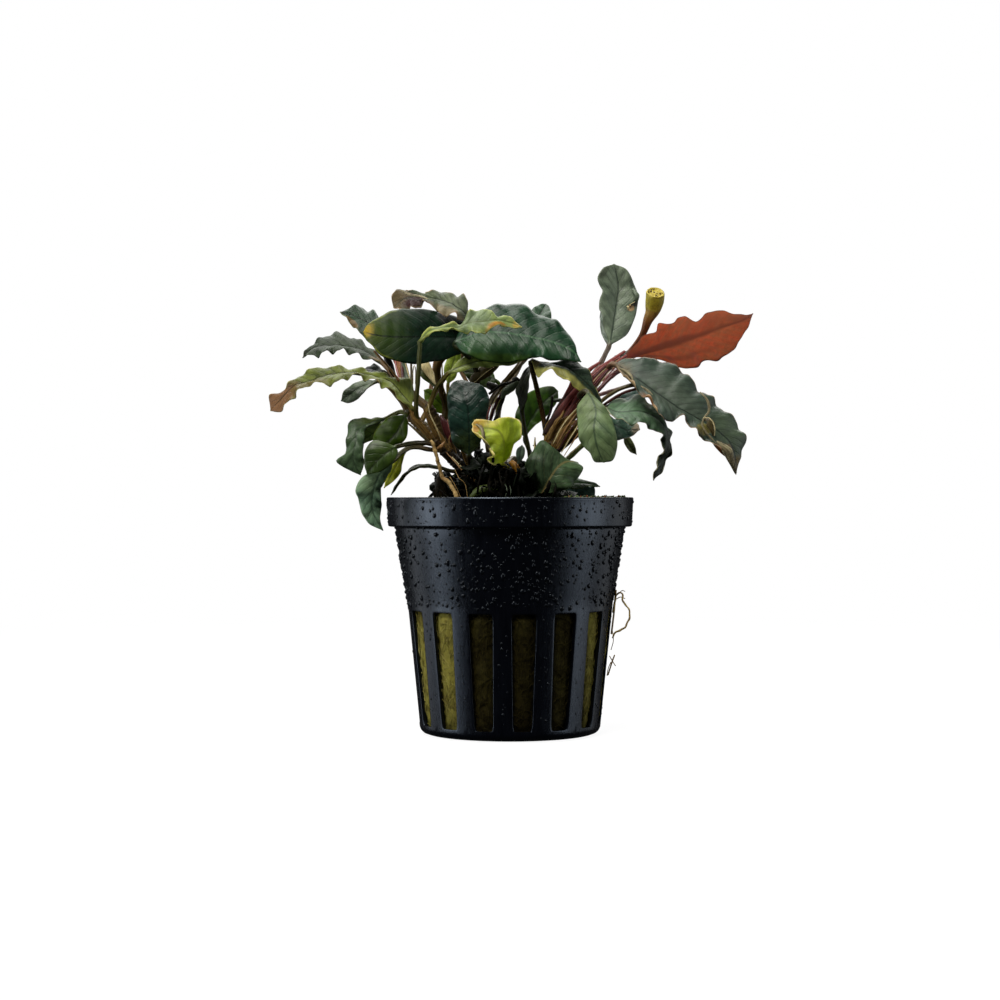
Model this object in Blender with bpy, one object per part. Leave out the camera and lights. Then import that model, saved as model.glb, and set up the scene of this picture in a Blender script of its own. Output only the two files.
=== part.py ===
"""Potted bucephalandra: a slotted net pot with its wool plug, creeping rhizomes, roots, a
fruit stalk and the leaves. Metres, +Z up, origin at the middle of the pot's underside,
-Y is the front.

The plant is drawn on a front elevation sheet: u runs right, v runs down, one unit is
0.22 mm on the pot's axis, and a third number d is the depth behind that axis in
millimetres. The sheet is a perspective one, seen from EYE."""

import math

import bmesh
import bpy
import numpy as np

for ob in list(bpy.data.objects):
    bpy.data.objects.remove(ob, do_unlink=True)

MM = 0.001

# Net pot
POT_RIM_RADIUS = 27.1 * MM
POT_COLLAR_FOOT_RADIUS = 26.8 * MM
POT_HEIGHT = 51.6 * MM
COLLAR_FOOT_Z = 45.2 * MM
BODY_TOP_RADIUS = 25.2 * MM
SLOT_TOP_Z, SLOT_FOOT_Z = 27.0 * MM, 2.2 * MM
SLOT_TOP_RADIUS, SLOT_FOOT_RADIUS = 22.45 * MM, 20.0 * MM
SLOT_TOP_WIDTH, SLOT_FOOT_WIDTH = 5.4 * MM, 4.1 * MM
FOOT_RADIUS = 18.2 * MM
WALL = 1.0 * MM
SLOTS = 15
FIRST_SLOT_DEG = 7.5
BASE_HUB_RADIUS, BASE_HOLE_RADIUS = 8.0 * MM, 15.0 * MM

# Wool plug
WOOL_TOP_Z = 48.6 * MM
WOOL_GAP = 0.35 * MM

# Plant
TOUCH_GAP = 0.0004
BLADE_THICKNESS = 0.6 * MM

# Elevation sheet
SHEET = 0.00022
EYE_DISTANCE = 0.441
EYE_X, EYE_Z = -0.0022, 0.0510


def place(points):
    """Sheet points (u, v, d) as metres."""
    p = np.atleast_2d(np.asarray(points, float))
    y = p[:, 2] * MM
    k = SHEET * (EYE_DISTANCE + y) / EYE_DISTANCE
    return np.stack([EYE_X + (p[:, 0] - 500) * k, y, EYE_Z - (p[:, 1] - 500) * k], 1)


def curve_through(points, count=240):
    """A smooth curve through the points, sampled evenly along its length, with the
    share of the length at each sample."""
    p = np.asarray(points, float)
    if len(p) == 2:
        dense = p[0] + (p[1] - p[0]) * np.linspace(0, 1, 40)[:, None]
    else:
        q = np.vstack([2 * p[0] - p[1], p, 2 * p[-1] - p[-2]])
        rows = []
        for i in range(1, len(q) - 2):
            a, b, c, e = q[i - 1 : i + 3]
            t = np.linspace(0, 1, 24, endpoint=False)[:, None]
            rows.append(
                0.5
                * (
                    2 * b
                    + (c - a) * t
                    + (2 * a - 5 * b + 4 * c - e) * t**2
                    + (3 * b - a - 3 * c + e) * t**3
                )
            )
        dense = np.vstack(rows + [p[-1:]])
    run = np.concatenate([[0], np.cumsum(np.linalg.norm(np.diff(dense, axis=0), axis=1))])
    at = np.linspace(0, run[-1], count)
    return np.stack([np.interp(at, run, dense[:, k]) for k in range(dense.shape[1])], 1)


def read(curve, t):
    """Points of an evenly sampled curve at shares t of its length."""
    x = np.clip(np.atleast_1d(t), 0, 1) * (len(curve) - 1)
    i = np.minimum(x.astype(int), len(curve) - 2)
    f = (x - i)[:, None]
    return curve[i] * (1 - f) + curve[i + 1] * f


def unit(v):
    v = np.asarray(v, float)
    return v / np.maximum(np.linalg.norm(v, axis=-1, keepdims=True), 1e-12)


# Materials

def finish(name, colour, roughness, metallic=0.0):
    m = bpy.data.materials.new(name)
    m.use_nodes = True
    p = m.node_tree.nodes["Principled BSDF"]
    p.inputs["Base Color"].default_value = (*colour, 1)
    p.inputs["Roughness"].default_value = roughness
    p.inputs["Metallic"].default_value = metallic
    m.diffuse_color = (*colour, 1)
    return m


FINISHES = {
    "pot": ((0.012, 0.014, 0.022), 0.35),
    "wool": ((0.20, 0.17, 0.05), 0.95),
    "rhizome": ((0.16, 0.10, 0.035), 0.6),
    "root": ((0.45, 0.33, 0.14), 0.6),
    "fruit": ((0.50, 0.42, 0.06), 0.5),
    "dark": ((0.022, 0.060, 0.050), 0.4),
    "grey": ((0.085, 0.120, 0.100), 0.5),
    "sage": ((0.16, 0.24, 0.13), 0.5),
    "olive": ((0.15, 0.19, 0.035), 0.45),
    "lime": ((0.32, 0.40, 0.04), 0.45),
    "red": ((0.36, 0.06, 0.02), 0.45),
    "brown": ((0.10, 0.05, 0.03), 0.5),
}
MATERIALS = {k: finish(k, c, r) for k, (c, r) in FINISHES.items()}


def add(name, points, faces, look, smooth=True):
    mesh = bpy.data.meshes.new(name)
    bm = bmesh.new()
    verts = [bm.verts.new(tuple(map(float, p))) for p in points]
    for f in faces:
        bm.faces.new([verts[i] for i in f])
    bmesh.ops.triangulate(bm, faces=[f for f in bm.faces if len(f.verts) > 4])
    bmesh.ops.recalc_face_normals(bm, faces=bm.faces)
    if bm.calc_volume(signed=True) < 0:
        bmesh.ops.reverse_faces(bm, faces=bm.faces)
    bm.to_mesh(mesh)
    bm.free()
    if smooth:
        mesh.shade_smooth()
        mesh.set_sharp_from_angle(angle=math.radians(40))
    mesh.materials.append(MATERIALS[look])
    ob = bpy.data.objects.new(name, mesh)
    bpy.context.scene.collection.objects.link(ob)
    return ob


def loft(rings):
    """Faces over closed rings of the same size, with both ends capped."""
    n = len(rings[0])
    points = np.vstack(rings)
    faces = []
    for r in range(len(rings) - 1):
        for i in range(n):
            j = (i + 1) % n
            faces.append((r * n + i, r * n + j, (r + 1) * n + j, (r + 1) * n + i))
    faces.append(tuple(range(n))[::-1])
    faces.append(tuple((len(rings) - 1) * n + i for i in range(n)))
    return points, faces


def tube_rings(path, radii, sides, turn=0.0):
    """Rings across a path with a frame carried along it."""
    path = np.asarray(path, float)
    tangents = unit(np.gradient(path, axis=0))
    side = np.cross(tangents[0], (0.0, 0.0, 1.0))
    if np.linalg.norm(side) < 0.2:
        side = np.cross(tangents[0], (0.0, 1.0, 0.0))
    side = unit(side)
    rings = []
    for p, t, r in zip(path, tangents, radii):
        side = unit(side - t * np.dot(side, t))
        up = np.cross(t, side)
        a = turn + np.arange(sides) * 2 * math.pi / sides
        rings.append(p + r * (np.cos(a)[:, None] * side + np.sin(a)[:, None] * up))
    return rings


# Net pot: a turned wall whose slots and base holes are left open

def build_pot():
    per = 4
    count = SLOTS * per
    half_top = math.degrees(SLOT_TOP_WIDTH / 2 / SLOT_TOP_RADIUS)
    half_foot = math.degrees(SLOT_FOOT_WIDTH / 2 / SLOT_FOOT_RADIUS)
    pitch = 360 / SLOTS

    def angles(half):
        out = []
        for s in range(SLOTS):
            mid = FIRST_SLOT_DEG + s * pitch
            out += [mid - half, mid, mid + half, mid + pitch / 2]
        return np.radians(out)

    # rows from the hub over the base, up the wall to the rim: radius, height, half slot
    outer = [
        (BASE_HUB_RADIUS, 0.0, half_foot),
        (BASE_HOLE_RADIUS, 0.0, half_foot),
        (FOOT_RADIUS, 0.0, half_foot),
        (19.75 * MM, 1.0 * MM, half_foot),
        (SLOT_FOOT_RADIUS, SLOT_FOOT_Z, half_foot),
        (SLOT_TOP_RADIUS, SLOT_TOP_Z, half_top),
        (BODY_TOP_RADIUS, COLLAR_FOOT_Z, half_top),
        (POT_COLLAR_FOOT_RADIUS, COLLAR_FOOT_Z + 0.35 * MM, half_top),
        (POT_RIM_RADIUS, POT_HEIGHT, half_top),
    ]
    inner = [
        (BASE_HUB_RADIUS, WALL, half_foot),
        (BASE_HOLE_RADIUS, WALL, half_foot),
        (FOOT_RADIUS, WALL, half_foot),
        (SLOT_FOOT_RADIUS - WALL, SLOT_FOOT_Z, half_foot),
        (SLOT_TOP_RADIUS - WALL, SLOT_TOP_Z, half_top),
        (BODY_TOP_RADIUS - WALL, COLLAR_FOOT_Z + 0.6 * MM, half_top),
        (POT_COLLAR_FOOT_RADIUS - WALL, COLLAR_FOOT_Z + 1.4 * MM, half_top),
        (POT_RIM_RADIUS - WALL, POT_HEIGHT, half_top),
    ]
    points, faces = [], []

    def row(radius, z, half):
        start = len(points)
        for a in angles(half):
            points.append((radius * math.sin(a), -radius * math.cos(a), z))
        return start

    out_rows = [row(*r) for r in outer]
    in_rows = [row(*r) for r in inner]
    # the bands whose slot faces are left out: the base holes and the wall slots
    base_band, outer_slots, inner_slots = 0, 4, 3

    def is_slot(i):
        return i % per in (0, 1)

    for rows, slots, flip in ((out_rows, outer_slots, False), (in_rows, inner_slots, True)):
        for b in range(len(rows) - 1):
            for i in range(count):
                if b in (base_band, slots) and is_slot(i):
                    continue
                j = (i + 1) % count
                f = (rows[b] + i, rows[b] + j, rows[b + 1] + j, rows[b + 1] + i)
                faces.append(f[::-1] if flip else f)
    # rim
    for i in range(count):
        j = (i + 1) % count
        faces.append((out_rows[-1] + i, out_rows[-1] + j, in_rows[-1] + j, in_rows[-1] + i))
    # hub discs
    for rows in (out_rows, in_rows):
        faces.append(tuple(rows[0] + i for i in range(count)))
    # walls of the slots and of the base holes
    for ob, ib in ((base_band, base_band), (outer_slots, inner_slots)):
        for s in range(SLOTS):
            i0 = s * per
            i1, i2 = i0 + 1, i0 + 2
            edge = [(0, i0), (0, i1), (0, i2), (1, i2), (1, i1), (1, i0)]
            for k in range(6):
                (ra, ia), (rb, ja) = edge[k], edge[(k + 1) % 6]
                faces.append((out_rows[ob + ra] + ia, out_rows[ob + rb] + ja, in_rows[ib + rb] + ja, in_rows[ib + ra] + ia))
    add("net_pot", points, faces, "pot")


def build_wool():
    count = 32
    rows = [
        (17.4 * MM, WALL + 0.35 * MM),
        (SLOT_FOOT_RADIUS - WALL - WOOL_GAP, SLOT_FOOT_Z + 0.4 * MM),
        (SLOT_TOP_RADIUS - WALL - WOOL_GAP, SLOT_TOP_Z),
        (BODY_TOP_RADIUS - WALL - WOOL_GAP - 0.1 * MM, COLLAR_FOOT_Z),
        (23.6 * MM, WOOL_TOP_Z),
    ]
    rings = []
    for r, z in rows:
        a = np.arange(count) * 2 * math.pi / count
        rings.append(np.stack([r * np.cos(a), r * np.sin(a), np.full(count, z)], 1))
    add("wool_plug", *loft(rings), "wool")


# Rhizomes: thick creeping stems, ringed by old leaf scars

RHIZOMES = {
    # name: sheet points, radius at the start and at the end in millimetres
    "rhizome_left": (
        [(481, 502, -3), (470, 479, -5), (455, 461, -7), (440, 446, -8.5), (428, 434, -9), (416, 421, -9), (407, 411, -8)],
        1.5, 1.2,
    ),
    "rhizome_fork": (
        [(465, 476, 2), (454, 452, 1), (441, 430, -1.5), (427, 404, -2.5)],
        1.5, 1.15,
    ),
    "rhizome_centre": (
        [(444, 494, 9), (470, 486, 9), (496, 478, 6.5), (520, 476, 4), (545, 481, 2), (562, 490, 0)],
        2.0, 1.9,
    ),
    "rhizome_right": (
        [(538, 470, -6), (547, 454, -6.5), (557, 437, -7), (570, 416, -7), (586, 392, -6.5), (602, 370, -6)],
        2.0, 1.4,
    ),
    "rhizome_back": (
        [(520, 496, 14), (508, 478, 17), (500, 462, 19), (494, 446, 22)],
        1.9, 1.5,
    ),
}


def axis_and_radius(name):
    points, first, last = RHIZOMES[name]
    curve = curve_through(place(points))
    return curve, np.linspace(first, last, len(curve)) * MM


def build_rhizome(name):
    curve, radii = axis_and_radius(name)
    length = np.linalg.norm(np.diff(curve, axis=0), axis=1).sum()
    steps = max(8, int(length / (1.9 * MM)))
    t = np.linspace(0, 1, steps)
    r = np.interp(t, np.linspace(0, 1, len(radii)), radii)
    r = r * np.where(np.arange(steps) % 2 == 0, 0.93, 1.03)
    r[0] *= 0.75
    r[-1] *= 0.6
    add(name, *loft(tube_rings(read(curve, t), r, 8)), "rhizome")


def trimmed(curve, host, radius):
    """The curve from where a stalk of this radius comes clear of its rhizome."""
    if host is None:
        return curve
    axis, radii = axis_and_radius(host)
    gap = np.linalg.norm(curve[:, None] - axis[None], axis=2) - radii[None] * 1.04
    inside = np.nonzero(gap.min(1) < radius + TOUCH_GAP)[0]
    if not len(inside):
        return curve
    return curve[min(inside[-1] + 1, len(curve) - 8) :]


# Leaves. Each has a stalk from its rhizome to the blade, then the midrib from there to
# the tip, and the blade's two edges on the sheet from base to tip, with how far each
# edge lies behind the midrib where it is widest, in millimetres. A leaf with no edges
# has a half width in millimetres, and the direction its upper side faces.

LEAVES = {}


def leaf(name, host, look, stalk, mid, left=None, right=None, back=(0, 0), radius=0.5,
         width=None, faces=(0, -0.3, 1), small=False, stations=None):
    LEAVES[name] = dict(host=host, look=look, stalk=stalk, mid=mid, left=left, right=right,
                        back=back, radius=radius * MM, width=width, faces=faces,
                        small=small, stations=stations)


# Left group
leaf("leaf_upper_left", "rhizome_fork", "dark",
     [(430, 409, -2), (405, 385, 3), (399, 366, 7), (390, 347, 11)],
     [(385, 340, 12), (372, 326, 15), (356, 317, 17), (340, 312, 17)],
     [(383, 327), (378, 316), (365, 308), (353, 307)],
     [(376, 344), (365, 337.5), (355, 328.5), (347, 319.5)], (4, -3), radius=0.75)
leaf("leaf_left_wavy", "rhizome_left", "grey",
     [(408, 412, -8), (403, 388, -3), (394, 377, 0)],
     [(382, 363, 3), (363, 351, 5), (349, 347, 7), (331, 345.6, 8), (314, 348.5, 8), (302.5, 358, 8)],
     [(374, 350), (358, 340.5), (346, 335), (333, 333.5), (321, 338.5), (309, 346)],
     [(364, 358), (353, 353), (337, 351), (323, 354), (312, 355)], (5, -4))
leaf("leaf_left_long", "rhizome_left", "olive",
     [(409, 414, -8), (412, 410, -11)],
     [(411, 407, -12), (401, 394, -12), (390, 382, -12), (372, 376, -12.5), (354, 373, -13),
      (336, 374, -12), (322, 377, -11), (310, 381.5, -10), (295, 386, -9), (282, 399, -8), (270.5, 411, -8)],
     [(414, 396), (413, 384), (404, 378), (390, 376), (371, 371), (354, 368), (337, 367), (322, 367),
      (306, 371.5), (297, 376.5), (284, 389.5), (270, 396)],
     [(402, 402), (393, 392), (380, 384), (371, 379.5), (353, 375.5), (340, 381.5), (328, 384), (314, 384),
      (301, 389), (290, 401), (281, 411)], (4, -4))
leaf("leaf_left_stub", "rhizome_left", "grey",
     [(408, 412, -8), (401, 401, -7.5), (388, 386, -7.5)],
     [(377, 381, -7), (359, 389, -8), (347, 397, -8), (341, 401, -8)],
     [(366, 380), (354, 383), (344, 391)],
     [(370, 387), (359, 397.5), (349, 403.5)], (1, -2), small=True)
leaf("leaf_scrap_left", "rhizome_fork", "dark",
     [(430, 411, 0), (412, 398, 9), (392, 379, 12)],
     [(384, 372, 12.5), (374, 370, 13.5), (364, 369, 14)],
     [(378, 366), (369, 365.5)],
     [(376, 375), (367, 374)], (2, -2), small=True)
leaf("leaf_big_left", "rhizome_fork", "dark",
     [(441, 430, -1), (446, 408, 2), (440, 385, 3), (438, 366, 2), (450, 350, 0), (466, 341, -3)],
     [(471, 338, -4), (442, 337, -8.5), (415, 337, -12), (392, 337, -13.5), (374, 335, -14), (363, 332, -13)],
     [(469, 325), (460, 318), (449, 314), (434, 311), (416, 308.5), (392, 310.5), (379, 317), (368, 324)],
     [(469, 349), (462, 353.5), (455, 355.5), (446, 359.5), (432, 362), (414, 364), (395, 361), (380, 355), (372.5, 346), (366, 340)],
     (6, -3), radius=0.8)
leaf("leaf_pale_arched", "rhizome_left", "lime",
     [(417, 424, -10), (416, 405, -14), (418, 380, -18), (419, 360, -19.5), (420, 346, -20)],
     [(421, 341, -20), (429, 331.5, -20.5), (444, 327.5, -21), (458, 327.5, -21), (470, 323, -21),
      (485, 321.5, -21), (500, 320.5, -20), (512, 323.5, -19), (522, 327, -18)],
     [(422, 335), (428, 329), (438, 325.5), (450, 324), (461, 323), (468, 314), (477, 309), (488, 310),
      (497, 316), (505, 315), (514, 320.5)],
     [(425, 338), (431, 334.5), (440, 331), (450, 330), (460, 331), (470, 332.5), (478, 335), (487, 331.5),
      (498, 325.5), (506, 326.5), (514, 329)], (2, -2))
leaf("leaf_top_wavy", "rhizome_fork", "grey",
     [(429, 407, -2), (436, 392, 8), (454, 365, 10), (475, 340, 5)],
     [(474, 325, -5), (464, 313, -8), (452, 304.5, -7), (440, 300, -4), (428, 297.5, -1), (416, 297, 1),
      (405, 299, 2), (393.5, 308, 2)],
     [(470, 313), (467, 303), (460.5, 293.5), (451, 294.5), (441, 290.5), (430, 292.5), (420, 291.5),
      (409, 292), (402, 287.5), (395, 293), (391.5, 300)],
     [(460, 319), (453, 314.5), (441, 315), (434, 307), (428, 304.5), (420, 305), (414, 308.5), (407, 310.5),
      (400, 310)], (4, -4))
leaf("leaf_big_right", "rhizome_centre", "dark",
     [(482, 482, 8), (478, 450, 6), (477, 405, 3), (477, 380, 0), (474, 364, -7), (464, 353, -10.8)],
     [(455, 343, -11), (472, 336, -12), (487, 332, -12), (505, 333, -12.5), (526, 336, -13),
      (554, 342.5, -14), (572, 351, -15), (581, 362, -16)],
     [(459, 333), (472, 319), (487, 308), (504, 303.5), (522, 304.5), (534, 312), (545, 315), (559, 323.5),
      (570, 335), (575, 344), (577, 353)],
     [(461, 351.5), (472, 357), (484, 361), (498, 363), (522, 361), (535, 357), (547, 360), (563, 360),
      (573, 361.5)], (6, -2), radius=0.6)
leaf("leaf_tip_behind", "rhizome_centre", "grey",
     [(493, 479, 7), (488, 448, -1), (486, 417, -3), (492, 399, -4), (505, 382, -5.5), (520, 364, -5), (528, 350, 0)],
     [(530, 343, 4), (534, 330, 8), (539, 317, 12), (546, 304, 16)],
     [(521, 335), (524, 320), (532, 310), (540, 304)],
     [(540, 338), (549, 326), (551.5, 316), (549, 306)], (1, -1), radius=0.6)
leaf("leaf_scrap_lime", "rhizome_fork", "lime",
     [(443, 432, 0), (448, 417, 5.5), (448, 395, 6)],
     [(448, 384, 5.8), (451, 372, 5.8), (454, 360, 5.6), (457, 348, 5.2)],
     [(444, 374), (446, 361), (450, 350)],
     [(456, 377), (459, 364), (461, 352)], (0.3, -0.3), small=True, radius=0.4)
leaf("leaf_olive_under", "rhizome_left", "olive",
     [(419, 426, -9), (429, 406, -8.5), (436, 388, -9), (444, 378, -9.5)],
     [(449, 373, -9.7), (460, 367, -9.7), (481, 361, -9.7), (506, 359, -10), (527, 358, -10)],
     [(456, 363), (470, 354), (490, 350), (510, 351)],
     [(456, 373), (468, 369.5), (485, 367), (506, 366), (520, 362)], (0.5, -0.8))
leaf("leaf_brown", "rhizome_centre", "brown",
     [(500, 477, 6), (498, 440, 6), (497, 417, 6.5), (502, 396, 6.5), (500, 386, 6.5)],
     [(496, 381, 6.5), (486, 377, 6.5), (475, 373, 6), (463, 372, 6)],
     [(492, 370), (482, 364.5), (470, 364)],
     [(493, 391), (482, 387), (470, 381)], (1.5, -1), radius=0.45)
leaf("leaf_backlit_left", "rhizome_fork", "olive",
     [(456, 456, 2), (457, 440, 8), (454, 424, 10.5)],
     [(451, 416, 10.5), (441, 404, 10.7), (431, 395, 10.8), (424, 390, 10.8)],
     [(450, 405), (440, 394), (430, 388.5)],
     [(443, 414), (432, 410), (425, 400)], (0.5, -0.5), small=True)
leaf("leaf_teal_centre", "rhizome_left", "dark",
     [(466, 478, -5), (470, 468, -9), (470, 461, -11)],
     [(469, 455, -12), (469, 436, -13.5), (468, 412, -14), (466, 396, -13.5), (463, 385, -11), (461, 380, -8)],
     [(458, 449), (451, 438), (448.5, 421), (447, 404), (448, 393), (452, 383)],
     [(479, 446), (484, 430), (487, 414), (489, 402), (488, 393), (480, 385)], (0.8, 0.8), radius=0.6)
leaf("leaf_lime_curled", "rhizome_centre", "lime",
     [(519, 477, 3), (517, 474, -5), (512, 471, -12)],
     [(502, 463, -17), (504, 450, -20), (503, 438, -21.5), (497, 430, -21.5), (485, 428, -20.5), (472, 424, -18.5)],
     [(509, 457), (515, 446), (519, 436), (522, 425), (516, 418), (500, 418.5), (485, 420), (476, 419.5)],
     [(490, 462), (491, 455), (488, 446), (484, 440), (479, 437), (474, 431)], (0, 0))
# Hanging group at the left
leaf("leaf_hanging_olive", "rhizome_left", "olive",
     [(408, 412, -8), (407, 412, -12)],
     [(406, 415, -14), (402, 422, -15), (396, 433, -16), (386, 443, -17), (373, 446, -17)],
     [(399, 415), (392, 416.5), (384, 420), (378, 427), (373, 437)],
     [(408, 425), (407, 436), (402, 443), (391, 447.5), (380, 449)], (1, 0))
leaf("leaf_hanging_teal", "rhizome_left", "dark",
     [(408, 413, -8), (400, 412, -4.5), (391, 416, -5)],
     [(385, 419, -6), (371, 423, -8), (358, 431, -10), (355, 445, -11), (353, 459, -11), (360.5, 475, -10)],
     [(375, 417), (362, 419.5), (349, 421), (347.5, 431), (346.5, 444), (344, 454), (337, 460.5), (346, 469)],
     [(378, 423.5), (366, 428.5), (364.5, 440), (363, 452), (364, 464)], (1, 0))
leaf("leaf_hanging_mid", "rhizome_left", "dark",
     [(436, 445, -9), (426, 443, -15), (414, 443, -19.5), (403, 445, -21)],
     [(396, 447, -21.5), (386, 453, -22), (377, 461, -22), (367, 474, -21.5)],
     [(387, 443), (374, 440), (366, 449), (364, 464)],
     [(398, 453), (392, 463), (380, 472)], (0.5, 0))
leaf("leaf_hanging_yellow", "rhizome_left", "lime",
     [(432, 441, -9), (424, 443, -9.8), (414, 446, -10.3)],
     [(406, 449, -10.5), (400, 459, -10.5), (394, 470, -10.5), (389, 480, -10.5), (384, 488, -10.5)],
     [(398, 455), (391, 464), (386.5, 475)],
     [(404, 457), (402, 465), (401, 472), (394, 481)], (0.3, 0))
leaf("leaf_over_rim", "rhizome_left", "grey",
     [(444, 450, -8), (430, 449.5, -12), (414, 447, -15), (402, 452, -17)],
     [(393, 461, -18), (382, 471, -17.3), (376, 482, -15.5), (372, 498, -13.5), (373, 512, -12.5), (383, 530.5, -12)],
     [(375, 468.5), (361, 478.5), (356, 488), (357.5, 498), (361, 510), (369, 524)],
     [(391, 471), (386, 479), (382, 487), (381, 497), (382, 507), (380, 518)], (0.5, 0.5))
leaf("leaf_thin_arch", "rhizome_left", "dark",
     [(462, 472, -5.5), (449, 470.5, -8)],
     [(440, 467.5, -9), (424, 465.5, -9.5), (411, 469.5, -9.5), (401, 480, -8), (391, 495, -5)],
     None, None, radius=0.45, width=1.0, small=True, stations=[0.0, 0.25, 0.5, 0.75, 1.0])
# Middle group
leaf("leaf_narrow_dark", "rhizome_centre", "dark",
     [(531, 478, 3.5), (529.5, 455, -2), (524.5, 430, -3.5)],
     [(522, 412, -4), (522, 400, -4), (522, 390, -4), (525, 376, -4), (530, 365, -4)],
     [(518, 402), (516.5, 390), (520, 377)],
     [(526.5, 402), (528, 390), (530.5, 377)], (3, -3), small=True)
leaf("leaf_arched_dark", "rhizome_right", "dark",
     [(547, 453, -6.5), (546, 436, -5), (542, 412, -6), (536, 386, -8.5), (532, 369, -10)],
     [(532, 361, -10), (545, 363, -12), (558, 365, -13), (572, 371, -14), (584, 381, -14.5),
      (594, 392, -14.5), (603, 406, -14.5)],
     [(541, 362.5), (551, 363.5), (560, 361), (567, 358), (577, 361), (586, 368), (592, 377), (595, 388), (601, 398)],
     [(537, 376), (544, 373), (552, 371), (561, 376), (569, 383), (578, 389), (588, 396), (598, 403)], (3, -2), radius=0.58)
leaf("leaf_backlit_mid", "rhizome_centre", "olive",
     [(534, 478, 5), (531, 457, 5.5), (527.5, 446, 5.5)],
     [(525, 438, 5.5), (528, 425, 6), (536, 411, 6.5), (546, 400, 7), (558, 391, 7.5)],
     [(516, 428), (516, 412), (524, 397), (538, 388), (552, 386)],
     [(531, 430), (541, 421), (552, 410), (558, 399)], (0.5, -0.5))
leaf("leaf_grey_low", "rhizome_centre", "grey",
     [(514, 476, 4), (516, 470, -2)],
     [(519, 463, -5), (520, 454, -6), (522, 445, -6)],
     [(516, 456), (517, 449)],
     [(524, 457), (525, 449)], (0, 0), small=True, radius=0.4)
leaf("leaf_low_right", "rhizome_centre", "dark",
     [(552, 484, 2), (548, 492, -6), (544, 496, -12)],
     [(541, 494, -15), (549, 480, -17), (557, 468, -17), (566, 462, -16), (578, 462.5, -14)],
     [(530, 481), (525, 466), (531, 453), (542, 440), (553, 449), (565, 459)],
     [(556, 492), (568, 489), (577, 480), (582, 470)], (1, 0))
leaf("leaf_low_tip", "rhizome_centre", "dark",
     [(557, 487, 1), (562, 488, -5)],
     [(567, 485, -9), (576, 483.5, -10), (588, 484, -10.5), (600, 486.5, -10.5)],
     [(575, 479.5), (590, 481)],
     [(572, 489), (588, 487.5)], (1.5, -1.5), small=True)
# Right group
leaf("leaf_upright", "rhizome_right", "grey",
     [(598, 376, -6), (600.5, 365, -4.5), (606, 353, -3.5)],
     [(609.5, 345, -3), (613, 325, -1), (616, 305, 1), (618, 286, 2), (614, 264, 2)],
     [(607.5, 338), (604, 326), (599.5, 304), (601.5, 289), (597.5, 278), (603, 268)],
     [(618, 341), (628, 333), (634.5, 319), (637, 309), (638, 296), (633, 281), (626, 269)], (-2, 0))
leaf("leaf_red", "rhizome_right", "red",
     [(602, 370, -6), (611, 367, -5), (618, 363, -2.5)],
     [(623, 359.5, -1), (636, 354.5, 1), (655, 349, 3), (677, 342, 5), (698, 335, 7), (720, 327, 8),
      (742, 320, 9), (753, 313.5, 10)],
     [(630, 350), (641, 338), (654, 331), (660, 324), (669, 324.5), (677, 317.5), (685, 316.5), (694, 320.5),
      (702, 318), (709, 312), (721, 310), (730, 313), (741, 314), (747, 315)],
     [(637, 357.5), (651, 358.5), (666, 362), (679, 368.3), (694, 367.5), (705, 361.5), (716, 360.5),
      (729, 354), (738, 343.5), (748, 327)], (-5, 5), radius=0.6)
leaf("leaf_drooping", "rhizome_right", "grey",
     [(601, 371, -6), (608, 367, -9)],
     [(616, 365, -11), (626, 371, -13), (637, 379, -15), (655, 392, -17), (679, 408.5, -19),
      (698, 419, -19), (716, 430, -19), (729, 442, -18.5), (734.5, 456, -18), (736, 474.5, -17.5)],
     [(622, 359.5), (632, 358), (649, 358.7), (664, 361), (681, 369), (687, 376), (696, 384),
      (704, 394.5), (716, 401), (724, 411), (735, 418), (740, 428), (746, 440), (741, 455), (738, 466)],
     [(619, 371), (629, 381), (637, 391), (650, 402), (656, 411), (662, 418), (671, 420), (681, 417.5),
      (689, 423), (696, 433), (706, 439), (713, 447), (722, 454.5), (730, 464)], (5, -3), radius=0.6)
leaf("leaf_right_hanging", "rhizome_right", "sage",
     [(584, 395, -6.5), (592, 400, -10), (600, 405, -12)],
     [(606, 409, -13), (618, 412.5, -14), (633, 411.5, -14.5), (646, 413, -14.5), (658, 420, -14.5),
      (666, 430, -14), (667, 446, -13), (662.5, 460, -12), (657.5, 471, -12), (653.5, 480.5, -12)],
     [(612, 402), (620, 398.5), (630, 397), (641, 396.5), (650, 402), (657, 409.5), (665, 419), (669.5, 431),
      (670.5, 446), (666, 457), (661, 470)],
     [(611, 415.5), (622, 420), (630, 424.5), (637, 424), (645, 424.5), (652, 428.5), (658, 433), (662, 438),
      (662.5, 447), (658.5, 460), (653.5, 472)], (4, -3))
leaf("leaf_teal_behind", "rhizome_right", "dark",
     [(587, 391, -6.5), (595, 399, -4), (601, 405, -3)],
     [(607, 407, -2.5), (618, 401, -2), (630, 396, -1), (644, 391, 0)],
     [(612, 400), (623, 394), (635, 389)],
     [(614, 407), (627, 403), (639, 398)], (1.5, -1.5), small=True)
leaf("leaf_torn", "rhizome_right", "dark",
     [(580, 402, -7), (590, 410, -6), (598, 415, -6)],
     [(604, 417, -6), (615, 425, -6), (627, 430, -6), (640, 429.5, -6)],
     [(613, 417), (625, 421), (637, 424)],
     [(609, 430), (618, 440.5), (630, 437)], (1, -1), small=True)
leaf("leaf_small_hanging", "rhizome_right", "olive",
     [(572, 413, -7), (585, 419, -3), (604, 425, -1), (618, 430, -0.5)],
     [(624.5, 434, -0.5), (629, 445, -0.5), (636.5, 454.5, -0.5)],
     [(631, 438.5), (635.5, 447.5)],
     [(624, 442.5), (629.5, 451.5)], (0, 0), small=True, radius=0.35)
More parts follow.
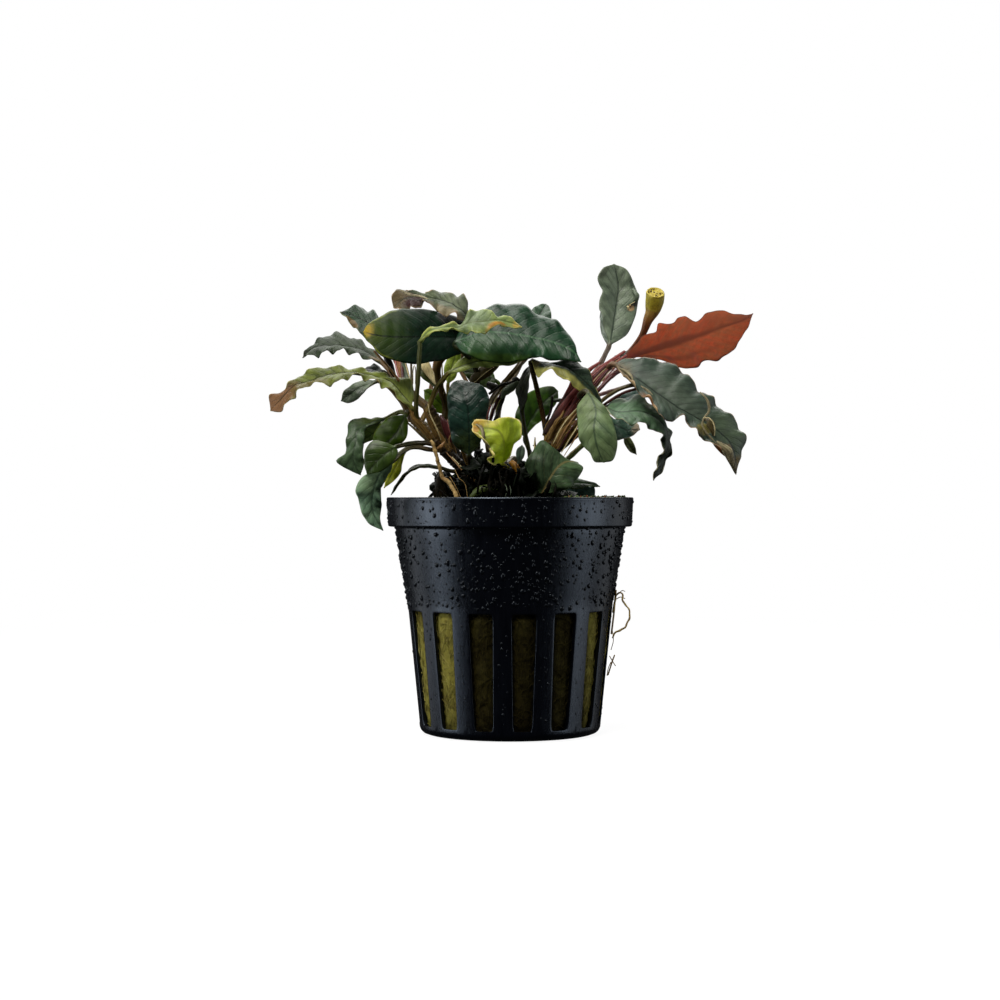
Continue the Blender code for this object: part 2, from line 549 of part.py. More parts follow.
leaf("leaf_sage_front", "rhizome_right", "sage",
     [(581, 399, -6.5), (579, 395, -13), (583, 391, -17)],
     [(588, 393, -19), (593, 401, -20), (596, 412, -21), (594, 428, -22), (597, 446, -22), (604, 462.5, -21)],
     [(583, 398), (577.5, 406), (576.5, 415), (578.5, 432), (581.5, 445), (590, 453), (595, 462)],
     [(594, 396), (603, 405), (611, 416), (615.5, 431), (617.5, 445), (613.5, 459.5)], (1.5, 0))
leaf("leaf_tip_right", "rhizome_right", "grey",
     [(602, 370, -6), (606, 367, -1)],
     [(611, 364.5, 1), (617.5, 358.5, 2), (627, 351, 2.5)],
     [(613, 359), (620, 352.5)],
     [(618.5, 363), (625, 356)], (0.5, -0.5), small=True, radius=0.4)
# At the back, arching away from the front
leaf("leaf_back_1", "rhizome_back", "dark",
     [(494, 447, 22), (478, 405, 25), (456, 362, 27)],
     [(447, 350, 28), (425, 338, 33), (400, 334, 38), (374, 338, 42)], width=5.4, faces=(-0.15, -0.35, 1))
leaf("leaf_back_2", "rhizome_back", "grey",
     [(496, 450, 21), (501, 402, 24), (518, 370, 27)],
     [(525, 355, 28), (541, 342, 33), (556, 341, 39), (570, 350, 44)], width=5.2, faces=(0.15, -0.3, 1))
leaf("leaf_back_3", "rhizome_back", "dark",
     [(501, 458, 20), (499, 420, 28), (491, 372, 30)],
     [(488, 354, 31), (486, 341, 34), (484, 336, 39), (484, 343, 45)], width=5.0, faces=(0, 0.3, 1))
leaf("leaf_back_4", "rhizome_back", "olive",
     [(506, 475, 17), (484, 460, 21), (474, 462, 25)],
     [(468, 468, 28), (462, 480, 32), (458, 500, 35), (456, 528, 36)], width=4.8, faces=(-0.5, 0.7, 0.6))
leaf("leaf_back_5", "rhizome_centre", "dark",
     [(553, 484, 2), (562, 474, 10), (566, 472, 18)],
     [(568, 475, 24), (573, 483, 30), (580, 500, 34), (584, 528, 35)], width=4.8, faces=(0.5, 0.7, 0.6))
leaf("leaf_back_6", "rhizome_back", "grey",
     [(503, 470, 18), (512, 458, 24), (516, 460, 29)],
     [(518, 466, 32), (520, 478, 36), (522, 498, 39), (524, 526, 39)], width=4.9, faces=(0, 0.8, 0.6))
leaf("leaf_back_7", "rhizome_right", "dark",
     [(582, 398, -6.7), (591, 397, 3), (614, 390, 12)],
     [(634, 385, 17), (660, 390, 23), (684, 402, 27), (706, 418, 29)], width=5.0, faces=(0.3, 0.35, 1))
leaf("leaf_back_8", "rhizome_fork", "olive",
     [(441, 430, -1), (428, 424, 7), (409, 420, 14)],
     [(400, 421, 18), (384, 426, 24), (368, 436, 28), (355, 449, 30)], width=4.6, faces=(-0.3, 0.35, 1))
leaf("leaf_back_9", "rhizome_right", "grey",
     [(591, 385, -6.5), (592, 377, 1), (602, 360, 8)],
     [(609, 345, 11), (614, 320, 15), (619, 298, 20), (620, 285, 27)], width=3.4, faces=(0, -1, 0.5))
leaf("leaf_back_10", "rhizome_right", "dark",
     [(594, 381, -6), (605, 378, 6), (619, 368, 14)],
     [(636, 355, 18), (660, 347, 24), (685, 341, 31), (708, 339, 36)], width=4.8, faces=(0.2, 0.2, 1))
leaf("leaf_back_11", "rhizome_fork", "dark",
     [(436, 421, -2), (428, 414, 11), (431, 388, 18), (437, 353, 19)],
     [(438, 342, 20), (425, 327, 24), (408, 318, 29), (392, 320, 34)], width=4.6, faces=(-0.2, -0.2, 1))


def blade(spec, t):
    """Midrib and edge points at shares t along the blade."""
    mid_sheet = np.asarray(spec["mid"], float)
    mid = read(curve_through(place(mid_sheet)), t)
    if spec["left"] is None:
        tangent = unit(np.gradient(read(curve_through(place(mid_sheet)), np.linspace(0, 1, 60)), axis=0))
        tangent = read(tangent, t)
        side = unit(np.cross(tangent, np.asarray(spec["faces"], float)))
        half = spec["width"] * MM * np.clip(np.sin(math.pi * np.clip(t, 0, 1) ** 0.8), 0, 1) ** 0.75
        drop = 0.12 * half[:, None] * np.cross(side, tangent)
        return mid, mid - side * half[:, None] + drop, mid + side * half[:, None] + drop
    depths = read(curve_through(mid_sheet), t)[:, 2]
    flat_mid = read(curve_through(mid_sheet[:, :2]), t)
    edges = []
    for line, back in ((spec["left"], spec["back"][0]), (spec["right"], spec["back"][1])):
        line = np.vstack([mid_sheet[:1, :2], line, mid_sheet[-1:, :2]])
        flat = read(curve_through(line), t)
        gap = np.linalg.norm(flat - flat_mid, axis=1)
        dense = np.linspace(0, 1, 80)
        widest = np.linalg.norm(
            read(curve_through(line), dense) - read(curve_through(mid_sheet[:, :2]), dense), axis=1
        ).max()
        edges.append(place(np.column_stack([flat, depths + back * gap / widest])))
    return mid, edges[0], edges[1]


def build_leaf(name, spec):
    r = spec["radius"]
    across = [1, 0, -1] if spec["small"] else [1, 0.5, 0, -0.5, -1]
    if spec["stations"] is not None:
        t = np.array(spec["stations"])
    elif spec["small"]:
        t = np.array([0.0, 0.2, 0.45, 0.72, 1.0])
    elif spec["left"] is None:
        t = np.array([0.0, 0.15, 0.36, 0.6, 0.82, 1.0])
    else:
        t = np.array([0.0, 0.12, 0.3, 0.48, 0.66, 0.84, 1.0])
    mid, left, right = blade(spec, t)
    chord = unit(left[1:-1] - right[1:-1])
    chord = np.vstack([chord[:1], chord, chord[-1:]])
    # stalk
    whole = curve_through(np.vstack([place(spec["stalk"]), mid[:1]]))
    cut = trimmed(whole, spec["host"], r * 1.15)
    length = np.linalg.norm(np.diff(cut, axis=0), axis=1).sum()
    steps = int(np.clip(round(length / (6.5 * MM)), 2, 5))
    stalk = read(curve_through(cut[:: max(1, len(cut) // 40)] if len(cut) > 40 else cut), np.linspace(0, 1, steps + 1))[:-1]
    path = np.vstack([stalk, mid])
    tangents = unit(np.gradient(path, axis=0))
    rings = []
    side = chord[0]
    sides = []
    for i in range(len(stalk) - 1, -1, -1):
        side = unit(side - tangents[i] * np.dot(side, tangents[i]))
        sides.append(side)
    sides = sides[::-1]
    s = np.array(across + across[-2:0:-1], float)
    top = np.array([1.0] * len(across) + [-1.0] * (len(across) - 2))
    round_h = np.sqrt(np.clip(1 - s**2, 0, 1)) * top
    blade_h = (1 - s**2) ** 0.8 * top
    for i, p in enumerate(stalk):
        c = sides[i]
        n = unit(np.cross(tangents[i], c))
        swell = 1.15 if i == 0 else 1.0
        rings.append(p + swell * r * (s[:, None] * c + round_h[:, None] * n))
    k = len(stalk)
    for i in range(len(t)):
        c = chord[i]
        n = unit(np.cross(tangents[k + i], c))
        c = unit(np.cross(n, tangents[k + i]))
        fade = 1 - min(t[i] / 0.2, 1)
        least = r * fade + 0.3 * MM * (1 - fade)
        a = left[i] - mid[i]
        b = right[i] - mid[i]
        a = a + c * max(0, least - np.dot(a, c))
        b = b - c * max(0, least + np.dot(b, c))
        bend = 0.5 * (s**2 + np.abs(s))
        arm = np.where(s[:, None] >= 0, a, b) * bend[:, None] + (np.where(s[:, None] >= 0, a, b)) * (
            np.abs(s)[:, None] - bend[:, None]
        )
        thick = BLADE_THICKNESS / 2 * (1 - fade) + r * fade
        if i == len(t) - 1:
            thick = 0.15 * MM
        rings.append(mid[i] + arm + (blade_h * (1 - fade) + round_h * fade)[:, None] * thick * n)
    add(name, *loft(rings), spec["look"])


def build_root(name, points, radii, sides, look, step):
    curve = curve_through(place(points))
    length = np.linalg.norm(np.diff(curve, axis=0), axis=1).sum()
    count = max(6, int(length / step))
    t = np.linspace(0, 1, count)
    r = np.interp(t, np.linspace(0, 1, len(radii)), radii) * MM
    add(name, *loft(tube_rings(read(curve, t), r, sides)), look)


build_pot()
build_wool()
for each in RHIZOMES:
    build_rhizome(each)
for each, spec in LEAVES.items():
    build_leaf(each, spec)

# Tan root that hangs in front of the left rhizome, down to the wool
build_root("root_tan",
           [(431, 441, -17), (436, 453, -17.5), (439, 464, -17), (442, 476, -15), (450, 485, -13.5), (457, 496, -12.5), (459, 506, -12)],
           [0.4, 0.5, 0.5, 0.5, 0.55, 0.5], 6, "root", 2.2 * MM)
# Side root: out of a slot, a tangle above it, one loop out and back
build_root("root_side",
           [(617, 608, -4), (617, 598, -4), (620, 592, -4), (624, 594, -5), (621, 600, -5.5), (625, 604, -5), (629.5, 610.6, -5),
            (629, 619, -5), (625, 628, -5), (620, 631, -4.5), (614.5, 634, -4), (614.5, 640, -4)],
           [0.22, 0.2, 0.2, 0.2, 0.2, 0.2], 5, "root", 1.5 * MM)
# Fruit: a stalk that widens into an open cup
build_root("fruit_cup",
           [(598, 375, -3), (606, 371, 4), (624, 357, 9), (641, 337, 9.5), (648, 320, 9), (652, 311, 9), (653.8, 301, 9), (654.3, 291, 9)],
           [0.5, 0.5, 0.5, 0.5, 0.5, 0.5, 0.5, 0.5, 0.5, 0.5, 0.5, 0.5, 0.53, 0.56, 0.65, 0.8, 1.1, 1.6, 1.95, 1.95], 9, "fruit", 1.45 * MM)
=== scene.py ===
"""The looks of the potted bucephalandra: fine leaves, stalks and rhizomes, the wet slotted
pot, its rock wool, roots and moss."""

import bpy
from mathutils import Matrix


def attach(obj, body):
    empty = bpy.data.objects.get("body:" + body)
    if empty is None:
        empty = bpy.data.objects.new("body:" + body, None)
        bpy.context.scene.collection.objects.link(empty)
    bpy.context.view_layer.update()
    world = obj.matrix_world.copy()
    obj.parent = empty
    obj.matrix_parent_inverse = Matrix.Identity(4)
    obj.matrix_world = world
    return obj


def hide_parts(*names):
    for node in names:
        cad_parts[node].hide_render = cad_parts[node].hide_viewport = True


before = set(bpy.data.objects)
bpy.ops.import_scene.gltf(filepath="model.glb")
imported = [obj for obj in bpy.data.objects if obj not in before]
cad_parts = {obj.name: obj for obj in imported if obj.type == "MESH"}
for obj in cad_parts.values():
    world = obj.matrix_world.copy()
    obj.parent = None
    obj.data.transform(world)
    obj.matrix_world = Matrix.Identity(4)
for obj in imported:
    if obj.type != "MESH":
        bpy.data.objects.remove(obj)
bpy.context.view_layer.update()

import math

import bpy
import numpy as np
from mathutils import Vector

MM = 0.001
TAU = 2 * math.pi

# Elevation sheet: u runs right, v runs down, one unit is 0.22 mm on the pot's axis, and
# the third number is the depth behind that axis in millimetres
SHEET = 0.00022
EYE_DISTANCE = 0.441
EYE_X, EYE_Z = -0.0022, 0.0510


def place(points):
    """Sheet points (u, v, d) as metres."""
    p = np.atleast_2d(np.asarray(points, float))
    y = p[:, 2] * MM
    k = SHEET * (EYE_DISTANCE + y) / EYE_DISTANCE
    return np.stack([EYE_X + (p[:, 0] - 500) * k, y, EYE_Z - (p[:, 1] - 500) * k], 1)


def curve_through(points, count=240):
    """A smooth curve through the points, sampled evenly along its length."""
    p = np.asarray(points, float)
    if len(p) == 2:
        dense = p[0] + (p[1] - p[0]) * np.linspace(0, 1, 40)[:, None]
    else:
        q = np.vstack([2 * p[0] - p[1], p, 2 * p[-1] - p[-2]])
        rows = []
        for i in range(1, len(q) - 2):
            a, b, c, e = q[i - 1 : i + 3]
            t = np.linspace(0, 1, 24, endpoint=False)[:, None]
            rows.append(
                0.5
                * (
                    2 * b
                    + (c - a) * t
                    + (2 * a - 5 * b + 4 * c - e) * t**2
                    + (3 * b - a - 3 * c + e) * t**3
                )
            )
        dense = np.vstack(rows + [p[-1:]])
    run = np.concatenate([[0], np.cumsum(np.linalg.norm(np.diff(dense, axis=0), axis=1))])
    at = np.linspace(0, run[-1], count)
    return np.stack([np.interp(at, run, dense[:, k]) for k in range(dense.shape[1])], 1)


def read(curve, t):
    """Points of an evenly sampled curve at shares t of its length."""
    x = np.clip(np.atleast_1d(t), 0, 1) * (len(curve) - 1)
    i = np.minimum(x.astype(int), len(curve) - 2)
    f = (x - i)[:, None]
    return curve[i] * (1 - f) + curve[i + 1] * f


def unit(v):
    v = np.asarray(v, float)
    return v / np.maximum(np.linalg.norm(v, axis=-1, keepdims=True), 1e-12)


def smooth(x, low, high):
    t = np.clip((np.asarray(x, float) - low) / (high - low), 0, 1)
    return t * t * (3 - 2 * t)


def wander(x, rng, waves=5, spread=1.0):
    """A smooth random line over x, about -1 to 1."""
    out = np.zeros_like(np.asarray(x, float))
    for k in range(waves):
        out += math.sqrt(1 / (k + 1)) * np.sin(x * spread * (0.7 + k * 0.83) + rng.uniform(0, TAU))
    return out / 1.6


def length_of(curve):
    return float(np.linalg.norm(np.diff(curve, axis=0), axis=1).sum())


# Meshes

def make_mesh(name, points, quads, tris=(), attributes=None, smooth_shading=True):
    points = np.asarray(points, np.float32)
    quads = np.asarray(quads, np.int64).reshape(-1, 4)
    tris = np.asarray(tris, np.int64).reshape(-1, 3)
    mesh = bpy.data.meshes.new(name)
    mesh.vertices.add(len(points))
    mesh.vertices.foreach_set("co", points.ravel())
    mesh.loops.add(quads.size + tris.size)
    mesh.loops.foreach_set("vertex_index", np.concatenate([quads.ravel(), tris.ravel()]).astype(np.int32))
    mesh.polygons.add(len(quads) + len(tris))
    starts = np.concatenate([np.arange(len(quads)) * 4, quads.size + np.arange(len(tris)) * 3])
    mesh.polygons.foreach_set("loop_start", starts.astype(np.int32))
    mesh.update(calc_edges=True)
    mesh.validate()
    if smooth_shading:
        mesh.shade_smooth()
    for key, values in (attributes or {}).items():
        a = mesh.attributes.new(key, "FLOAT_VECTOR", "POINT")
        a.data.foreach_set("vector", np.asarray(values, np.float32).ravel())
    return mesh


class Heap:
    """Closed pieces gathered into one mesh."""

    def __init__(self):
        self.points, self.quads, self.tris, self.tags, self.count = [], [], [], [], 0

    def take(self, points, quads, tris=(), tag=(0.0, 0.0, 0.0)):
        points = np.asarray(points, float)
        quads = np.asarray(quads, int).reshape(-1, 4)
        tris = np.asarray(tris, int).reshape(-1, 3)
        middle = points.mean(0)
        corners = np.vstack([quads[:, [0, 1, 2]], quads[:, [0, 2, 3]], tris])
        a, b, c = (points[corners[:, k]] - middle for k in range(3))
        if np.einsum("ij,ij->i", a, np.cross(b, c)).sum() < 0:
            quads, tris = quads[:, ::-1], tris[:, ::-1]
        self.points.append(points)
        self.quads.append(quads + self.count)
        self.tris.append(tris + self.count)
        tag = np.asarray(tag, float)
        self.tags.append(np.broadcast_to(tag, (len(points), 3)) if tag.ndim == 1 else tag)
        self.count += len(points)

    def mesh(self, name):
        return make_mesh(name, np.vstack(self.points), np.vstack(self.quads), np.vstack(self.tris),
                         {"tag": np.vstack(self.tags)})


def ring_faces(rows, sides):
    """Quads over closed rings, and the triangles of both end caps around added centres."""
    i = np.arange(rows - 1)[:, None] * sides
    j = np.arange(sides)[None]
    k = (j + 1) % sides
    quads = np.stack([i + j, i + k, i + sides + k, i + sides + j], -1).reshape(-1, 4)
    first, last = rows * sides, rows * sides + 1
    j, k = np.arange(sides), (np.arange(sides) + 1) % sides
    base = (rows - 1) * sides
    tris = np.vstack([
        np.stack([np.full(sides, first), k, j], 1),
        np.stack([np.full(sides, last), base + j, base + k], 1),
    ])
    return quads, tris


def tube(path, radii, sides=10, ripple=None):
    """A round tube along a path, closed at both ends. ripple multiplies each ring's radius
    at each side."""
    path = np.asarray(path, float)
    tangents = unit(np.gradient(path, axis=0))
    side = np.cross(tangents[0], (0.0, 0.0, 1.0))
    if np.linalg.norm(side) < 0.2:
        side = np.cross(tangents[0], (0.0, 1.0, 0.0))
    side = unit(side)
    a = np.arange(sides) * TAU / sides
    rings = []
    radii = np.broadcast_to(np.asarray(radii, float), (len(path),))
    for n, (p, t, r) in enumerate(zip(path, tangents, radii)):
        side = unit(side - t * np.dot(side, t))
        up = np.cross(t, side)
        rr = r * (ripple[n] if ripple is not None else 1.0)
        rings.append(p + (np.cos(a) * rr)[:, None] * side + (np.sin(a) * rr)[:, None] * up)
    points = np.vstack(rings + [path[:1] - tangents[:1] * radii[0] * 0.4, path[-1:] + tangents[-1:] * radii[-1] * 0.4])
    return points, *ring_faces(len(path), sides)


def show(name, mesh, material, node=None):
    mesh.materials.append(material)
    ob = bpy.data.objects.new(name, mesh)
    bpy.context.scene.collection.objects.link(ob)
    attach(ob, "root")
    if node:
        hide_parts(*([node] if isinstance(node, str) else node))
    return ob


# Materials

def srgb(*c):
    c = np.asarray(c, float) / 255
    return tuple(float(x) for x in np.where(c <= 0.04045, c / 12.92, ((c + 0.055) / 1.055) ** 2.4))


class Graph:
    """A material's nodes, written as sums."""

    def __init__(self, name):
        self.material = bpy.data.materials.new(name)
        self.material.use_nodes = True
        self.tree = self.material.node_tree
        self.tree.nodes.clear()

    def node(self, kind, **settings):
        n = self.tree.nodes.new(kind)
        for key, value in settings.items():
            setattr(n, key, value)
        return n

    def put(self, value, socket):
        if isinstance(value, bpy.types.NodeSocket):
            self.tree.links.new(value, socket)
        elif isinstance(value, (tuple, list)) and len(value) == 3 and socket.type == "RGBA":
            socket.default_value = (*value, 1)
        else:
            socket.default_value = value

    def math(self, operation, a, b=0.0, c=None, clamp=False):
        n = self.node("ShaderNodeMath", operation=operation, use_clamp=clamp)
        self.put(a, n.inputs[0])
        self.put(b, n.inputs[1])
        if c is not None:
            self.put(c, n.inputs[2])
        return n.outputs[0]

    def mix(self, share, a, b, blend="MIX"):
        n = self.node("ShaderNodeMix", data_type="RGBA", blend_type=blend)
        self.put(share, n.inputs[0])
        self.put(a, n.inputs[6])
        self.put(b, n.inputs[7])
        return n.outputs[2]

    def smooth(self, x, low, high, to_low=0.0, to_high=1.0):
        n = self.node("ShaderNodeMapRange", interpolation_type="SMOOTHSTEP")
        self.put(x, n.inputs[0])
        for k, v in enumerate((low, high, to_low, to_high)):
            self.put(v, n.inputs[k + 1])
        return n.outputs[0]

    def noise(self, vector, scale, detail=2.0, rough=0.5, distortion=0.0):
        n = self.node("ShaderNodeTexNoise")
        self.put(vector, n.inputs["Vector"])
        self.put(scale, n.inputs["Scale"])
        self.put(detail, n.inputs["Detail"])
        self.put(rough, n.inputs["Roughness"])
        self.put(distortion, n.inputs["Distortion"])
        return n.outputs[0]

    def cells(self, vector, scale, feature="F1"):
        n = self.node("ShaderNodeTexVoronoi", feature=feature)
        self.put(vector, n.inputs["Vector"])
        self.put(scale, n.inputs["Scale"])
        return n.outputs["Distance"]

    def attribute(self, name):
        return self.node("ShaderNodeAttribute", attribute_name=name).outputs["Vector"]

    def split(self, vector):
        n = self.node("ShaderNodeSeparateXYZ")
        self.put(vector, n.inputs[0])
        return n.outputs[0], n.outputs[1], n.outputs[2]

    def join(self, x, y, z):
        n = self.node("ShaderNodeCombineXYZ")
        for k, v in enumerate((x, y, z)):
            self.put(v, n.inputs[k])
        return n.outputs[0]

    def where(self, stretch=(1, 1, 1)):
        """Object coordinates in millimetres."""
        n = self.node("ShaderNodeMapping")
        self.put(self.node("ShaderNodeTexCoord").outputs["Object"], n.inputs[0])
        n.inputs["Scale"].default_value = [1000 * k for k in stretch]
        return n.outputs[0]

    def bump(self, height, distance, strength=1.0, normal=None):
        n = self.node("ShaderNodeBump")
        n.inputs["Strength"].default_value = strength
        n.inputs["Distance"].default_value = distance
        self.put(height, n.inputs["Height"])
        if normal is not None:
            self.put(normal, n.inputs["Normal"])
        return n.outputs[0]

    def surface(self, colour, roughness, normal=None, specular=0.5, ior=1.45, through=None, share=0.0,
                sheen=0.0, coat=0.0, coat_roughness=0.1, transmission=0.0, tint=None):
        p = self.node("ShaderNodeBsdfPrincipled")
        self.put(colour, p.inputs["Base Color"])
        self.put(roughness, p.inputs["Roughness"])
        p.inputs["Specular IOR Level"].default_value = specular
        p.inputs["IOR"].default_value = ior
        if tint is not None:
            p.inputs["Specular Tint"].default_value = (*tint, 1)
        p.inputs["Sheen Weight"].default_value = sheen
        p.inputs["Coat Weight"].default_value = coat
        p.inputs["Coat Roughness"].default_value = coat_roughness
        p.inputs["Transmission Weight"].default_value = transmission
        if normal is not None:
            self.put(normal, p.inputs["Normal"])
        result = p.outputs[0]
        if through is not None:
            thin = self.node("ShaderNodeBsdfTranslucent")
            self.put(through, thin.inputs[0])
            both = self.node("ShaderNodeMixShader")
            both.inputs[0].default_value = share
            self.tree.links.new(result, both.inputs[1])
            self.tree.links.new(thin.outputs[0], both.inputs[2])
            result = both.outputs[0]
        self.tree.links.new(result, self.node("ShaderNodeOutputMaterial").inputs[0])
        return self.material


# Rhizomes: thick creeping stems

RHIZOMES = {
    # name: sheet points, radius at the start and at the end in millimetres
    "rhizome_left": (
        [(481, 502, -3), (470, 479, -5), (455, 461, -7), (440, 446, -8.5), (428, 434, -9), (416, 421, -9), (407, 411, -8)],
        1.5, 1.2,
    ),
    "rhizome_fork": (
        [(465, 476, 2), (454, 452, 1), (441, 430, -1.5), (427, 404, -2.5)],
        1.5, 1.15,
    ),
    "rhizome_centre": (
        [(444, 494, 9), (470, 486, 9), (496, 478, 6.5), (520, 476, 4), (545, 481, 2), (562, 490, 0)],
        2.0, 1.9,
    ),
    "rhizome_right": (
        [(538, 470, -6), (547, 454, -6.5), (557, 437, -7), (570, 416, -7), (586, 392, -6.5), (602, 370, -6)],
        2.0, 1.4,
    ),
    "rhizome_back": (
        [(520, 496, 14), (508, 478, 17), (500, 462, 19), (494, 446, 22)],
        1.9, 1.5,
    ),
}


def axis_and_radius(name):
    points, first, last = RHIZOMES[name]
    curve = curve_through(place(points))
    return curve, np.linspace(first, last, len(curve)) * MM


# Leaves. Each has a stalk from its rhizome to the blade, then the midrib from there to
# the tip, and the blade's two edges on the sheet from base to tip, with how far each
# edge lies behind the midrib where it is widest, in millimetres. A leaf with no edges
# has a half width in millimetres, and the direction its upper side faces.

LEAVES = {}


def leaf(name, host, look, stalk, mid, left=None, right=None, back=(0, 0), radius=0.5,
         width=None, faces=(0, -0.3, 1), small=False, stations=None):
    LEAVES[name] = dict(host=host, look=look, stalk=stalk, mid=mid, left=left, right=right,
                        back=back, radius=radius * MM, width=width, faces=faces,
                        small=small, stations=stations)


# Left group
leaf("leaf_upper_left", "rhizome_fork", "dark",
     [(430, 409, -2), (405, 385, 3), (399, 366, 7), (390, 347, 11)],
     [(385, 340, 12), (372, 326, 15), (356, 317, 17), (340, 312, 17)],
     [(383, 327), (378, 316), (365, 308), (353, 307)],
     [(376, 344), (365, 337.5), (355, 328.5), (347, 319.5)], (4, -3), radius=0.75)
leaf("leaf_left_wavy", "rhizome_left", "grey",
     [(408, 412, -8), (403, 388, -3), (394, 377, 0)],
     [(382, 363, 3), (363, 351, 5), (349, 347, 7), (331, 345.6, 8), (314, 348.5, 8), (302.5, 358, 8)],
     [(374, 350), (358, 340.5), (346, 335), (333, 333.5), (321, 338.5), (309, 346)],
     [(364, 358), (353, 353), (337, 351), (323, 354), (312, 355)], (5, -4))
leaf("leaf_left_long", "rhizome_left", "olive",
     [(409, 414, -8), (412, 410, -11)],
     [(411, 407, -12), (401, 394, -12), (390, 382, -12), (372, 376, -12.5), (354, 373, -13),
      (336, 374, -12), (322, 377, -11), (310, 381.5, -10), (295, 386, -9), (282, 399, -8), (270.5, 411, -8)],
     [(414, 396), (413, 384), (404, 378), (390, 376), (371, 371), (354, 368), (337, 367), (322, 367),
      (306, 371.5), (297, 376.5), (284, 389.5), (270, 396)],
     [(402, 402), (393, 392), (380, 384), (371, 379.5), (353, 375.5), (340, 381.5), (328, 384), (314, 384),
      (301, 389), (290, 401), (281, 411)], (4, -4))
leaf("leaf_left_stub", "rhizome_left", "grey",
     [(408, 412, -8), (401, 401, -7.5), (388, 386, -7.5)],
     [(377, 381, -7), (359, 389, -8), (347, 397, -8), (341, 401, -8)],
     [(366, 380), (354, 383), (344, 391)],
     [(370, 387), (359, 397.5), (349, 403.5)], (1, -2), small=True)
leaf("leaf_scrap_left", "rhizome_fork", "dark",
     [(430, 411, 0), (412, 398, 9), (392, 379, 12)],
     [(384, 372, 12.5), (374, 370, 13.5), (364, 369, 14)],
     [(378, 366), (369, 365.5)],
     [(376, 375), (367, 374)], (2, -2), small=True)
leaf("leaf_big_left", "rhizome_fork", "dark",
     [(441, 430, -1), (446, 408, 2), (440, 385, 3), (438, 366, 2), (450, 350, 0), (466, 341, -3)],
     [(471, 338, -4), (442, 337, -8.5), (415, 337, -12), (392, 337, -13.5), (374, 335, -14), (363, 332, -13)],
     [(469, 325), (460, 318), (449, 314), (434, 311), (416, 308.5), (392, 310.5), (379, 317), (368, 324)],
     [(469, 349), (462, 353.5), (455, 355.5), (446, 359.5), (432, 362), (414, 364), (395, 361), (380, 355), (372.5, 346), (366, 340)],
     (6, -3), radius=0.8)
leaf("leaf_pale_arched", "rhizome_left", "lime",
     [(417, 424, -10), (416, 405, -14), (418, 380, -18), (419, 360, -19.5), (420, 346, -20)],
     [(421, 341, -20), (429, 331.5, -20.5), (444, 327.5, -21), (458, 327.5, -21), (470, 323, -21),
      (485, 321.5, -21), (500, 320.5, -20), (512, 323.5, -19), (522, 327, -18)],
     [(422, 335), (428, 329), (438, 325.5), (450, 324), (461, 323), (468, 314), (477, 309), (488, 310),
      (497, 316), (505, 315), (514, 320.5)],
     [(425, 338), (431, 334.5), (440, 331), (450, 330), (460, 331), (470, 332.5), (478, 335), (487, 331.5),
      (498, 325.5), (506, 326.5), (514, 329)], (2, -2))
leaf("leaf_top_wavy", "rhizome_fork", "grey",
     [(429, 407, -2), (436, 392, 8), (454, 365, 10), (475, 340, 5)],
     [(474, 325, -5), (464, 313, -8), (452, 304.5, -7), (440, 300, -4), (428, 297.5, -1), (416, 297, 1),
      (405, 299, 2), (393.5, 308, 2)],
     [(470, 313), (467, 303), (460.5, 293.5), (451, 294.5), (441, 290.5), (430, 292.5), (420, 291.5),
      (409, 292), (402, 287.5), (395, 293), (391.5, 300)],
     [(460, 319), (453, 314.5), (441, 315), (434, 307), (428, 304.5), (420, 305), (414, 308.5), (407, 310.5),
      (400, 310)], (4, -4))
leaf("leaf_big_right", "rhizome_centre", "dark",
     [(482, 482, 8), (478, 450, 6), (477, 405, 3), (477, 380, 0), (474, 364, -7), (464, 353, -10.8)],
     [(455, 343, -11), (472, 336, -12), (487, 332, -12), (505, 333, -12.5), (526, 336, -13),
      (554, 342.5, -14), (572, 351, -15), (581, 362, -16)],
     [(459, 333), (472, 319), (487, 308), (504, 303.5), (522, 304.5), (534, 312), (545, 315), (559, 323.5),
      (570, 335), (575, 344), (577, 353)],
     [(461, 351.5), (472, 357), (484, 361), (498, 363), (522, 361), (535, 357), (547, 360), (563, 360),
      (573, 361.5)], (6, -2), radius=0.6)
leaf("leaf_tip_behind", "rhizome_centre", "grey",
     [(493, 479, 7), (488, 448, -1), (486, 417, -3), (492, 399, -4), (505, 382, -5.5), (520, 364, -5), (528, 350, 0)],
     [(530, 343, 4), (534, 330, 8), (539, 317, 12), (546, 304, 16)],
     [(521, 335), (524, 320), (532, 310), (540, 304)],
     [(540, 338), (549, 326), (551.5, 316), (549, 306)], (1, -1), radius=0.6)
leaf("leaf_scrap_lime", "rhizome_fork", "lime",
     [(443, 432, 0), (448, 417, 5.5), (448, 395, 6)],
     [(448, 384, 5.8), (451, 372, 5.8), (454, 360, 5.6), (457, 348, 5.2)],
     [(444, 374), (446, 361), (450, 350)],
     [(456, 377), (459, 364), (461, 352)], (0.3, -0.3), small=True, radius=0.4)
leaf("leaf_olive_under", "rhizome_left", "olive",
     [(419, 426, -9), (429, 406, -8.5), (436, 388, -9), (444, 378, -9.5)],
     [(449, 373, -9.7), (460, 367, -9.7), (481, 361, -9.7), (506, 359, -10), (527, 358, -10)],
     [(456, 363), (470, 354), (490, 350), (510, 351)],
     [(456, 373), (468, 369.5), (485, 367), (506, 366), (520, 362)], (0.5, -0.8))
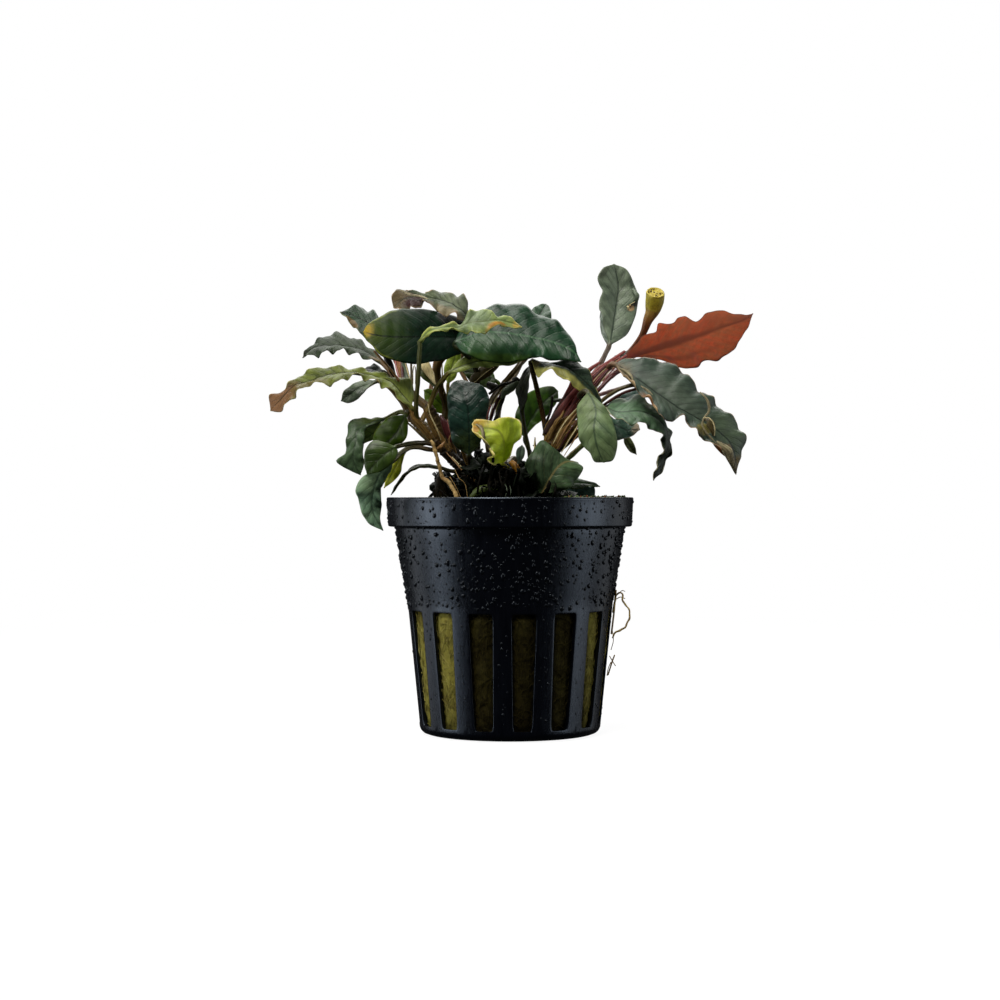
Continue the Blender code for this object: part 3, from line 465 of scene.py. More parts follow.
leaf("leaf_brown", "rhizome_centre", "brown",
     [(500, 477, 6), (498, 440, 6), (497, 417, 6.5), (502, 396, 6.5), (500, 386, 6.5)],
     [(496, 381, 6.5), (486, 377, 6.5), (475, 373, 6), (463, 372, 6)],
     [(492, 370), (482, 364.5), (470, 364)],
     [(493, 391), (482, 387), (470, 381)], (1.5, -1), radius=0.45)
leaf("leaf_backlit_left", "rhizome_fork", "olive",
     [(456, 456, 2), (457, 440, 8), (454, 424, 10.5)],
     [(451, 416, 10.5), (441, 404, 10.7), (431, 395, 10.8), (424, 390, 10.8)],
     [(450, 405), (440, 394), (430, 388.5)],
     [(443, 414), (432, 410), (425, 400)], (0.5, -0.5), small=True)
leaf("leaf_teal_centre", "rhizome_left", "dark",
     [(466, 478, -5), (470, 468, -9), (470, 461, -11)],
     [(469, 455, -12), (469, 436, -13.5), (468, 412, -14), (466, 396, -13.5), (463, 385, -11), (461, 380, -8)],
     [(458, 449), (451, 438), (448.5, 421), (447, 404), (448, 393), (452, 383)],
     [(479, 446), (484, 430), (487, 414), (489, 402), (488, 393), (480, 385)], (0.8, 0.8), radius=0.6)
leaf("leaf_lime_curled", "rhizome_centre", "lime",
     [(519, 477, 3), (517, 474, -5), (512, 471, -12)],
     [(502, 463, -17), (504, 450, -20), (503, 438, -21.5), (497, 430, -21.5), (485, 428, -20.5), (472, 424, -18.5)],
     [(509, 457), (515, 446), (519, 436), (522, 425), (516, 418), (500, 418.5), (485, 420), (476, 419.5)],
     [(490, 462), (491, 455), (488, 446), (484, 440), (479, 437), (474, 431)], (0, 0))
# Hanging group at the left
leaf("leaf_hanging_olive", "rhizome_left", "olive",
     [(408, 412, -8), (407, 412, -12)],
     [(406, 415, -14), (402, 422, -15), (396, 433, -16), (386, 443, -17), (373, 446, -17)],
     [(399, 415), (392, 416.5), (384, 420), (378, 427), (373, 437)],
     [(408, 425), (407, 436), (402, 443), (391, 447.5), (380, 449)], (1, 0))
leaf("leaf_hanging_teal", "rhizome_left", "dark",
     [(408, 413, -8), (400, 412, -4.5), (391, 416, -5)],
     [(385, 419, -6), (371, 423, -8), (358, 431, -10), (355, 445, -11), (353, 459, -11), (360.5, 475, -10)],
     [(375, 417), (362, 419.5), (349, 421), (347.5, 431), (346.5, 444), (344, 454), (337, 460.5), (346, 469)],
     [(378, 423.5), (366, 428.5), (364.5, 440), (363, 452), (364, 464)], (1, 0))
leaf("leaf_hanging_mid", "rhizome_left", "dark",
     [(436, 445, -9), (426, 443, -15), (414, 443, -19.5), (403, 445, -21)],
     [(396, 447, -21.5), (386, 453, -22), (377, 461, -22), (367, 474, -21.5)],
     [(387, 443), (374, 440), (366, 449), (364, 464)],
     [(398, 453), (392, 463), (380, 472)], (0.5, 0))
leaf("leaf_hanging_yellow", "rhizome_left", "lime",
     [(432, 441, -9), (424, 443, -9.8), (414, 446, -10.3)],
     [(406, 449, -10.5), (400, 459, -10.5), (394, 470, -10.5), (389, 480, -10.5), (384, 488, -10.5)],
     [(398, 455), (391, 464), (386.5, 475)],
     [(404, 457), (402, 465), (401, 472), (394, 481)], (0.3, 0))
leaf("leaf_over_rim", "rhizome_left", "grey",
     [(444, 450, -8), (430, 449.5, -12), (414, 447, -15), (402, 452, -17)],
     [(393, 461, -18), (382, 471, -17.3), (376, 482, -15.5), (372, 498, -13.5), (373, 512, -12.5), (383, 530.5, -12)],
     [(375, 468.5), (361, 478.5), (356, 488), (357.5, 498), (361, 510), (369, 524)],
     [(391, 471), (386, 479), (382, 487), (381, 497), (382, 507), (380, 518)], (0.5, 0.5))
leaf("leaf_thin_arch", "rhizome_left", "dark",
     [(462, 472, -5.5), (449, 470.5, -8)],
     [(440, 467.5, -9), (424, 465.5, -9.5), (411, 469.5, -9.5), (401, 480, -8), (391, 495, -5)],
     None, None, radius=0.45, width=1.0, small=True, stations=[0.0, 0.25, 0.5, 0.75, 1.0])
# Middle group
leaf("leaf_narrow_dark", "rhizome_centre", "dark",
     [(531, 478, 3.5), (529.5, 455, -2), (524.5, 430, -3.5)],
     [(522, 412, -4), (522, 400, -4), (522, 390, -4), (525, 376, -4), (530, 365, -4)],
     [(518, 402), (516.5, 390), (520, 377)],
     [(526.5, 402), (528, 390), (530.5, 377)], (3, -3), small=True)
leaf("leaf_arched_dark", "rhizome_right", "dark",
     [(547, 453, -6.5), (546, 436, -5), (542, 412, -6), (536, 386, -8.5), (532, 369, -10)],
     [(532, 361, -10), (545, 363, -12), (558, 365, -13), (572, 371, -14), (584, 381, -14.5),
      (594, 392, -14.5), (603, 406, -14.5)],
     [(541, 362.5), (551, 363.5), (560, 361), (567, 358), (577, 361), (586, 368), (592, 377), (595, 388), (601, 398)],
     [(537, 376), (544, 373), (552, 371), (561, 376), (569, 383), (578, 389), (588, 396), (598, 403)], (3, -2), radius=0.58)
leaf("leaf_backlit_mid", "rhizome_centre", "olive",
     [(534, 478, 5), (531, 457, 5.5), (527.5, 446, 5.5)],
     [(525, 438, 5.5), (528, 425, 6), (536, 411, 6.5), (546, 400, 7), (558, 391, 7.5)],
     [(516, 428), (516, 412), (524, 397), (538, 388), (552, 386)],
     [(531, 430), (541, 421), (552, 410), (558, 399)], (0.5, -0.5))
leaf("leaf_grey_low", "rhizome_centre", "grey",
     [(514, 476, 4), (516, 470, -2)],
     [(519, 463, -5), (520, 454, -6), (522, 445, -6)],
     [(516, 456), (517, 449)],
     [(524, 457), (525, 449)], (0, 0), small=True, radius=0.4)
leaf("leaf_low_right", "rhizome_centre", "dark",
     [(552, 484, 2), (548, 492, -6), (544, 496, -12)],
     [(541, 494, -15), (549, 480, -17), (557, 468, -17), (566, 462, -16), (578, 462.5, -14)],
     [(530, 481), (525, 466), (531, 453), (542, 440), (553, 449), (565, 459)],
     [(556, 492), (568, 489), (577, 480), (582, 470)], (1, 0))
leaf("leaf_low_tip", "rhizome_centre", "dark",
     [(557, 487, 1), (562, 488, -5)],
     [(567, 485, -9), (576, 483.5, -10), (588, 484, -10.5), (600, 486.5, -10.5)],
     [(575, 479.5), (590, 481)],
     [(572, 489), (588, 487.5)], (1.5, -1.5), small=True)
# Right group
leaf("leaf_upright", "rhizome_right", "grey",
     [(598, 376, -6), (600.5, 365, -4.5), (606, 353, -3.5)],
     [(609.5, 345, -3), (613, 325, -1), (616, 305, 1), (618, 286, 2), (614, 264, 2)],
     [(607.5, 338), (604, 326), (599.5, 304), (601.5, 289), (597.5, 278), (603, 268)],
     [(618, 341), (628, 333), (634.5, 319), (637, 309), (638, 296), (633, 281), (626, 269)], (-2, 0))
leaf("leaf_red", "rhizome_right", "red",
     [(602, 370, -6), (611, 367, -5), (618, 363, -2.5)],
     [(623, 359.5, -1), (636, 354.5, 1), (655, 349, 3), (677, 342, 5), (698, 335, 7), (720, 327, 8),
      (742, 320, 9), (753, 313.5, 10)],
     [(630, 350), (641, 338), (654, 331), (660, 324), (669, 324.5), (677, 317.5), (685, 316.5), (694, 320.5),
      (702, 318), (709, 312), (721, 310), (730, 313), (741, 314), (747, 315)],
     [(637, 357.5), (651, 358.5), (666, 362), (679, 368.3), (694, 367.5), (705, 361.5), (716, 360.5),
      (729, 354), (738, 343.5), (748, 327)], (-5, 5), radius=0.6)
leaf("leaf_drooping", "rhizome_right", "grey",
     [(601, 371, -6), (608, 367, -9)],
     [(616, 365, -11), (626, 371, -13), (637, 379, -15), (655, 392, -17), (679, 408.5, -19),
      (698, 419, -19), (716, 430, -19), (729, 442, -18.5), (734.5, 456, -18), (736, 474.5, -17.5)],
     [(622, 359.5), (632, 358), (649, 358.7), (664, 361), (681, 369), (687, 376), (696, 384),
      (704, 394.5), (716, 401), (724, 411), (735, 418), (740, 428), (746, 440), (741, 455), (738, 466)],
     [(619, 371), (629, 381), (637, 391), (650, 402), (656, 411), (662, 418), (671, 420), (681, 417.5),
      (689, 423), (696, 433), (706, 439), (713, 447), (722, 454.5), (730, 464)], (5, -3), radius=0.6)
leaf("leaf_right_hanging", "rhizome_right", "sage",
     [(584, 395, -6.5), (592, 400, -10), (600, 405, -12)],
     [(606, 409, -13), (618, 412.5, -14), (633, 411.5, -14.5), (646, 413, -14.5), (658, 420, -14.5),
      (666, 430, -14), (667, 446, -13), (662.5, 460, -12), (657.5, 471, -12), (653.5, 480.5, -12)],
     [(612, 402), (620, 398.5), (630, 397), (641, 396.5), (650, 402), (657, 409.5), (665, 419), (669.5, 431),
      (670.5, 446), (666, 457), (661, 470)],
     [(611, 415.5), (622, 420), (630, 424.5), (637, 424), (645, 424.5), (652, 428.5), (658, 433), (662, 438),
      (662.5, 447), (658.5, 460), (653.5, 472)], (4, -3))
leaf("leaf_teal_behind", "rhizome_right", "dark",
     [(587, 391, -6.5), (595, 399, -4), (601, 405, -3)],
     [(607, 407, -2.5), (618, 401, -2), (630, 396, -1), (644, 391, 0)],
     [(612, 400), (623, 394), (635, 389)],
     [(614, 407), (627, 403), (639, 398)], (1.5, -1.5), small=True)
leaf("leaf_torn", "rhizome_right", "dark",
     [(580, 402, -7), (590, 410, -6), (598, 415, -6)],
     [(604, 417, -6), (615, 425, -6), (627, 430, -6), (640, 429.5, -6)],
     [(613, 417), (625, 421), (637, 424)],
     [(609, 430), (618, 440.5), (630, 437)], (1, -1), small=True)
leaf("leaf_small_hanging", "rhizome_right", "olive",
     [(572, 413, -7), (585, 419, -3), (604, 425, -1), (618, 430, -0.5)],
     [(624.5, 434, -0.5), (629, 445, -0.5), (636.5, 454.5, -0.5)],
     [(631, 438.5), (635.5, 447.5)],
     [(624, 442.5), (629.5, 451.5)], (0, 0), small=True, radius=0.35)
leaf("leaf_sage_front", "rhizome_right", "sage",
     [(581, 399, -6.5), (579, 395, -13), (583, 391, -17)],
     [(588, 393, -19), (593, 401, -20), (596, 412, -21), (594, 428, -22), (597, 446, -22), (604, 462.5, -21)],
     [(583, 398), (577.5, 406), (576.5, 415), (578.5, 432), (581.5, 445), (590, 453), (595, 462)],
     [(594, 396), (603, 405), (611, 416), (615.5, 431), (617.5, 445), (613.5, 459.5)], (1.5, 0))
leaf("leaf_tip_right", "rhizome_right", "grey",
     [(602, 370, -6), (606, 367, -1)],
     [(611, 364.5, 1), (617.5, 358.5, 2), (627, 351, 2.5)],
     [(613, 359), (620, 352.5)],
     [(618.5, 363), (625, 356)], (0.5, -0.5), small=True, radius=0.4)
# At the back, arching away from the front
leaf("leaf_back_1", "rhizome_back", "dark",
     [(494, 447, 22), (478, 405, 25), (456, 362, 27)],
     [(447, 350, 28), (425, 338, 33), (400, 334, 38), (374, 338, 42)], width=5.4, faces=(-0.15, -0.35, 1))
leaf("leaf_back_2", "rhizome_back", "grey",
     [(496, 450, 21), (501, 402, 24), (518, 370, 27)],
     [(525, 355, 28), (541, 342, 33), (556, 341, 39), (570, 350, 44)], width=5.2, faces=(0.15, -0.3, 1))
leaf("leaf_back_3", "rhizome_back", "dark",
     [(501, 458, 20), (499, 420, 28), (491, 372, 30)],
     [(488, 354, 31), (486, 341, 34), (484, 336, 39), (484, 343, 45)], width=5.0, faces=(0, 0.3, 1))
leaf("leaf_back_4", "rhizome_back", "olive",
     [(506, 475, 17), (484, 460, 21), (474, 462, 25)],
     [(468, 468, 28), (462, 480, 32), (458, 500, 35), (456, 528, 36)], width=4.8, faces=(-0.5, 0.7, 0.6))
leaf("leaf_back_5", "rhizome_centre", "dark",
     [(553, 484, 2), (562, 474, 10), (566, 472, 18)],
     [(568, 475, 24), (573, 483, 30), (580, 500, 34), (584, 528, 35)], width=4.8, faces=(0.5, 0.7, 0.6))
leaf("leaf_back_6", "rhizome_back", "grey",
     [(503, 470, 18), (512, 458, 24), (516, 460, 29)],
     [(518, 466, 32), (520, 478, 36), (522, 498, 39), (524, 526, 39)], width=4.9, faces=(0, 0.8, 0.6))
leaf("leaf_back_7", "rhizome_right", "dark",
     [(582, 398, -6.7), (591, 397, 3), (614, 390, 12)],
     [(634, 385, 17), (660, 390, 23), (684, 402, 27), (706, 418, 29)], width=5.0, faces=(0.3, 0.35, 1))
leaf("leaf_back_8", "rhizome_fork", "olive",
     [(441, 430, -1), (428, 424, 7), (409, 420, 14)],
     [(400, 421, 18), (384, 426, 24), (368, 436, 28), (355, 449, 30)], width=4.6, faces=(-0.3, 0.35, 1))
leaf("leaf_back_9", "rhizome_right", "grey",
     [(591, 385, -6.5), (592, 377, 1), (602, 360, 8)],
     [(609, 345, 11), (614, 320, 15), (619, 298, 20), (620, 285, 27)], width=3.4, faces=(0, -1, 0.5))
leaf("leaf_back_10", "rhizome_right", "dark",
     [(594, 381, -6), (605, 378, 6), (619, 368, 14)],
     [(636, 355, 18), (660, 347, 24), (685, 341, 31), (708, 339, 36)], width=4.8, faces=(0.2, 0.2, 1))
leaf("leaf_back_11", "rhizome_fork", "dark",
     [(436, 421, -2), (428, 414, 11), (431, 388, 18), (437, 353, 19)],
     [(438, 342, 20), (425, 327, 24), (408, 318, 29), (392, 320, 34)], width=4.6, faces=(-0.2, -0.2, 1))


def blade(spec, t):
    """Midrib and edge points at shares t along the blade."""
    mid_sheet = np.asarray(spec["mid"], float)
    mid = read(curve_through(place(mid_sheet)), t)
    if spec["left"] is None:
        tangent = unit(np.gradient(read(curve_through(place(mid_sheet)), np.linspace(0, 1, 60)), axis=0))
        tangent = read(tangent, t)
        side = unit(np.cross(tangent, np.asarray(spec["faces"], float)))
        half = spec["width"] * MM * np.clip(np.sin(math.pi * np.clip(t, 0, 1) ** 0.8), 0, 1) ** 0.75
        drop = 0.12 * half[:, None] * np.cross(side, tangent)
        return mid, mid - side * half[:, None] + drop, mid + side * half[:, None] + drop
    depths = read(curve_through(mid_sheet), t)[:, 2]
    flat_mid = read(curve_through(mid_sheet[:, :2]), t)
    edges = []
    for line, back in ((spec["left"], spec["back"][0]), (spec["right"], spec["back"][1])):
        line = np.vstack([mid_sheet[:1, :2], line, mid_sheet[-1:, :2]])
        flat = read(curve_through(line), t)
        gap = np.linalg.norm(flat - flat_mid, axis=1)
        dense = np.linspace(0, 1, 80)
        widest = np.linalg.norm(
            read(curve_through(line), dense) - read(curve_through(mid_sheet[:, :2]), dense), axis=1
        ).max()
        edges.append(place(np.column_stack([flat, depths + back * gap / widest])))
    return mid, edges[0], edges[1]


# Fine leaves: a rippled blade with a rib and a rolled margin where one is given, on its stalk

ACROSS = 9


def style(top, under=None, top2=None, rib=None, edge=None, edge_mm=0.22, ripple=0.35, wave=5.2, front="top",
          rough=0.42, share=0.12, stalk=(70, 62, 40), foot=None, patches=(), rolls=(), puff=0.07, vein=0.35,
          spacing=2.0, thick=0.34, specks=0.25, tone=(1.0, 1.0, 1.0), gloss=0.40, deep=0.45, speckle_sheen=0.25, seed=0,
          glow=(120, 170, 30)):
    return dict(top=top, under=under or tuple(0.85 * c + 20 for c in top), top2=top2 or tuple(c * 0.72 for c in top),
                rib=rib or tuple(c * 0.55 for c in top), edge=edge or tuple(c * 0.6 + 52 for c in top),
                edge_mm=edge_mm, ripple=ripple, wave=wave, front=front, rough=rough, share=share, stalk=stalk,
                foot=foot or stalk, patches=patches, rolls=rolls, puff=puff, vein=vein, spacing=spacing,
                thick=thick, specks=specks, tone=tone, gloss=gloss, deep=deep, speckle_sheen=speckle_sheen, seed=seed,
                glow=glow)


def fine_leaf(name, spec, look):
    rng = np.random.default_rng(sum(ord(c) * (i + 3) for i, c in enumerate(name)) + look["seed"])
    r = spec["radius"]
    mid_sheet = np.asarray(spec["mid"], float)
    length = length_of(curve_through(place(mid_sheet)))
    rows = int(np.clip(length / (0.38 * MM), 20, 88))
    t = np.linspace(0, 1, rows + 1)
    mid, left, right = blade(spec, t)
    tangent = unit(np.gradient(mid, axis=0))
    along = t * length / MM

    chord = left - right
    chord[0], chord[-1] = chord[1], chord[-2]
    chord = unit(chord)
    pad = np.vstack([chord[:1]] * 4 + [chord] + [chord[-1:]] * 4)
    chord = unit(sum(pad[k : k + len(chord)] for k in range(9)))
    normal = unit(np.cross(tangent, chord))
    chord = unit(np.cross(normal, tangent))
    seen = 1.0 if spec["left"] is None or normal[:, 1].mean() < 0 else -1.0
    top_sign = seen if look["front"] == "top" else -seen
    up = normal * top_sign

    u = np.linspace(0, 1, ACROSS + 1)
    u = 0.55 * u + 0.45 * np.sin(u * math.pi / 2)
    s = np.concatenate([u[::-1], -u[1:]])
    count = len(s)

    fade = 1 - np.clip(along * MM / max(3.0 * MM, 0.1 * length), 0, 1)
    fade = fade**1.5
    tip = smooth(along, length / MM - 1.0, length / MM)
    open_out = np.sin(math.pi * np.clip(t, 0, 1)) ** 0.6
    grid = np.zeros((rows + 1, count, 3))
    across_mm = np.zeros((rows + 1, count))
    half_mm = np.zeros((rows + 1, count))
    phases = rng.uniform(0, TAU, 8)
    crinkle = [(rng.uniform(0.9, 3.2), rng.normal(0, 1.3), rng.uniform(0, TAU), rng.uniform(0.3, 1.0)) for _ in range(9)]
    for edge, sign, k in ((left, 1, 0), (right, -1, 1)):
        arm = edge - mid
        # the arm keeps at least the stalk's radius at the base and a thin point at the tip
        out = chord * sign
        least = r * fade + 0.12 * MM * (1 - fade)
        reach = np.einsum("ij,ij->i", arm, out)
        arm = arm + out * np.maximum(0, least - reach)[:, None]
        width = np.linalg.norm(arm, axis=1)
        way = arm / width[:, None]
        lift = unit(up - way * np.einsum("ij,ij->i", up, way)[:, None])
        roll_w, roll_r, roll_k, roll_s = np.zeros(rows + 1), np.full(rows + 1, MM), np.zeros(rows + 1), 1.0
        for side, t0, t1, w_mm, r_mm, way_up in look["rolls"]:
            if side == sign:
                k_t = smooth(t, t0, t0 + 0.28 * (t1 - t0)) * (1 - smooth(t, t1 - 0.28 * (t1 - t0), t1))
                stronger = k_t > roll_k
                roll_w = np.where(stronger, w_mm * MM * (1 + 0.18 * wander(along, rng, 4, 0.7)), roll_w)
                roll_r = np.where(stronger, r_mm * MM, roll_r)
                roll_k = np.maximum(roll_k, k_t)
                roll_s = way_up
        sheet = width + (roll_w - roll_r) * roll_k
        flat = sheet - roll_w * roll_k
        bend_a = 1.35 * look["ripple"] * MM * open_out * (1 + 0.40 * wander(along, rng, 3, 0.35))
        crest = TAU * along / look["wave"] + phases[k] + 0.8 * wander(along, rng, 3, 0.25)
        small = TAU * along / (look["wave"] * 0.47) + phases[k + 2]
        for j in range(count):
            if s[j] * sign < 0 or (s[j] == 0 and sign < 0):
                continue
            q = abs(s[j])
            x = q * sheet
            over = np.maximum(0, x - flat) / roll_r * (roll_k > 1e-3)
            plain = np.where(roll_k > 1e-3, np.minimum(x, flat), x)
            rise = look["puff"] * width * 4 * q * (1 - q) * open_out * (1 - fade)
            rise += bend_a * (q**2.2 * np.sin(crest - 0.9 * q) + 0.3 * q**3 * np.sin(small))
            rise -= 0.10 * MM * np.exp(-((q * width / (0.35 * MM)) ** 2)) * open_out
            pleat = 0.035 * MM * np.sin(TAU * (along - 0.85 * q * width / MM) / look["spacing"]) * open_out * q
            rise += pleat * (1 - q)
            x_mm = sign * q * width / MM
            for fa, fb, ph, amp in crinkle:
                rise += 0.036 * MM * amp * open_out * (1 - fade) * np.sin(fa * along + fb * x_mm + ph)
            grid[:, j] = (
                mid
                + way * (plain + roll_r * np.sin(over))[:, None]
                + lift * (rise * (1 - fade) + roll_s * roll_r * (1 - np.cos(over)))[:, None]
            )
            across_mm[:, j] = sign * x / MM
            half_mm[:, j] = sheet / MM

    # surface normals of the sheet, then its thickness
    da = np.gradient(grid, axis=0)
    db = np.gradient(grid, axis=1)
    face = np.cross(da, db)
    weak = np.linalg.norm(face, axis=2) < 1e-16
    face[weak] = np.broadcast_to(up[:, None], face.shape)[weak]
    face = unit(face)
    face *= np.sign(np.einsum("ijk,ijk->ij", face, np.broadcast_to(up[:, None], face.shape)))[..., None] + (
        np.einsum("ijk,ijk->ij", face, np.broadcast_to(up[:, None], face.shape)) == 0
    )[..., None]
    # a rolled margin turns over, so its normals follow from the middle outwards
    mid_j = ACROSS
    for step in (1, -1):
        j = mid_j + step
        while 0 <= j < count:
            turned = np.einsum("ij,ij->i", face[:, j], face[:, j - step]) < 0
            face[turned, j] *= -1
            j += step
    thin = look["thick"] * MM / 2
    q = np.abs(s)[None]
    body = np.sqrt(np.clip(1 - q**4, 0, 1)) * thin
    x = np.abs(across_mm) * MM
    ridge = r * 0.9 * (1 - t[:, None]) ** 1.3 * np.exp(-((x / (0.8 * r)) ** 2))
    round_h = np.sqrt(np.clip(1 - q**2, 0, 1)) * r
    f = fade[:, None]
    top_h = body * (1 - f) + round_h * f
    low_h = (body + ridge * (q < 0.999)) * (1 - f) + round_h * f
    shrink = (1 - 0.6 * tip)[:, None]
    upper = grid + face * (top_h * shrink)[..., None]
    lower = grid - face * (low_h * shrink)[..., None]
    inner = np.arange(count - 2, 0, -1)
    rings = np.concatenate([upper, lower[:, inner]], axis=1)
    ring_s = np.concatenate([s, s[inner]])
    ring_side = np.concatenate([np.ones(count), -np.ones(count - 2)])
    ring_side[0] = ring_side[count - 1] = 0
    ring_across = np.concatenate([across_mm, across_mm[:, inner]], axis=1)
    ring_half = np.concatenate([half_mm, half_mm[:, inner]], axis=1)
    n = len(ring_s)

    # stalk, whose first part lies inside its rhizome
    stem_points = np.vstack([place(spec["stalk"]), mid[:1], read(mid, 0.25)])
    whole = curve_through(stem_points, 400)
    end = int(np.argmin(np.linalg.norm(whole - mid[0], axis=1)))
    whole = whole[: max(end, 8)]
    run = length_of(whole)
    steps = int(np.clip(run / (0.42 * MM), 5, 90))
    stem = read(whole, np.linspace(0, 1, steps + 1))[:-1]
    path = np.vstack([stem, mid[:2]])
    tang = unit(np.gradient(path, axis=0))
    side = chord[0]
    stem_rings = []
    stem_run = np.linspace(0, run, steps + 1)[:-1]
    for i in range(steps - 1, -1, -1):
        side = unit(side - tang[i] * np.dot(side, tang[i]))
        nn = np.cross(tang[i], side) * top_sign
        rr = r * (1 + 0.55 * math.exp(-stem_run[i] / (1.6 * MM)) + 0.04 * math.sin(stem_run[i] / MM * 2.1 + phases[5]))
        height = np.sqrt(np.clip(1 - ring_s**2, 0, 1)) * np.where(ring_side > 0, 0.86, -1.0) * (ring_side != 0)
        groove = 0.25 * np.exp(-((ring_s / 0.3) ** 2)) * (ring_side > 0)
        stem_rings.append(stem[i] + rr * (ring_s[:, None] * side + (height - groove)[:, None] * nn))
    stem_rings = np.array(stem_rings[::-1])
    rings = np.concatenate([stem_rings, rings], axis=0)

    flat_rings = rings.reshape(-1, 3)
    total = len(rings)
    ends = np.vstack([stem[:1] - tang[:1] * r * 0.3, mid[-1:] + tangent[-1:] * 0.05 * MM])
    quads, tris = ring_faces(total, n)
    points = np.vstack([flat_rings, ends])
    grow_t = np.concatenate([-(run - stem_run) / (10 * MM), t])
    grow = np.zeros((total, n, 3))
    grow[..., 0] = grow_t[:, None]
    grow[..., 1] = ring_s[None]
    grow[..., 2] = ring_side[None]
    span = np.zeros((total, n, 3))
    span[..., 0] = np.concatenate([-(run - stem_run) / MM, along])[:, None]
    span[steps:, :, 1] = ring_across
    span[:steps, :, 1] = ring_s[None] * r / MM
    span[steps:, :, 2] = ring_half
    span[:steps, :, 2] = r / MM
    grow = np.vstack([grow.reshape(-1, 3), grow[0, 0], grow[-1, 0]])
    span = np.vstack([span.reshape(-1, 3), span[0, 0], span[-1, 0]])
    # faces look outwards
    corners = np.vstack([quads[:, [0, 1, 2]], quads[:, [0, 2, 3]], tris])
    a, b, c = (points[corners[:, k]] - points.mean(0) for k in range(3))
    if np.einsum("ij,ij->i", a, np.cross(b, c)).sum() < 0:
        quads, tris = quads[:, ::-1], tris[:, ::-1]
    return make_mesh(name, points, quads, tris, {"grow": grow, "span": span})


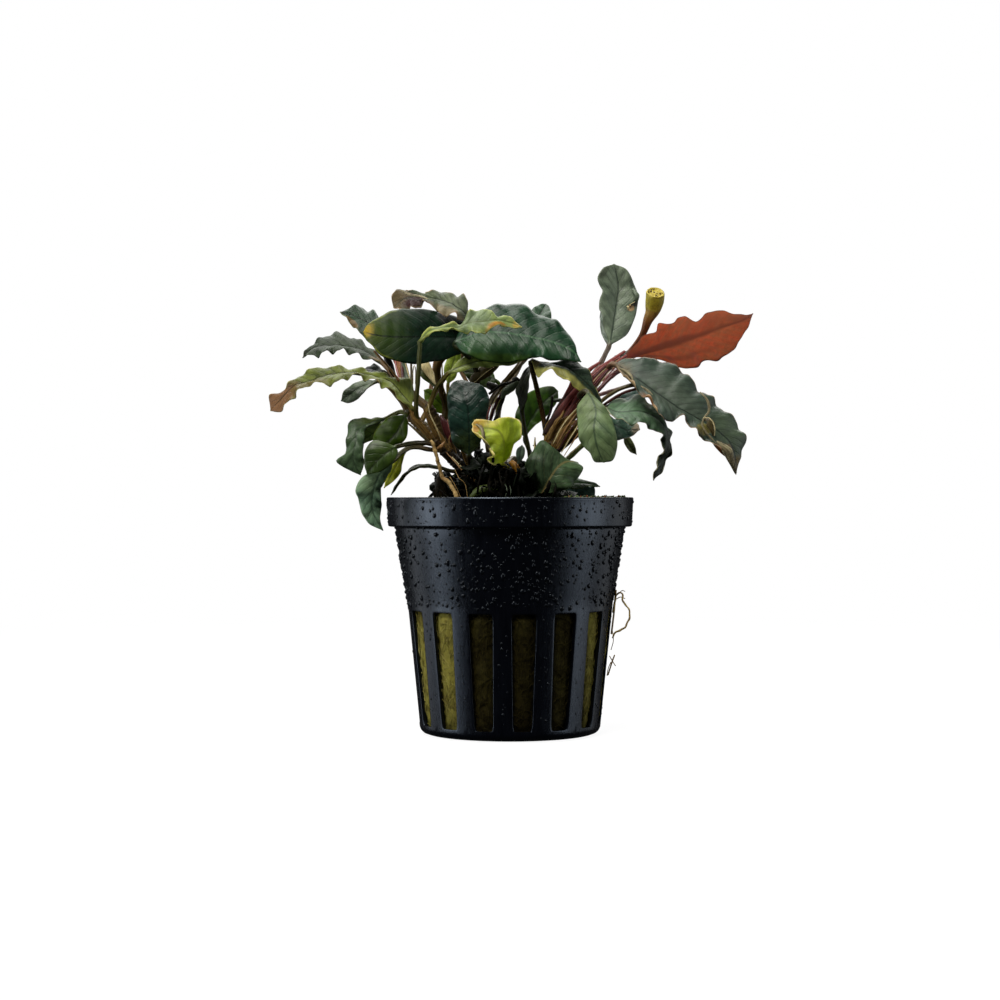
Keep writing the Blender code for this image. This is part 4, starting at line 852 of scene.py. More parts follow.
def leaf_material(name, look):
    g = Graph(name)
    t, s, side = g.split(g.attribute("grow"))
    along, across, half = g.split(g.attribute("span"))
    where = g.where()
    broad = g.noise(where, 0.20, 2)
    patchy = g.noise(where, 0.75, 3, 0.6)
    fine = g.noise(where, 4.5, 3, 0.6)
    grain = g.noise(where, 14.0, 2)
    edge = g.math("ABSOLUTE", s)
    reach = g.math("ABSOLUTE", across)

    # side veins leave the rib at a slant, with finer ones between them
    slant = g.math("MULTIPLY_ADD", reach, -0.95, along)
    slant = g.math("ADD", slant, g.math("MULTIPLY", g.math("SUBTRACT", patchy, 0.5), 0.9))
    place_v = g.math("DIVIDE", slant, look["spacing"])
    off = g.math("ABSOLUTE", g.math("SUBTRACT", g.math("FRACT", place_v), 0.5))
    vein = g.smooth(off, 0.0, 0.10, 1.0, 0.0)
    off2 = g.math("ABSOLUTE", g.math("SUBTRACT", g.math("FRACT", g.math("MULTIPLY", place_v, 3.0)), 0.5))
    vein2 = g.smooth(off2, 0.0, 0.16, 0.35, 0.0)
    veins = g.math("MAXIMUM", vein, vein2)
    on_blade = g.smooth(t, 0.0, 0.03)
    veins = g.math("MULTIPLY", veins, g.smooth(edge, 0.55, 0.98, 1.0, 0.15))
    veins = g.math("MULTIPLY", veins, on_blade)
    swell = g.smooth(off, 0.0, 0.5)
    rib = g.smooth(reach, 0.10, 0.34, 1.0, 0.0)

    top = g.mix(g.smooth(broad, 0.36, 0.64), srgb(*look["top"]), srgb(*look["top2"]))
    top = g.mix(g.smooth(patchy, 0.35, 0.75, 0.0, 0.35), top, srgb(*[min(255, c * 1.22 + 8) for c in look["top"]]))
    low = g.mix(g.smooth(patchy, 0.3, 0.7), srgb(*look["under"]), srgb(*[c * 0.8 for c in look["under"]]))
    upper = g.smooth(side, -0.25, 0.25)
    skin = g.mix(upper, low, top)
    dull = look["vein"]
    skin = g.mix(g.math("MULTIPLY", veins, dull), skin, g.mix(0.5, skin, srgb(*look["rib"])))
    # painted sheen: the bulges between the side veins are lighter
    skin = g.mix(g.math("MULTIPLY", swell, 0.16), skin, srgb(*[min(255, c * 1.2 + 12) for c in look["top"]]))
    # pale dots: the leaf's silvery speckles, painted pale as their sheen
    dots = g.smooth(g.cells(where, 3.4), 0.10, 0.24, 1.0, 0.0)
    dots = g.math("MULTIPLY", dots, g.smooth(patchy, 0.45, 0.62))
    dots = g.math("MULTIPLY", dots, look["speckle_sheen"])
    skin = g.mix(dots, skin, srgb(*[min(255, c * 0.8 + 62) for c in look["top"]]))
    # marks: each an oval with a ragged rim
    for pt, ps, rt, rs, colour, strength, soft in look["patches"]:
        dt = g.math("DIVIDE", g.math("SUBTRACT", t, pt), rt)
        ds = g.math("DIVIDE", g.math("SUBTRACT", s, ps), rs)
        d = g.math("SQRT", g.math("ADD", g.math("MULTIPLY", dt, dt), g.math("MULTIPLY", ds, ds)))
        d = g.math("ADD", d, g.math("MULTIPLY", g.math("SUBTRACT", patchy, 0.5), 0.9))
        d = g.math("ADD", d, g.math("MULTIPLY", g.math("SUBTRACT", fine, 0.5), 0.35))
        skin = g.mix(g.smooth(d, 1 - soft, 1 + soft, strength, 0.0), skin, srgb(*colour))
    # painted shade: darker clouds and hollows, drawn out along the side veins, where shade falls in the crinkled blade
    drawn = g.noise(g.join(g.math("MULTIPLY", slant, 0.9), g.math("MULTIPLY", across, 0.28), 3.0), 1.0, 3, 0.6)
    hollow = g.noise(g.join(g.math("MULTIPLY", slant, 0.45), g.math("MULTIPLY", across, 0.5), 8.0), 1.0, 4, 0.62)
    shade = g.math("ADD", g.smooth(drawn, 0.42, 0.66, 0.0, 0.55), g.smooth(hollow, 0.44, 0.66, 0.0, 0.6))
    shade = g.math("MULTIPLY", shade, look["deep"], clamp=True)
    skin = g.mix(shade, skin, g.mix(0.8, skin, srgb(*[c * 0.28 for c in look["top2"]])))
    # rib, darker along both sides
    line = g.math("MULTIPLY", rib, g.smooth(t, 0.9, 1.0, 0.85, 0.2))
    skin = g.mix(g.math("MULTIPLY", line, on_blade), skin, srgb(*look["rib"]))
    # thin pale margin: partly the leaf's own pale edge, partly a painted rim highlight
    rim_at = g.math("SUBTRACT", half, reach)
    rim = g.smooth(g.math("ADD", rim_at, g.math("MULTIPLY", g.math("SUBTRACT", fine, 0.5), 0.2)),
                   look["edge_mm"] * 0.4, look["edge_mm"], 1.0, 0.0)
    rim = g.math("MULTIPLY", rim, g.math("MULTIPLY", on_blade, g.smooth(patchy, 0.25, 0.55, 0.35, 0.9)))
    skin = g.mix(rim, skin, srgb(*look["edge"]))
    # small brown specks
    if look["specks"] > 0:
        spots = g.smooth(g.cells(where, 0.9), 0.05, 0.12, look["specks"], 0.0)
        skin = g.mix(spots, skin, srgb(92, 66, 40))
    # stalk
    stem = g.mix(g.smooth(t, -1.6, -0.2), srgb(*look["foot"]), srgb(*look["stalk"]))
    stripes = g.noise(g.join(g.math("MULTIPLY", s, 7.0), g.math("MULTIPLY", along, 0.35), 0.0), 1.0, 3, 0.6)
    stem = g.mix(g.smooth(stripes, 0.35, 0.65, 0.55, 0.0), stem, g.mix(0.5, stem, (0.008, 0.006, 0.003)))
    stem = g.mix(g.smooth(fine, 0.5, 0.75, 0.0, 0.3), stem, srgb(150, 130, 90))
    skin = g.mix(g.smooth(t, -0.03, 0.05), stem, skin)
    skin = g.mix(g.smooth(grain, 0.3, 0.7, 0.0, 0.14), skin, (0.0, 0.0, 0.0))
    # painted light and shade: the tone scales each leaf's colours, partly for the leaf's own colour and partly for how
    # much light reaches it
    skin = g.mix(1.0, skin, look["tone"], "MULTIPLY")

    height = g.math("MULTIPLY", veins, -0.5)
    height = g.math("ADD", height, g.math("MULTIPLY", swell, 0.35))
    height = g.math("ADD", height, g.math("MULTIPLY", fine, 0.35))
    height = g.math("ADD", height, g.math("MULTIPLY", grain, 0.15))
    normal = g.bump(height, 0.00009, 0.8)
    rough = g.math("ADD", g.math("MULTIPLY", g.math("SUBTRACT", patchy, 0.5), 0.26), look["rough"] - 0.04)
    through = g.mix(0.5, skin, srgb(*look["glow"])) if look["share"] > 0.2 else skin
    return g.surface(skin, rough, normal, specular=look["gloss"], ior=1.45, through=through, share=look["share"])


# How each leaf looks. Marks are (share along, share across, their reach along and across,
# colour, strength, softness); rolled margins are (side, from, to, width, radius, way)

LOOKS = {
    "leaf_upper_left": style((34, 50, 43), gloss=0.18, top2=(24, 38, 32), rib=(16, 24, 21), edge=(112, 108, 88), ripple=0.45,
        wave=4.4, vein=0.5, stalk=(136, 62, 62), foot=(120, 84, 48),
        patches=[(0.72, -0.85, 0.15, 0.3, (104, 76, 60), 0.9, 0.25), (1.0, 0, 0.06, 1.2, (32, 36, 32), 0.9, 0.3)]),
    "leaf_left_wavy": style((64, 76, 68), gloss=0.18, top2=(44, 56, 50), rib=(22, 30, 26), edge=(92, 98, 86), ripple=0.55,
        wave=4.2, rough=0.5, vein=0.45, stalk=(122, 92, 74), foot=(96, 66, 44),
        patches=[(0.03, -0.5, 0.12, 0.8, (150, 118, 90), 0.8, 0.4), (1.0, 0, 0.08, 1.4, (40, 42, 38), 0.9, 0.3)]),
    "leaf_left_long": style((94, 100, 48), gloss=0.2, under=(96, 98, 48), top2=(66, 72, 34), rib=(34, 32, 18),
        edge=(170, 160, 116), ripple=0.5, wave=4.6, rough=0.45, stalk=(110, 104, 52), foot=(86, 62, 36), vein=0.4,
        patches=[(0.1, 0.0, 0.2, 1.4, (142, 152, 78), 0.7, 0.5), (0.93, 0, 0.15, 1.6, (116, 80, 62), 0.95, 0.4),
                 (0.7, -0.8, 0.12, 0.5, (104, 84, 52), 0.6, 0.5)]),
    "leaf_left_stub": style((84, 110, 96), top2=(64, 86, 78), rib=(58, 78, 68), edge=(112, 126, 108), ripple=0.15,
        stalk=(128, 120, 72), foot=(96, 66, 44)),
    "leaf_scrap_left": style((30, 42, 32), gloss=0.15, top2=(22, 30, 24), edge=(64, 66, 46), ripple=0.5, wave=3.0),
    "leaf_big_left": style((22, 42, 40), under=(60, 72, 44), top2=(14, 29, 29), rib=(12, 20, 19), edge=(70, 88, 56),
        edge_mm=0.24, gloss=0.10, ripple=0.10, wave=6.4, rough=0.46, vein=0.10, share=0.08, stalk=(168, 112, 62),
        foot=(104, 74, 42), specks=0.4, spacing=2.6, deep=0.3,
        patches=[(0.84, -0.1, 0.19, 1.5, (58, 72, 30), 0.85, 0.7), (0.93, 0.1, 0.10, 1.2, (86, 92, 34), 0.8, 0.6),
                 (0.99, 0.35, 0.085, 1.0, (208, 158, 44), 0.95, 0.45), (0.86, -1.0, 0.20, 0.09, (168, 160, 84), 0.8, 0.4),
                 (0.86, 0.97, 0.16, 0.10, (150, 146, 76), 0.7, 0.4)]),
    "leaf_pale_arched": style((150, 162, 92), under=(140, 150, 80), top2=(122, 138, 88), rib=(92, 104, 62),
        edge=(196, 194, 116), edge_mm=0.35, ripple=0.5, wave=4.6, rough=0.45, share=0.28, stalk=(72, 74, 32),
        foot=(98, 86, 48), vein=0.4,
        patches=[(0.10, 0, 0.16, 1.4, (152, 162, 70), 0.8, 0.4), (0.52, 0.2, 0.2, 0.9, (126, 140, 108), 0.8, 0.5),
                 (0.74, -0.75, 0.09, 0.45, (224, 158, 78), 0.95, 0.3), (0.97, -0.1, 0.07, 1.3, (226, 186, 92), 0.9, 0.3)]),
    "leaf_top_wavy": style((82, 86, 70), gloss=0.18, under=(66, 46, 42), top2=(58, 62, 52), rib=(34, 38, 32),
        edge=(156, 124, 104), edge_mm=0.35, ripple=0.7, wave=4.4, rough=0.5, vein=0.6, stalk=(120, 92, 60),
        foot=(104, 74, 42), share=0.12,
        patches=[(0.93, 0.1, 0.16, 1.5, (78, 62, 44), 0.95, 0.4), (0.76, -0.45, 0.11, 0.6, (48, 24, 28), 0.95, 0.4),
                 (0.35, -0.8, 0.2, 0.35, (124, 104, 84), 0.7, 0.4)]),
    # its first two marks are painted sheen on the lower half of the blade
    "leaf_big_right": style((38, 70, 57), gloss=0.28, under=(96, 110, 62), top2=(28, 52, 44), rib=(88, 116, 98), edge=(70, 92, 62),
        ripple=0.3, wave=6.0, rough=0.36, vein=0.35, share=0.1, stalk=(52, 50, 26), foot=(70, 56, 32), spacing=2.6,
        speckle_sheen=0.4,
        patches=[(0.45, -0.55, 0.4, 0.4, (74, 108, 86), 0.6, 0.6), (0.22, -0.5, 0.14, 0.5, (92, 120, 88), 0.5, 0.5),
                 (0.38, -0.95, 0.22, 0.22, (112, 128, 62), 0.8, 0.4)]),
    "leaf_tip_behind": style((58, 86, 74), top2=(44, 68, 58), edge=(88, 104, 88), stalk=(134, 104, 54), foot=(98, 76, 42)),
    "leaf_scrap_lime": style((152, 160, 72), top2=(132, 136, 60), stalk=(150, 120, 62), share=0.3, ripple=0.4),
    "leaf_olive_under": style((92, 102, 56), top2=(66, 76, 44), under=(84, 92, 48), rib=(40, 44, 26), ripple=0.25,
        stalk=(64, 58, 26), foot=(88, 66, 38), vein=0.4, share=0.22,
        patches=[(0.75, 0.2, 0.25, 1.2, (60, 62, 44), 0.7, 0.5)]),
    "leaf_brown": style((62, 52, 40), top2=(44, 38, 30), rib=(28, 24, 18), edge=(88, 76, 56), ripple=0.3,
        stalk=(58, 46, 26), foot=(58, 40, 24)),
    "leaf_backlit_left": style((74, 98, 30), top2=(50, 70, 24), share=0.4, rib=(34, 44, 16), ripple=0.3),
    # its second mark is a painted sheen near the top of the blade
    "leaf_teal_centre": style((38, 68, 62), gloss=0.3, top2=(28, 50, 46), rib=(24, 42, 38), edge=(78, 98, 84), ripple=0.28,
        wave=5.0, rough=0.34, speckle_sheen=0.5, vein=0.3, share=0.06, stalk=(60, 52, 30),
        patches=[(0.08, 0, 0.2, 1.3, (66, 78, 38), 0.7, 0.5), (0.95, 0, 0.07, 1.4, (64, 86, 74), 0.6, 0.4)]),
    "leaf_lime_curled": style((164, 184, 52), under=(196, 186, 96), top2=(112, 138, 32), rib=(120, 132, 50),
        edge=(214, 204, 128), edge_mm=0.45, ripple=0.7, wave=4.2, share=0.56, glow=(196, 214, 60), rough=0.42, stalk=(120, 110, 50),
        foot=(60, 50, 26), vein=0.3,
        patches=[(0.93, 0.0, 0.14, 1.4, (184, 140, 48), 0.95, 0.3), (0.75, 0.5, 0.12, 0.5, (196, 190, 92), 0.7, 0.4),
                 (0.2, 0.4, 0.22, 0.6, (96, 124, 30), 0.7, 0.5)],
        gloss=0.45, deep=0.55, rolls=[(-1, 0.1, 0.98, 1.3, 0.42, 1.0)]),
    "leaf_hanging_olive": style((92, 120, 30), gloss=0.15, top2=(58, 80, 22), rib=(36, 44, 20), edge=(122, 130, 62), ripple=0.25,
        share=0.3, stalk=(80, 66, 36), vein=0.35, patches=[(0.1, 0, 0.3, 1.2, (56, 74, 32), 0.6, 0.5)]),
    "leaf_hanging_teal": style((64, 92, 76), top2=(50, 74, 62), rib=(44, 64, 54), edge=(40, 56, 48), ripple=0.45,
        wave=4.2, vein=0.4, stalk=(78, 92, 48), patches=[(0.1, 0.5, 0.2, 1.0, (84, 104, 58), 0.7, 0.4)]),
    "leaf_hanging_mid": style((58, 84, 54), top2=(44, 66, 44), rib=(34, 50, 36), edge=(60, 78, 50), ripple=0.3,
        stalk=(34, 40, 24), foot=(70, 52, 32), patches=[(0.75, 0, 0.3, 1.2, (50, 76, 60), 0.6, 0.5)]),
    "leaf_hanging_yellow": style((118, 120, 48), top2=(96, 102, 38), rib=(84, 88, 36), edge=(150, 140, 72), ripple=0.35,
        wave=3.6, share=0.36, stalk=(66, 70, 34)),
    "leaf_over_rim": style((82, 104, 80), under=(100, 116, 84), top2=(60, 82, 64), rib=(44, 60, 46),
        edge=(88, 104, 76), ripple=0.4, wave=4.6, rough=0.4, vein=0.45, stalk=(36, 40, 26), foot=(70, 52, 32),
        patches=[(0.25, 0.3, 0.22, 0.9, (104, 122, 86), 0.5, 0.5), (0.2, -0.6, 0.3, 0.5, (44, 60, 44), 0.7, 0.5)]),
    "leaf_thin_arch": style((50, 60, 42), top2=(34, 42, 30), ripple=0.0, stalk=(48, 46, 30), rib=(26, 32, 22)),
    "leaf_narrow_dark": style((26, 30, 22), top2=(18, 22, 16), edge=(56, 52, 34), ripple=0.2, stalk=(34, 28, 16)),
    "leaf_arched_dark": style((28, 40, 33), gloss=0.1, under=(96, 100, 56), top2=(20, 30, 25), rib=(14, 20, 17), edge=(118, 118, 66),
        edge_mm=0.4, ripple=0.4, wave=4.8, rough=0.32, stalk=(34, 28, 16), foot=(56, 42, 24), share=0.06, vein=0.3,
        patches=[(0.45, -0.8, 0.5, 0.42, (100, 104, 58), 0.85, 0.35), (0.03, 0, 0.1, 1.2, (74, 66, 34), 0.8, 0.4)]),
    "leaf_backlit_mid": style((62, 108, 26), top2=(20, 42, 14), rib=(16, 26, 10), share=0.42, ripple=0.3,
        stalk=(28, 26, 14), patches=[(0.95, 0, 0.12, 1.3, (28, 40, 20), 0.9, 0.4)]),
    "leaf_grey_low": style((96, 116, 100), top2=(74, 92, 78), ripple=0.2),
    "leaf_low_right": style((50, 72, 54), gloss=0.2, top2=(26, 42, 32), rib=(84, 84, 60), edge=(66, 86, 64), deep=0.9, ripple=0.6,
        wave=5.0, rough=0.4, vein=0.3, stalk=(40, 36, 22)),
    "leaf_low_tip": style((20, 34, 24), gloss=0.15, top2=(12, 22, 16), rib=(20, 32, 26), ripple=0.25),
    "leaf_upright": style((94, 108, 90), under=(88, 100, 84), top2=(76, 90, 76), rib=(44, 56, 48), edge=(86, 96, 78),
        ripple=0.25, wave=5.0, rough=0.5, vein=0.55, spacing=2.3, stalk=(78, 68, 60), foot=(120, 74, 62),
        patches=[(0.47, -0.70, 0.03, 0.16, (172, 140, 100), 0.8, 0.35), (0.52, -0.92, 0.035, 0.14, (52, 44, 34), 0.9, 0.3),
                 (0.86, 0.9, 0.10, 0.25, (52, 58, 48), 0.7, 0.4), (0.66, -0.95, 0.12, 0.2, (50, 60, 52), 0.7, 0.4)]),
    "leaf_red": style((72, 92, 66), under=(198, 84, 46), top2=(120, 44, 32), rib=(84, 18, 26), edge=(66, 38, 36), edge_mm=0.32,
        ripple=0.30, wave=5.2, front="under", rough=0.46, vein=0.24, spacing=2.4, share=0.64, deep=0.2, speckle_sheen=0.0,
        glow=(240, 190, 160), gloss=0.2,
        stalk=(136, 56, 56), foot=(110, 44, 44),
        patches=[(0.0, 0, 0.13, 1.4, (92, 16, 26), 0.9, 0.6), (0.22, 0.02, 0.34, 0.17, (70, 12, 24), 0.85, 0.6),
                 (0.62, 0.02, 0.40, 0.10, (84, 20, 30), 0.75, 0.7), (0.36, -0.62, 0.26, 0.09, (96, 26, 26), 0.6, 0.6),
                 (0.93, 0.35, 0.10, 0.55, (92, 58, 50), 0.75, 0.4), (1.0, 0, 0.045, 1.4, (70, 52, 50), 0.9, 0.3),
                 (0.68, 0.55, 0.16, 0.35, (120, 60, 50), 0.5, 0.6)]),
    "leaf_drooping": style((62, 80, 72), gloss=0.25, under=(164, 146, 112), top2=(50, 66, 60), rib=(26, 36, 34),
        edge=(158, 140, 116), edge_mm=0.25, ripple=0.55, wave=4.8, rough=0.44, vein=0.45, stalk=(110, 88, 70),
        foot=(104, 60, 50), share=0.07,
        patches=[(0.76, 0.25, 0.13, 0.8, (88, 108, 86), 0.5, 0.5), (0.845, -0.75, 0.055, 0.6, (156, 104, 58), 0.95, 0.3),
                 (0.955, -0.2, 0.06, 1.3, (112, 102, 68), 0.9, 0.4), (0.67, -0.5, 0.04, 0.45, (116, 112, 58), 0.9, 0.3),
                 (0.28, -0.95, 0.055, 0.35, (126, 90, 54), 0.9, 0.35), (0.06, -0.4, 0.08, 0.8, (112, 96, 66), 0.6, 0.5),
                 (1.0, 0, 0.025, 1.5, (66, 54, 36), 0.9, 0.3), (0.42, 0.1, 0.2, 0.5, (74, 86, 76), 0.4, 0.5)],
        rolls=[(-1, 0.06, 0.21, 1.4, 0.5, 1.0), (-1, 0.22, 0.40, 1.3, 0.42, 1.0), (-1, 0.74, 0.97, 1.8, 0.6, 1.0)]),
    "leaf_right_hanging": style((60, 96, 72), under=(120, 132, 104), top2=(46, 76, 58), rib=(34, 54, 44),
        edge=(120, 134, 108), ripple=0.5, wave=4.4, rough=0.42, vein=0.55, stalk=(64, 66, 34), foot=(96, 70, 42),
        patches=[(0.86, 0, 0.26, 1.6, (40, 52, 44), 0.9, 0.35), (0.99, 0, 0.05, 1.5, (20, 24, 24), 0.9, 0.3)],
        rolls=[(1, 0.66, 0.98, 0.9, 0.34, 1.0)]),
    "leaf_teal_behind": style((50, 88, 76), top2=(40, 70, 62), rib=(34, 54, 48), ripple=0.35),
    "leaf_torn": style((46, 76, 62), top2=(34, 56, 46), edge=(120, 124, 100), ripple=0.5, wave=3.6,
        patches=[(0.93, 0.3, 0.13, 1.2, (158, 156, 132), 0.9, 0.4)]),
    "leaf_small_hanging": style((98, 108, 66), top2=(82, 92, 54), edge=(136, 132, 84), ripple=0.2, stalk=(84, 76, 44),
        patches=[(0.97, 0, 0.12, 1.2, (60, 50, 30), 0.8, 0.4)]),
    "leaf_sage_front": style((122, 144, 100), under=(130, 148, 104), top2=(94, 120, 84), rib=(70, 92, 66),
        edge=(128, 148, 104), ripple=0.3, wave=5.4, rough=0.5, vein=0.45, spacing=2.6, stalk=(60, 58, 34),
        foot=(96, 60, 48), puff=0.10, speckle_sheen=0.1,
        patches=[(0.15, 0.3, 0.2, 0.9, (138, 156, 106), 0.5, 0.5)]),
    "leaf_tip_right": style((92, 116, 96), top2=(76, 98, 82), stalk=(96, 110, 70)),
    "leaf_back_1": style((58, 80, 68), top2=(42, 62, 54), ripple=0.4, stalk=(96, 72, 44), vein=0.4),
    "leaf_back_2": style((92, 108, 90), top2=(70, 88, 74), ripple=0.45, stalk=(84, 72, 44), rough=0.5, vein=0.5),
    "leaf_back_3": style((48, 76, 60), top2=(34, 56, 46), ripple=0.4, stalk=(70, 56, 34)),
    "leaf_back_4": style((104, 116, 56), top2=(80, 96, 46), ripple=0.4, stalk=(92, 82, 44), share=0.22,
        patches=[(0.95, 0, 0.12, 1.4, (150, 116, 60), 0.8, 0.4)]),
    "leaf_back_5": style((50, 80, 64), top2=(38, 60, 50), ripple=0.45, stalk=(70, 60, 36)),
    "leaf_back_6": style((84, 106, 82), top2=(64, 86, 68), ripple=0.35, stalk=(86, 74, 44), vein=0.5),
    "leaf_back_7": style((56, 82, 70), top2=(42, 64, 56), ripple=0.5, stalk=(110, 60, 52), vein=0.45,
        patches=[(0.9, -0.6, 0.14, 0.6, (120, 104, 62), 0.8, 0.4)]),
    "leaf_back_8": style((112, 124, 62), top2=(88, 102, 50), ripple=0.4, stalk=(100, 86, 46), share=0.22),
    "leaf_back_9": style((86, 102, 86), under=(84, 96, 80), top2=(70, 86, 72), ripple=0.3, stalk=(96, 64, 54)),
    "leaf_back_10": style((52, 74, 66), top2=(40, 58, 54), ripple=0.5, stalk=(120, 60, 54), vein=0.45,
        patches=[(0.97, 0, 0.08, 1.4, (120, 86, 60), 0.8, 0.4)]),
    "leaf_back_11": style((64, 86, 72), top2=(48, 68, 58), ripple=0.4, stalk=(112, 80, 46), vein=0.45),
}

# Each leaf's colours scaled in red, green and blue: partly a change of the leaf's own colour, partly painted light and
# shade for how much lamp light reaches the leaf

TONE_AND_PAINTED_LIGHT_OF = {
    "leaf_upper_left": (1.15, 1.39, 0.85), "leaf_left_wavy": (0.65, 0.68, 0.44),
    "leaf_left_long": (1.04, 1.10, 0.87), "leaf_left_stub": (1.01, 0.83, 0.59),
    "leaf_scrap_left": (0.35, 0.40, 0.32), "leaf_big_left": (0.53, 0.67, 0.37),
    "leaf_pale_arched": (1.03, 1.10, 1.01), "leaf_top_wavy": (1.17, 1.30, 1.09),
    "leaf_big_right": (0.44, 0.64, 0.39), "leaf_tip_behind": (0.77, 0.81, 0.58),
    "leaf_scrap_lime": (1.61, 1.86, 1.38), "leaf_olive_under": (2.60, 2.60, 1.63), "leaf_brown": (0.99, 2.44, 0.71),
    "leaf_backlit_left": (1.65, 1.52, 0.58), "leaf_teal_centre": (0.58, 0.60, 0.50),
    "leaf_lime_curled": (1.82, 1.69, 2.18), "leaf_hanging_olive": (0.34, 0.38, 0.14),
    "leaf_hanging_teal": (1.45, 1.22, 0.80), "leaf_hanging_mid": (0.92, 0.83, 0.25),
    "leaf_hanging_yellow": (2.41, 2.35, 0.86), "leaf_over_rim": (2.60, 2.60, 2.60),
    "leaf_thin_arch": (1.40, 1.40, 1.30), "leaf_narrow_dark": (0.99, 1.42, 0.20),
    "leaf_arched_dark": (2.50, 2.26, 1.98), "leaf_backlit_mid": (2.17, 1.54, 2.24),
    "leaf_grey_low": (1.20, 1.20, 1.20), "leaf_low_right": (2.24, 1.94, 1.51), "leaf_low_tip": (1.16, 1.51, 0.57),
    "leaf_upright": (1.49, 1.43, 1.37), "leaf_red": (1.80, 1.74, 2.30), "leaf_drooping": (1.10, 0.99, 0.88),
    "leaf_right_hanging": (2.01, 1.48, 1.38), "leaf_torn": (2.59, 2.15, 2.18),
    "leaf_small_hanging": (1.10, 1.10, 1.00), "leaf_sage_front": (0.79, 0.79, 0.71),
}

for name, spec in LEAVES.items():
    look = LOOKS[name]
    look["tone"] = TONE_AND_PAINTED_LIGHT_OF.get(name, (1.0, 1.0, 1.0))
    show(name + "_blade", fine_leaf(name, spec, look), leaf_material(name + "_skin", look), name)
# Net pot: one wall whose slots and base holes have rounded corners

SLOTS, FIRST_SLOT_DEG = 15, 7.5
PITCH = TAU / SLOTS
OUTER = [(17.6, 0.0), (18.5, 0.06), (19.1, 0.28), (19.48, 0.62), (19.70, 1.0), (19.85, 1.4), (22.6, 28.6), (25.2, 45.05)]


def outer_radius(z):
    zs = np.array([p[1] for p in OUTER])
    rs = np.array([p[0] for p in OUTER])
    return np.interp(z, zs, rs)


def side_points(count):
    """Shares from -1 to 1, closer together near the ends."""
    x = np.linspace(-1, 1, count + 1)
    return 0.55 * x + 0.45 * np.sin(x * math.pi / 2)


def frame_grid(half_angle, low, high, hole_half, hole_low, hole_high, corner, across=14, tall=12):
    """A ring of points round a sector's frame and round its hole, in angle and height."""
    xs, zs = side_points(across), (side_points(tall) + 1) / 2
    frame_pts, sharp = [], []
    for x in xs[:-1]:
        frame_pts.append((x, 1.0))
        sharp.append((x, 1.0))
    for z in zs[::-1][:-1]:
        frame_pts.append((1.0, z))
        sharp.append((1.0, z))
    for x in xs[::-1][:-1]:
        frame_pts.append((x, 0.0))
        sharp.append((x, 0.0))
    for z in zs[:-1]:
        frame_pts.append((-1.0, z))
        sharp.append((-1.0, z))
    frame_pts, sharp = np.array(frame_pts), np.array(sharp)
    frame_xy = np.stack([frame_pts[:, 0] * half_angle, low + (high - low) * frame_pts[:, 1]], 1)
    z = hole_low + (hole_high - hole_low) * sharp[:, 1]
    wide = 1.0
    flat = np.stack([sharp[:, 0] * wide, z], 1)
    c = corner
    core = np.stack([np.clip(flat[:, 0], -wide + c[0], wide - c[0]), np.clip(flat[:, 1], hole_low + c[1], hole_high - c[1])], 1)
    away = (flat - core) / np.array(c)
    size = np.linalg.norm(away, axis=1)
    away = away / np.maximum(size, 1)[:, None]
    rounded = core + away * np.array(c)
    hole_xy = np.stack([rounded[:, 0] * hole_half(rounded[:, 1]), rounded[:, 1]], 1)
    return frame_xy, hole_xy


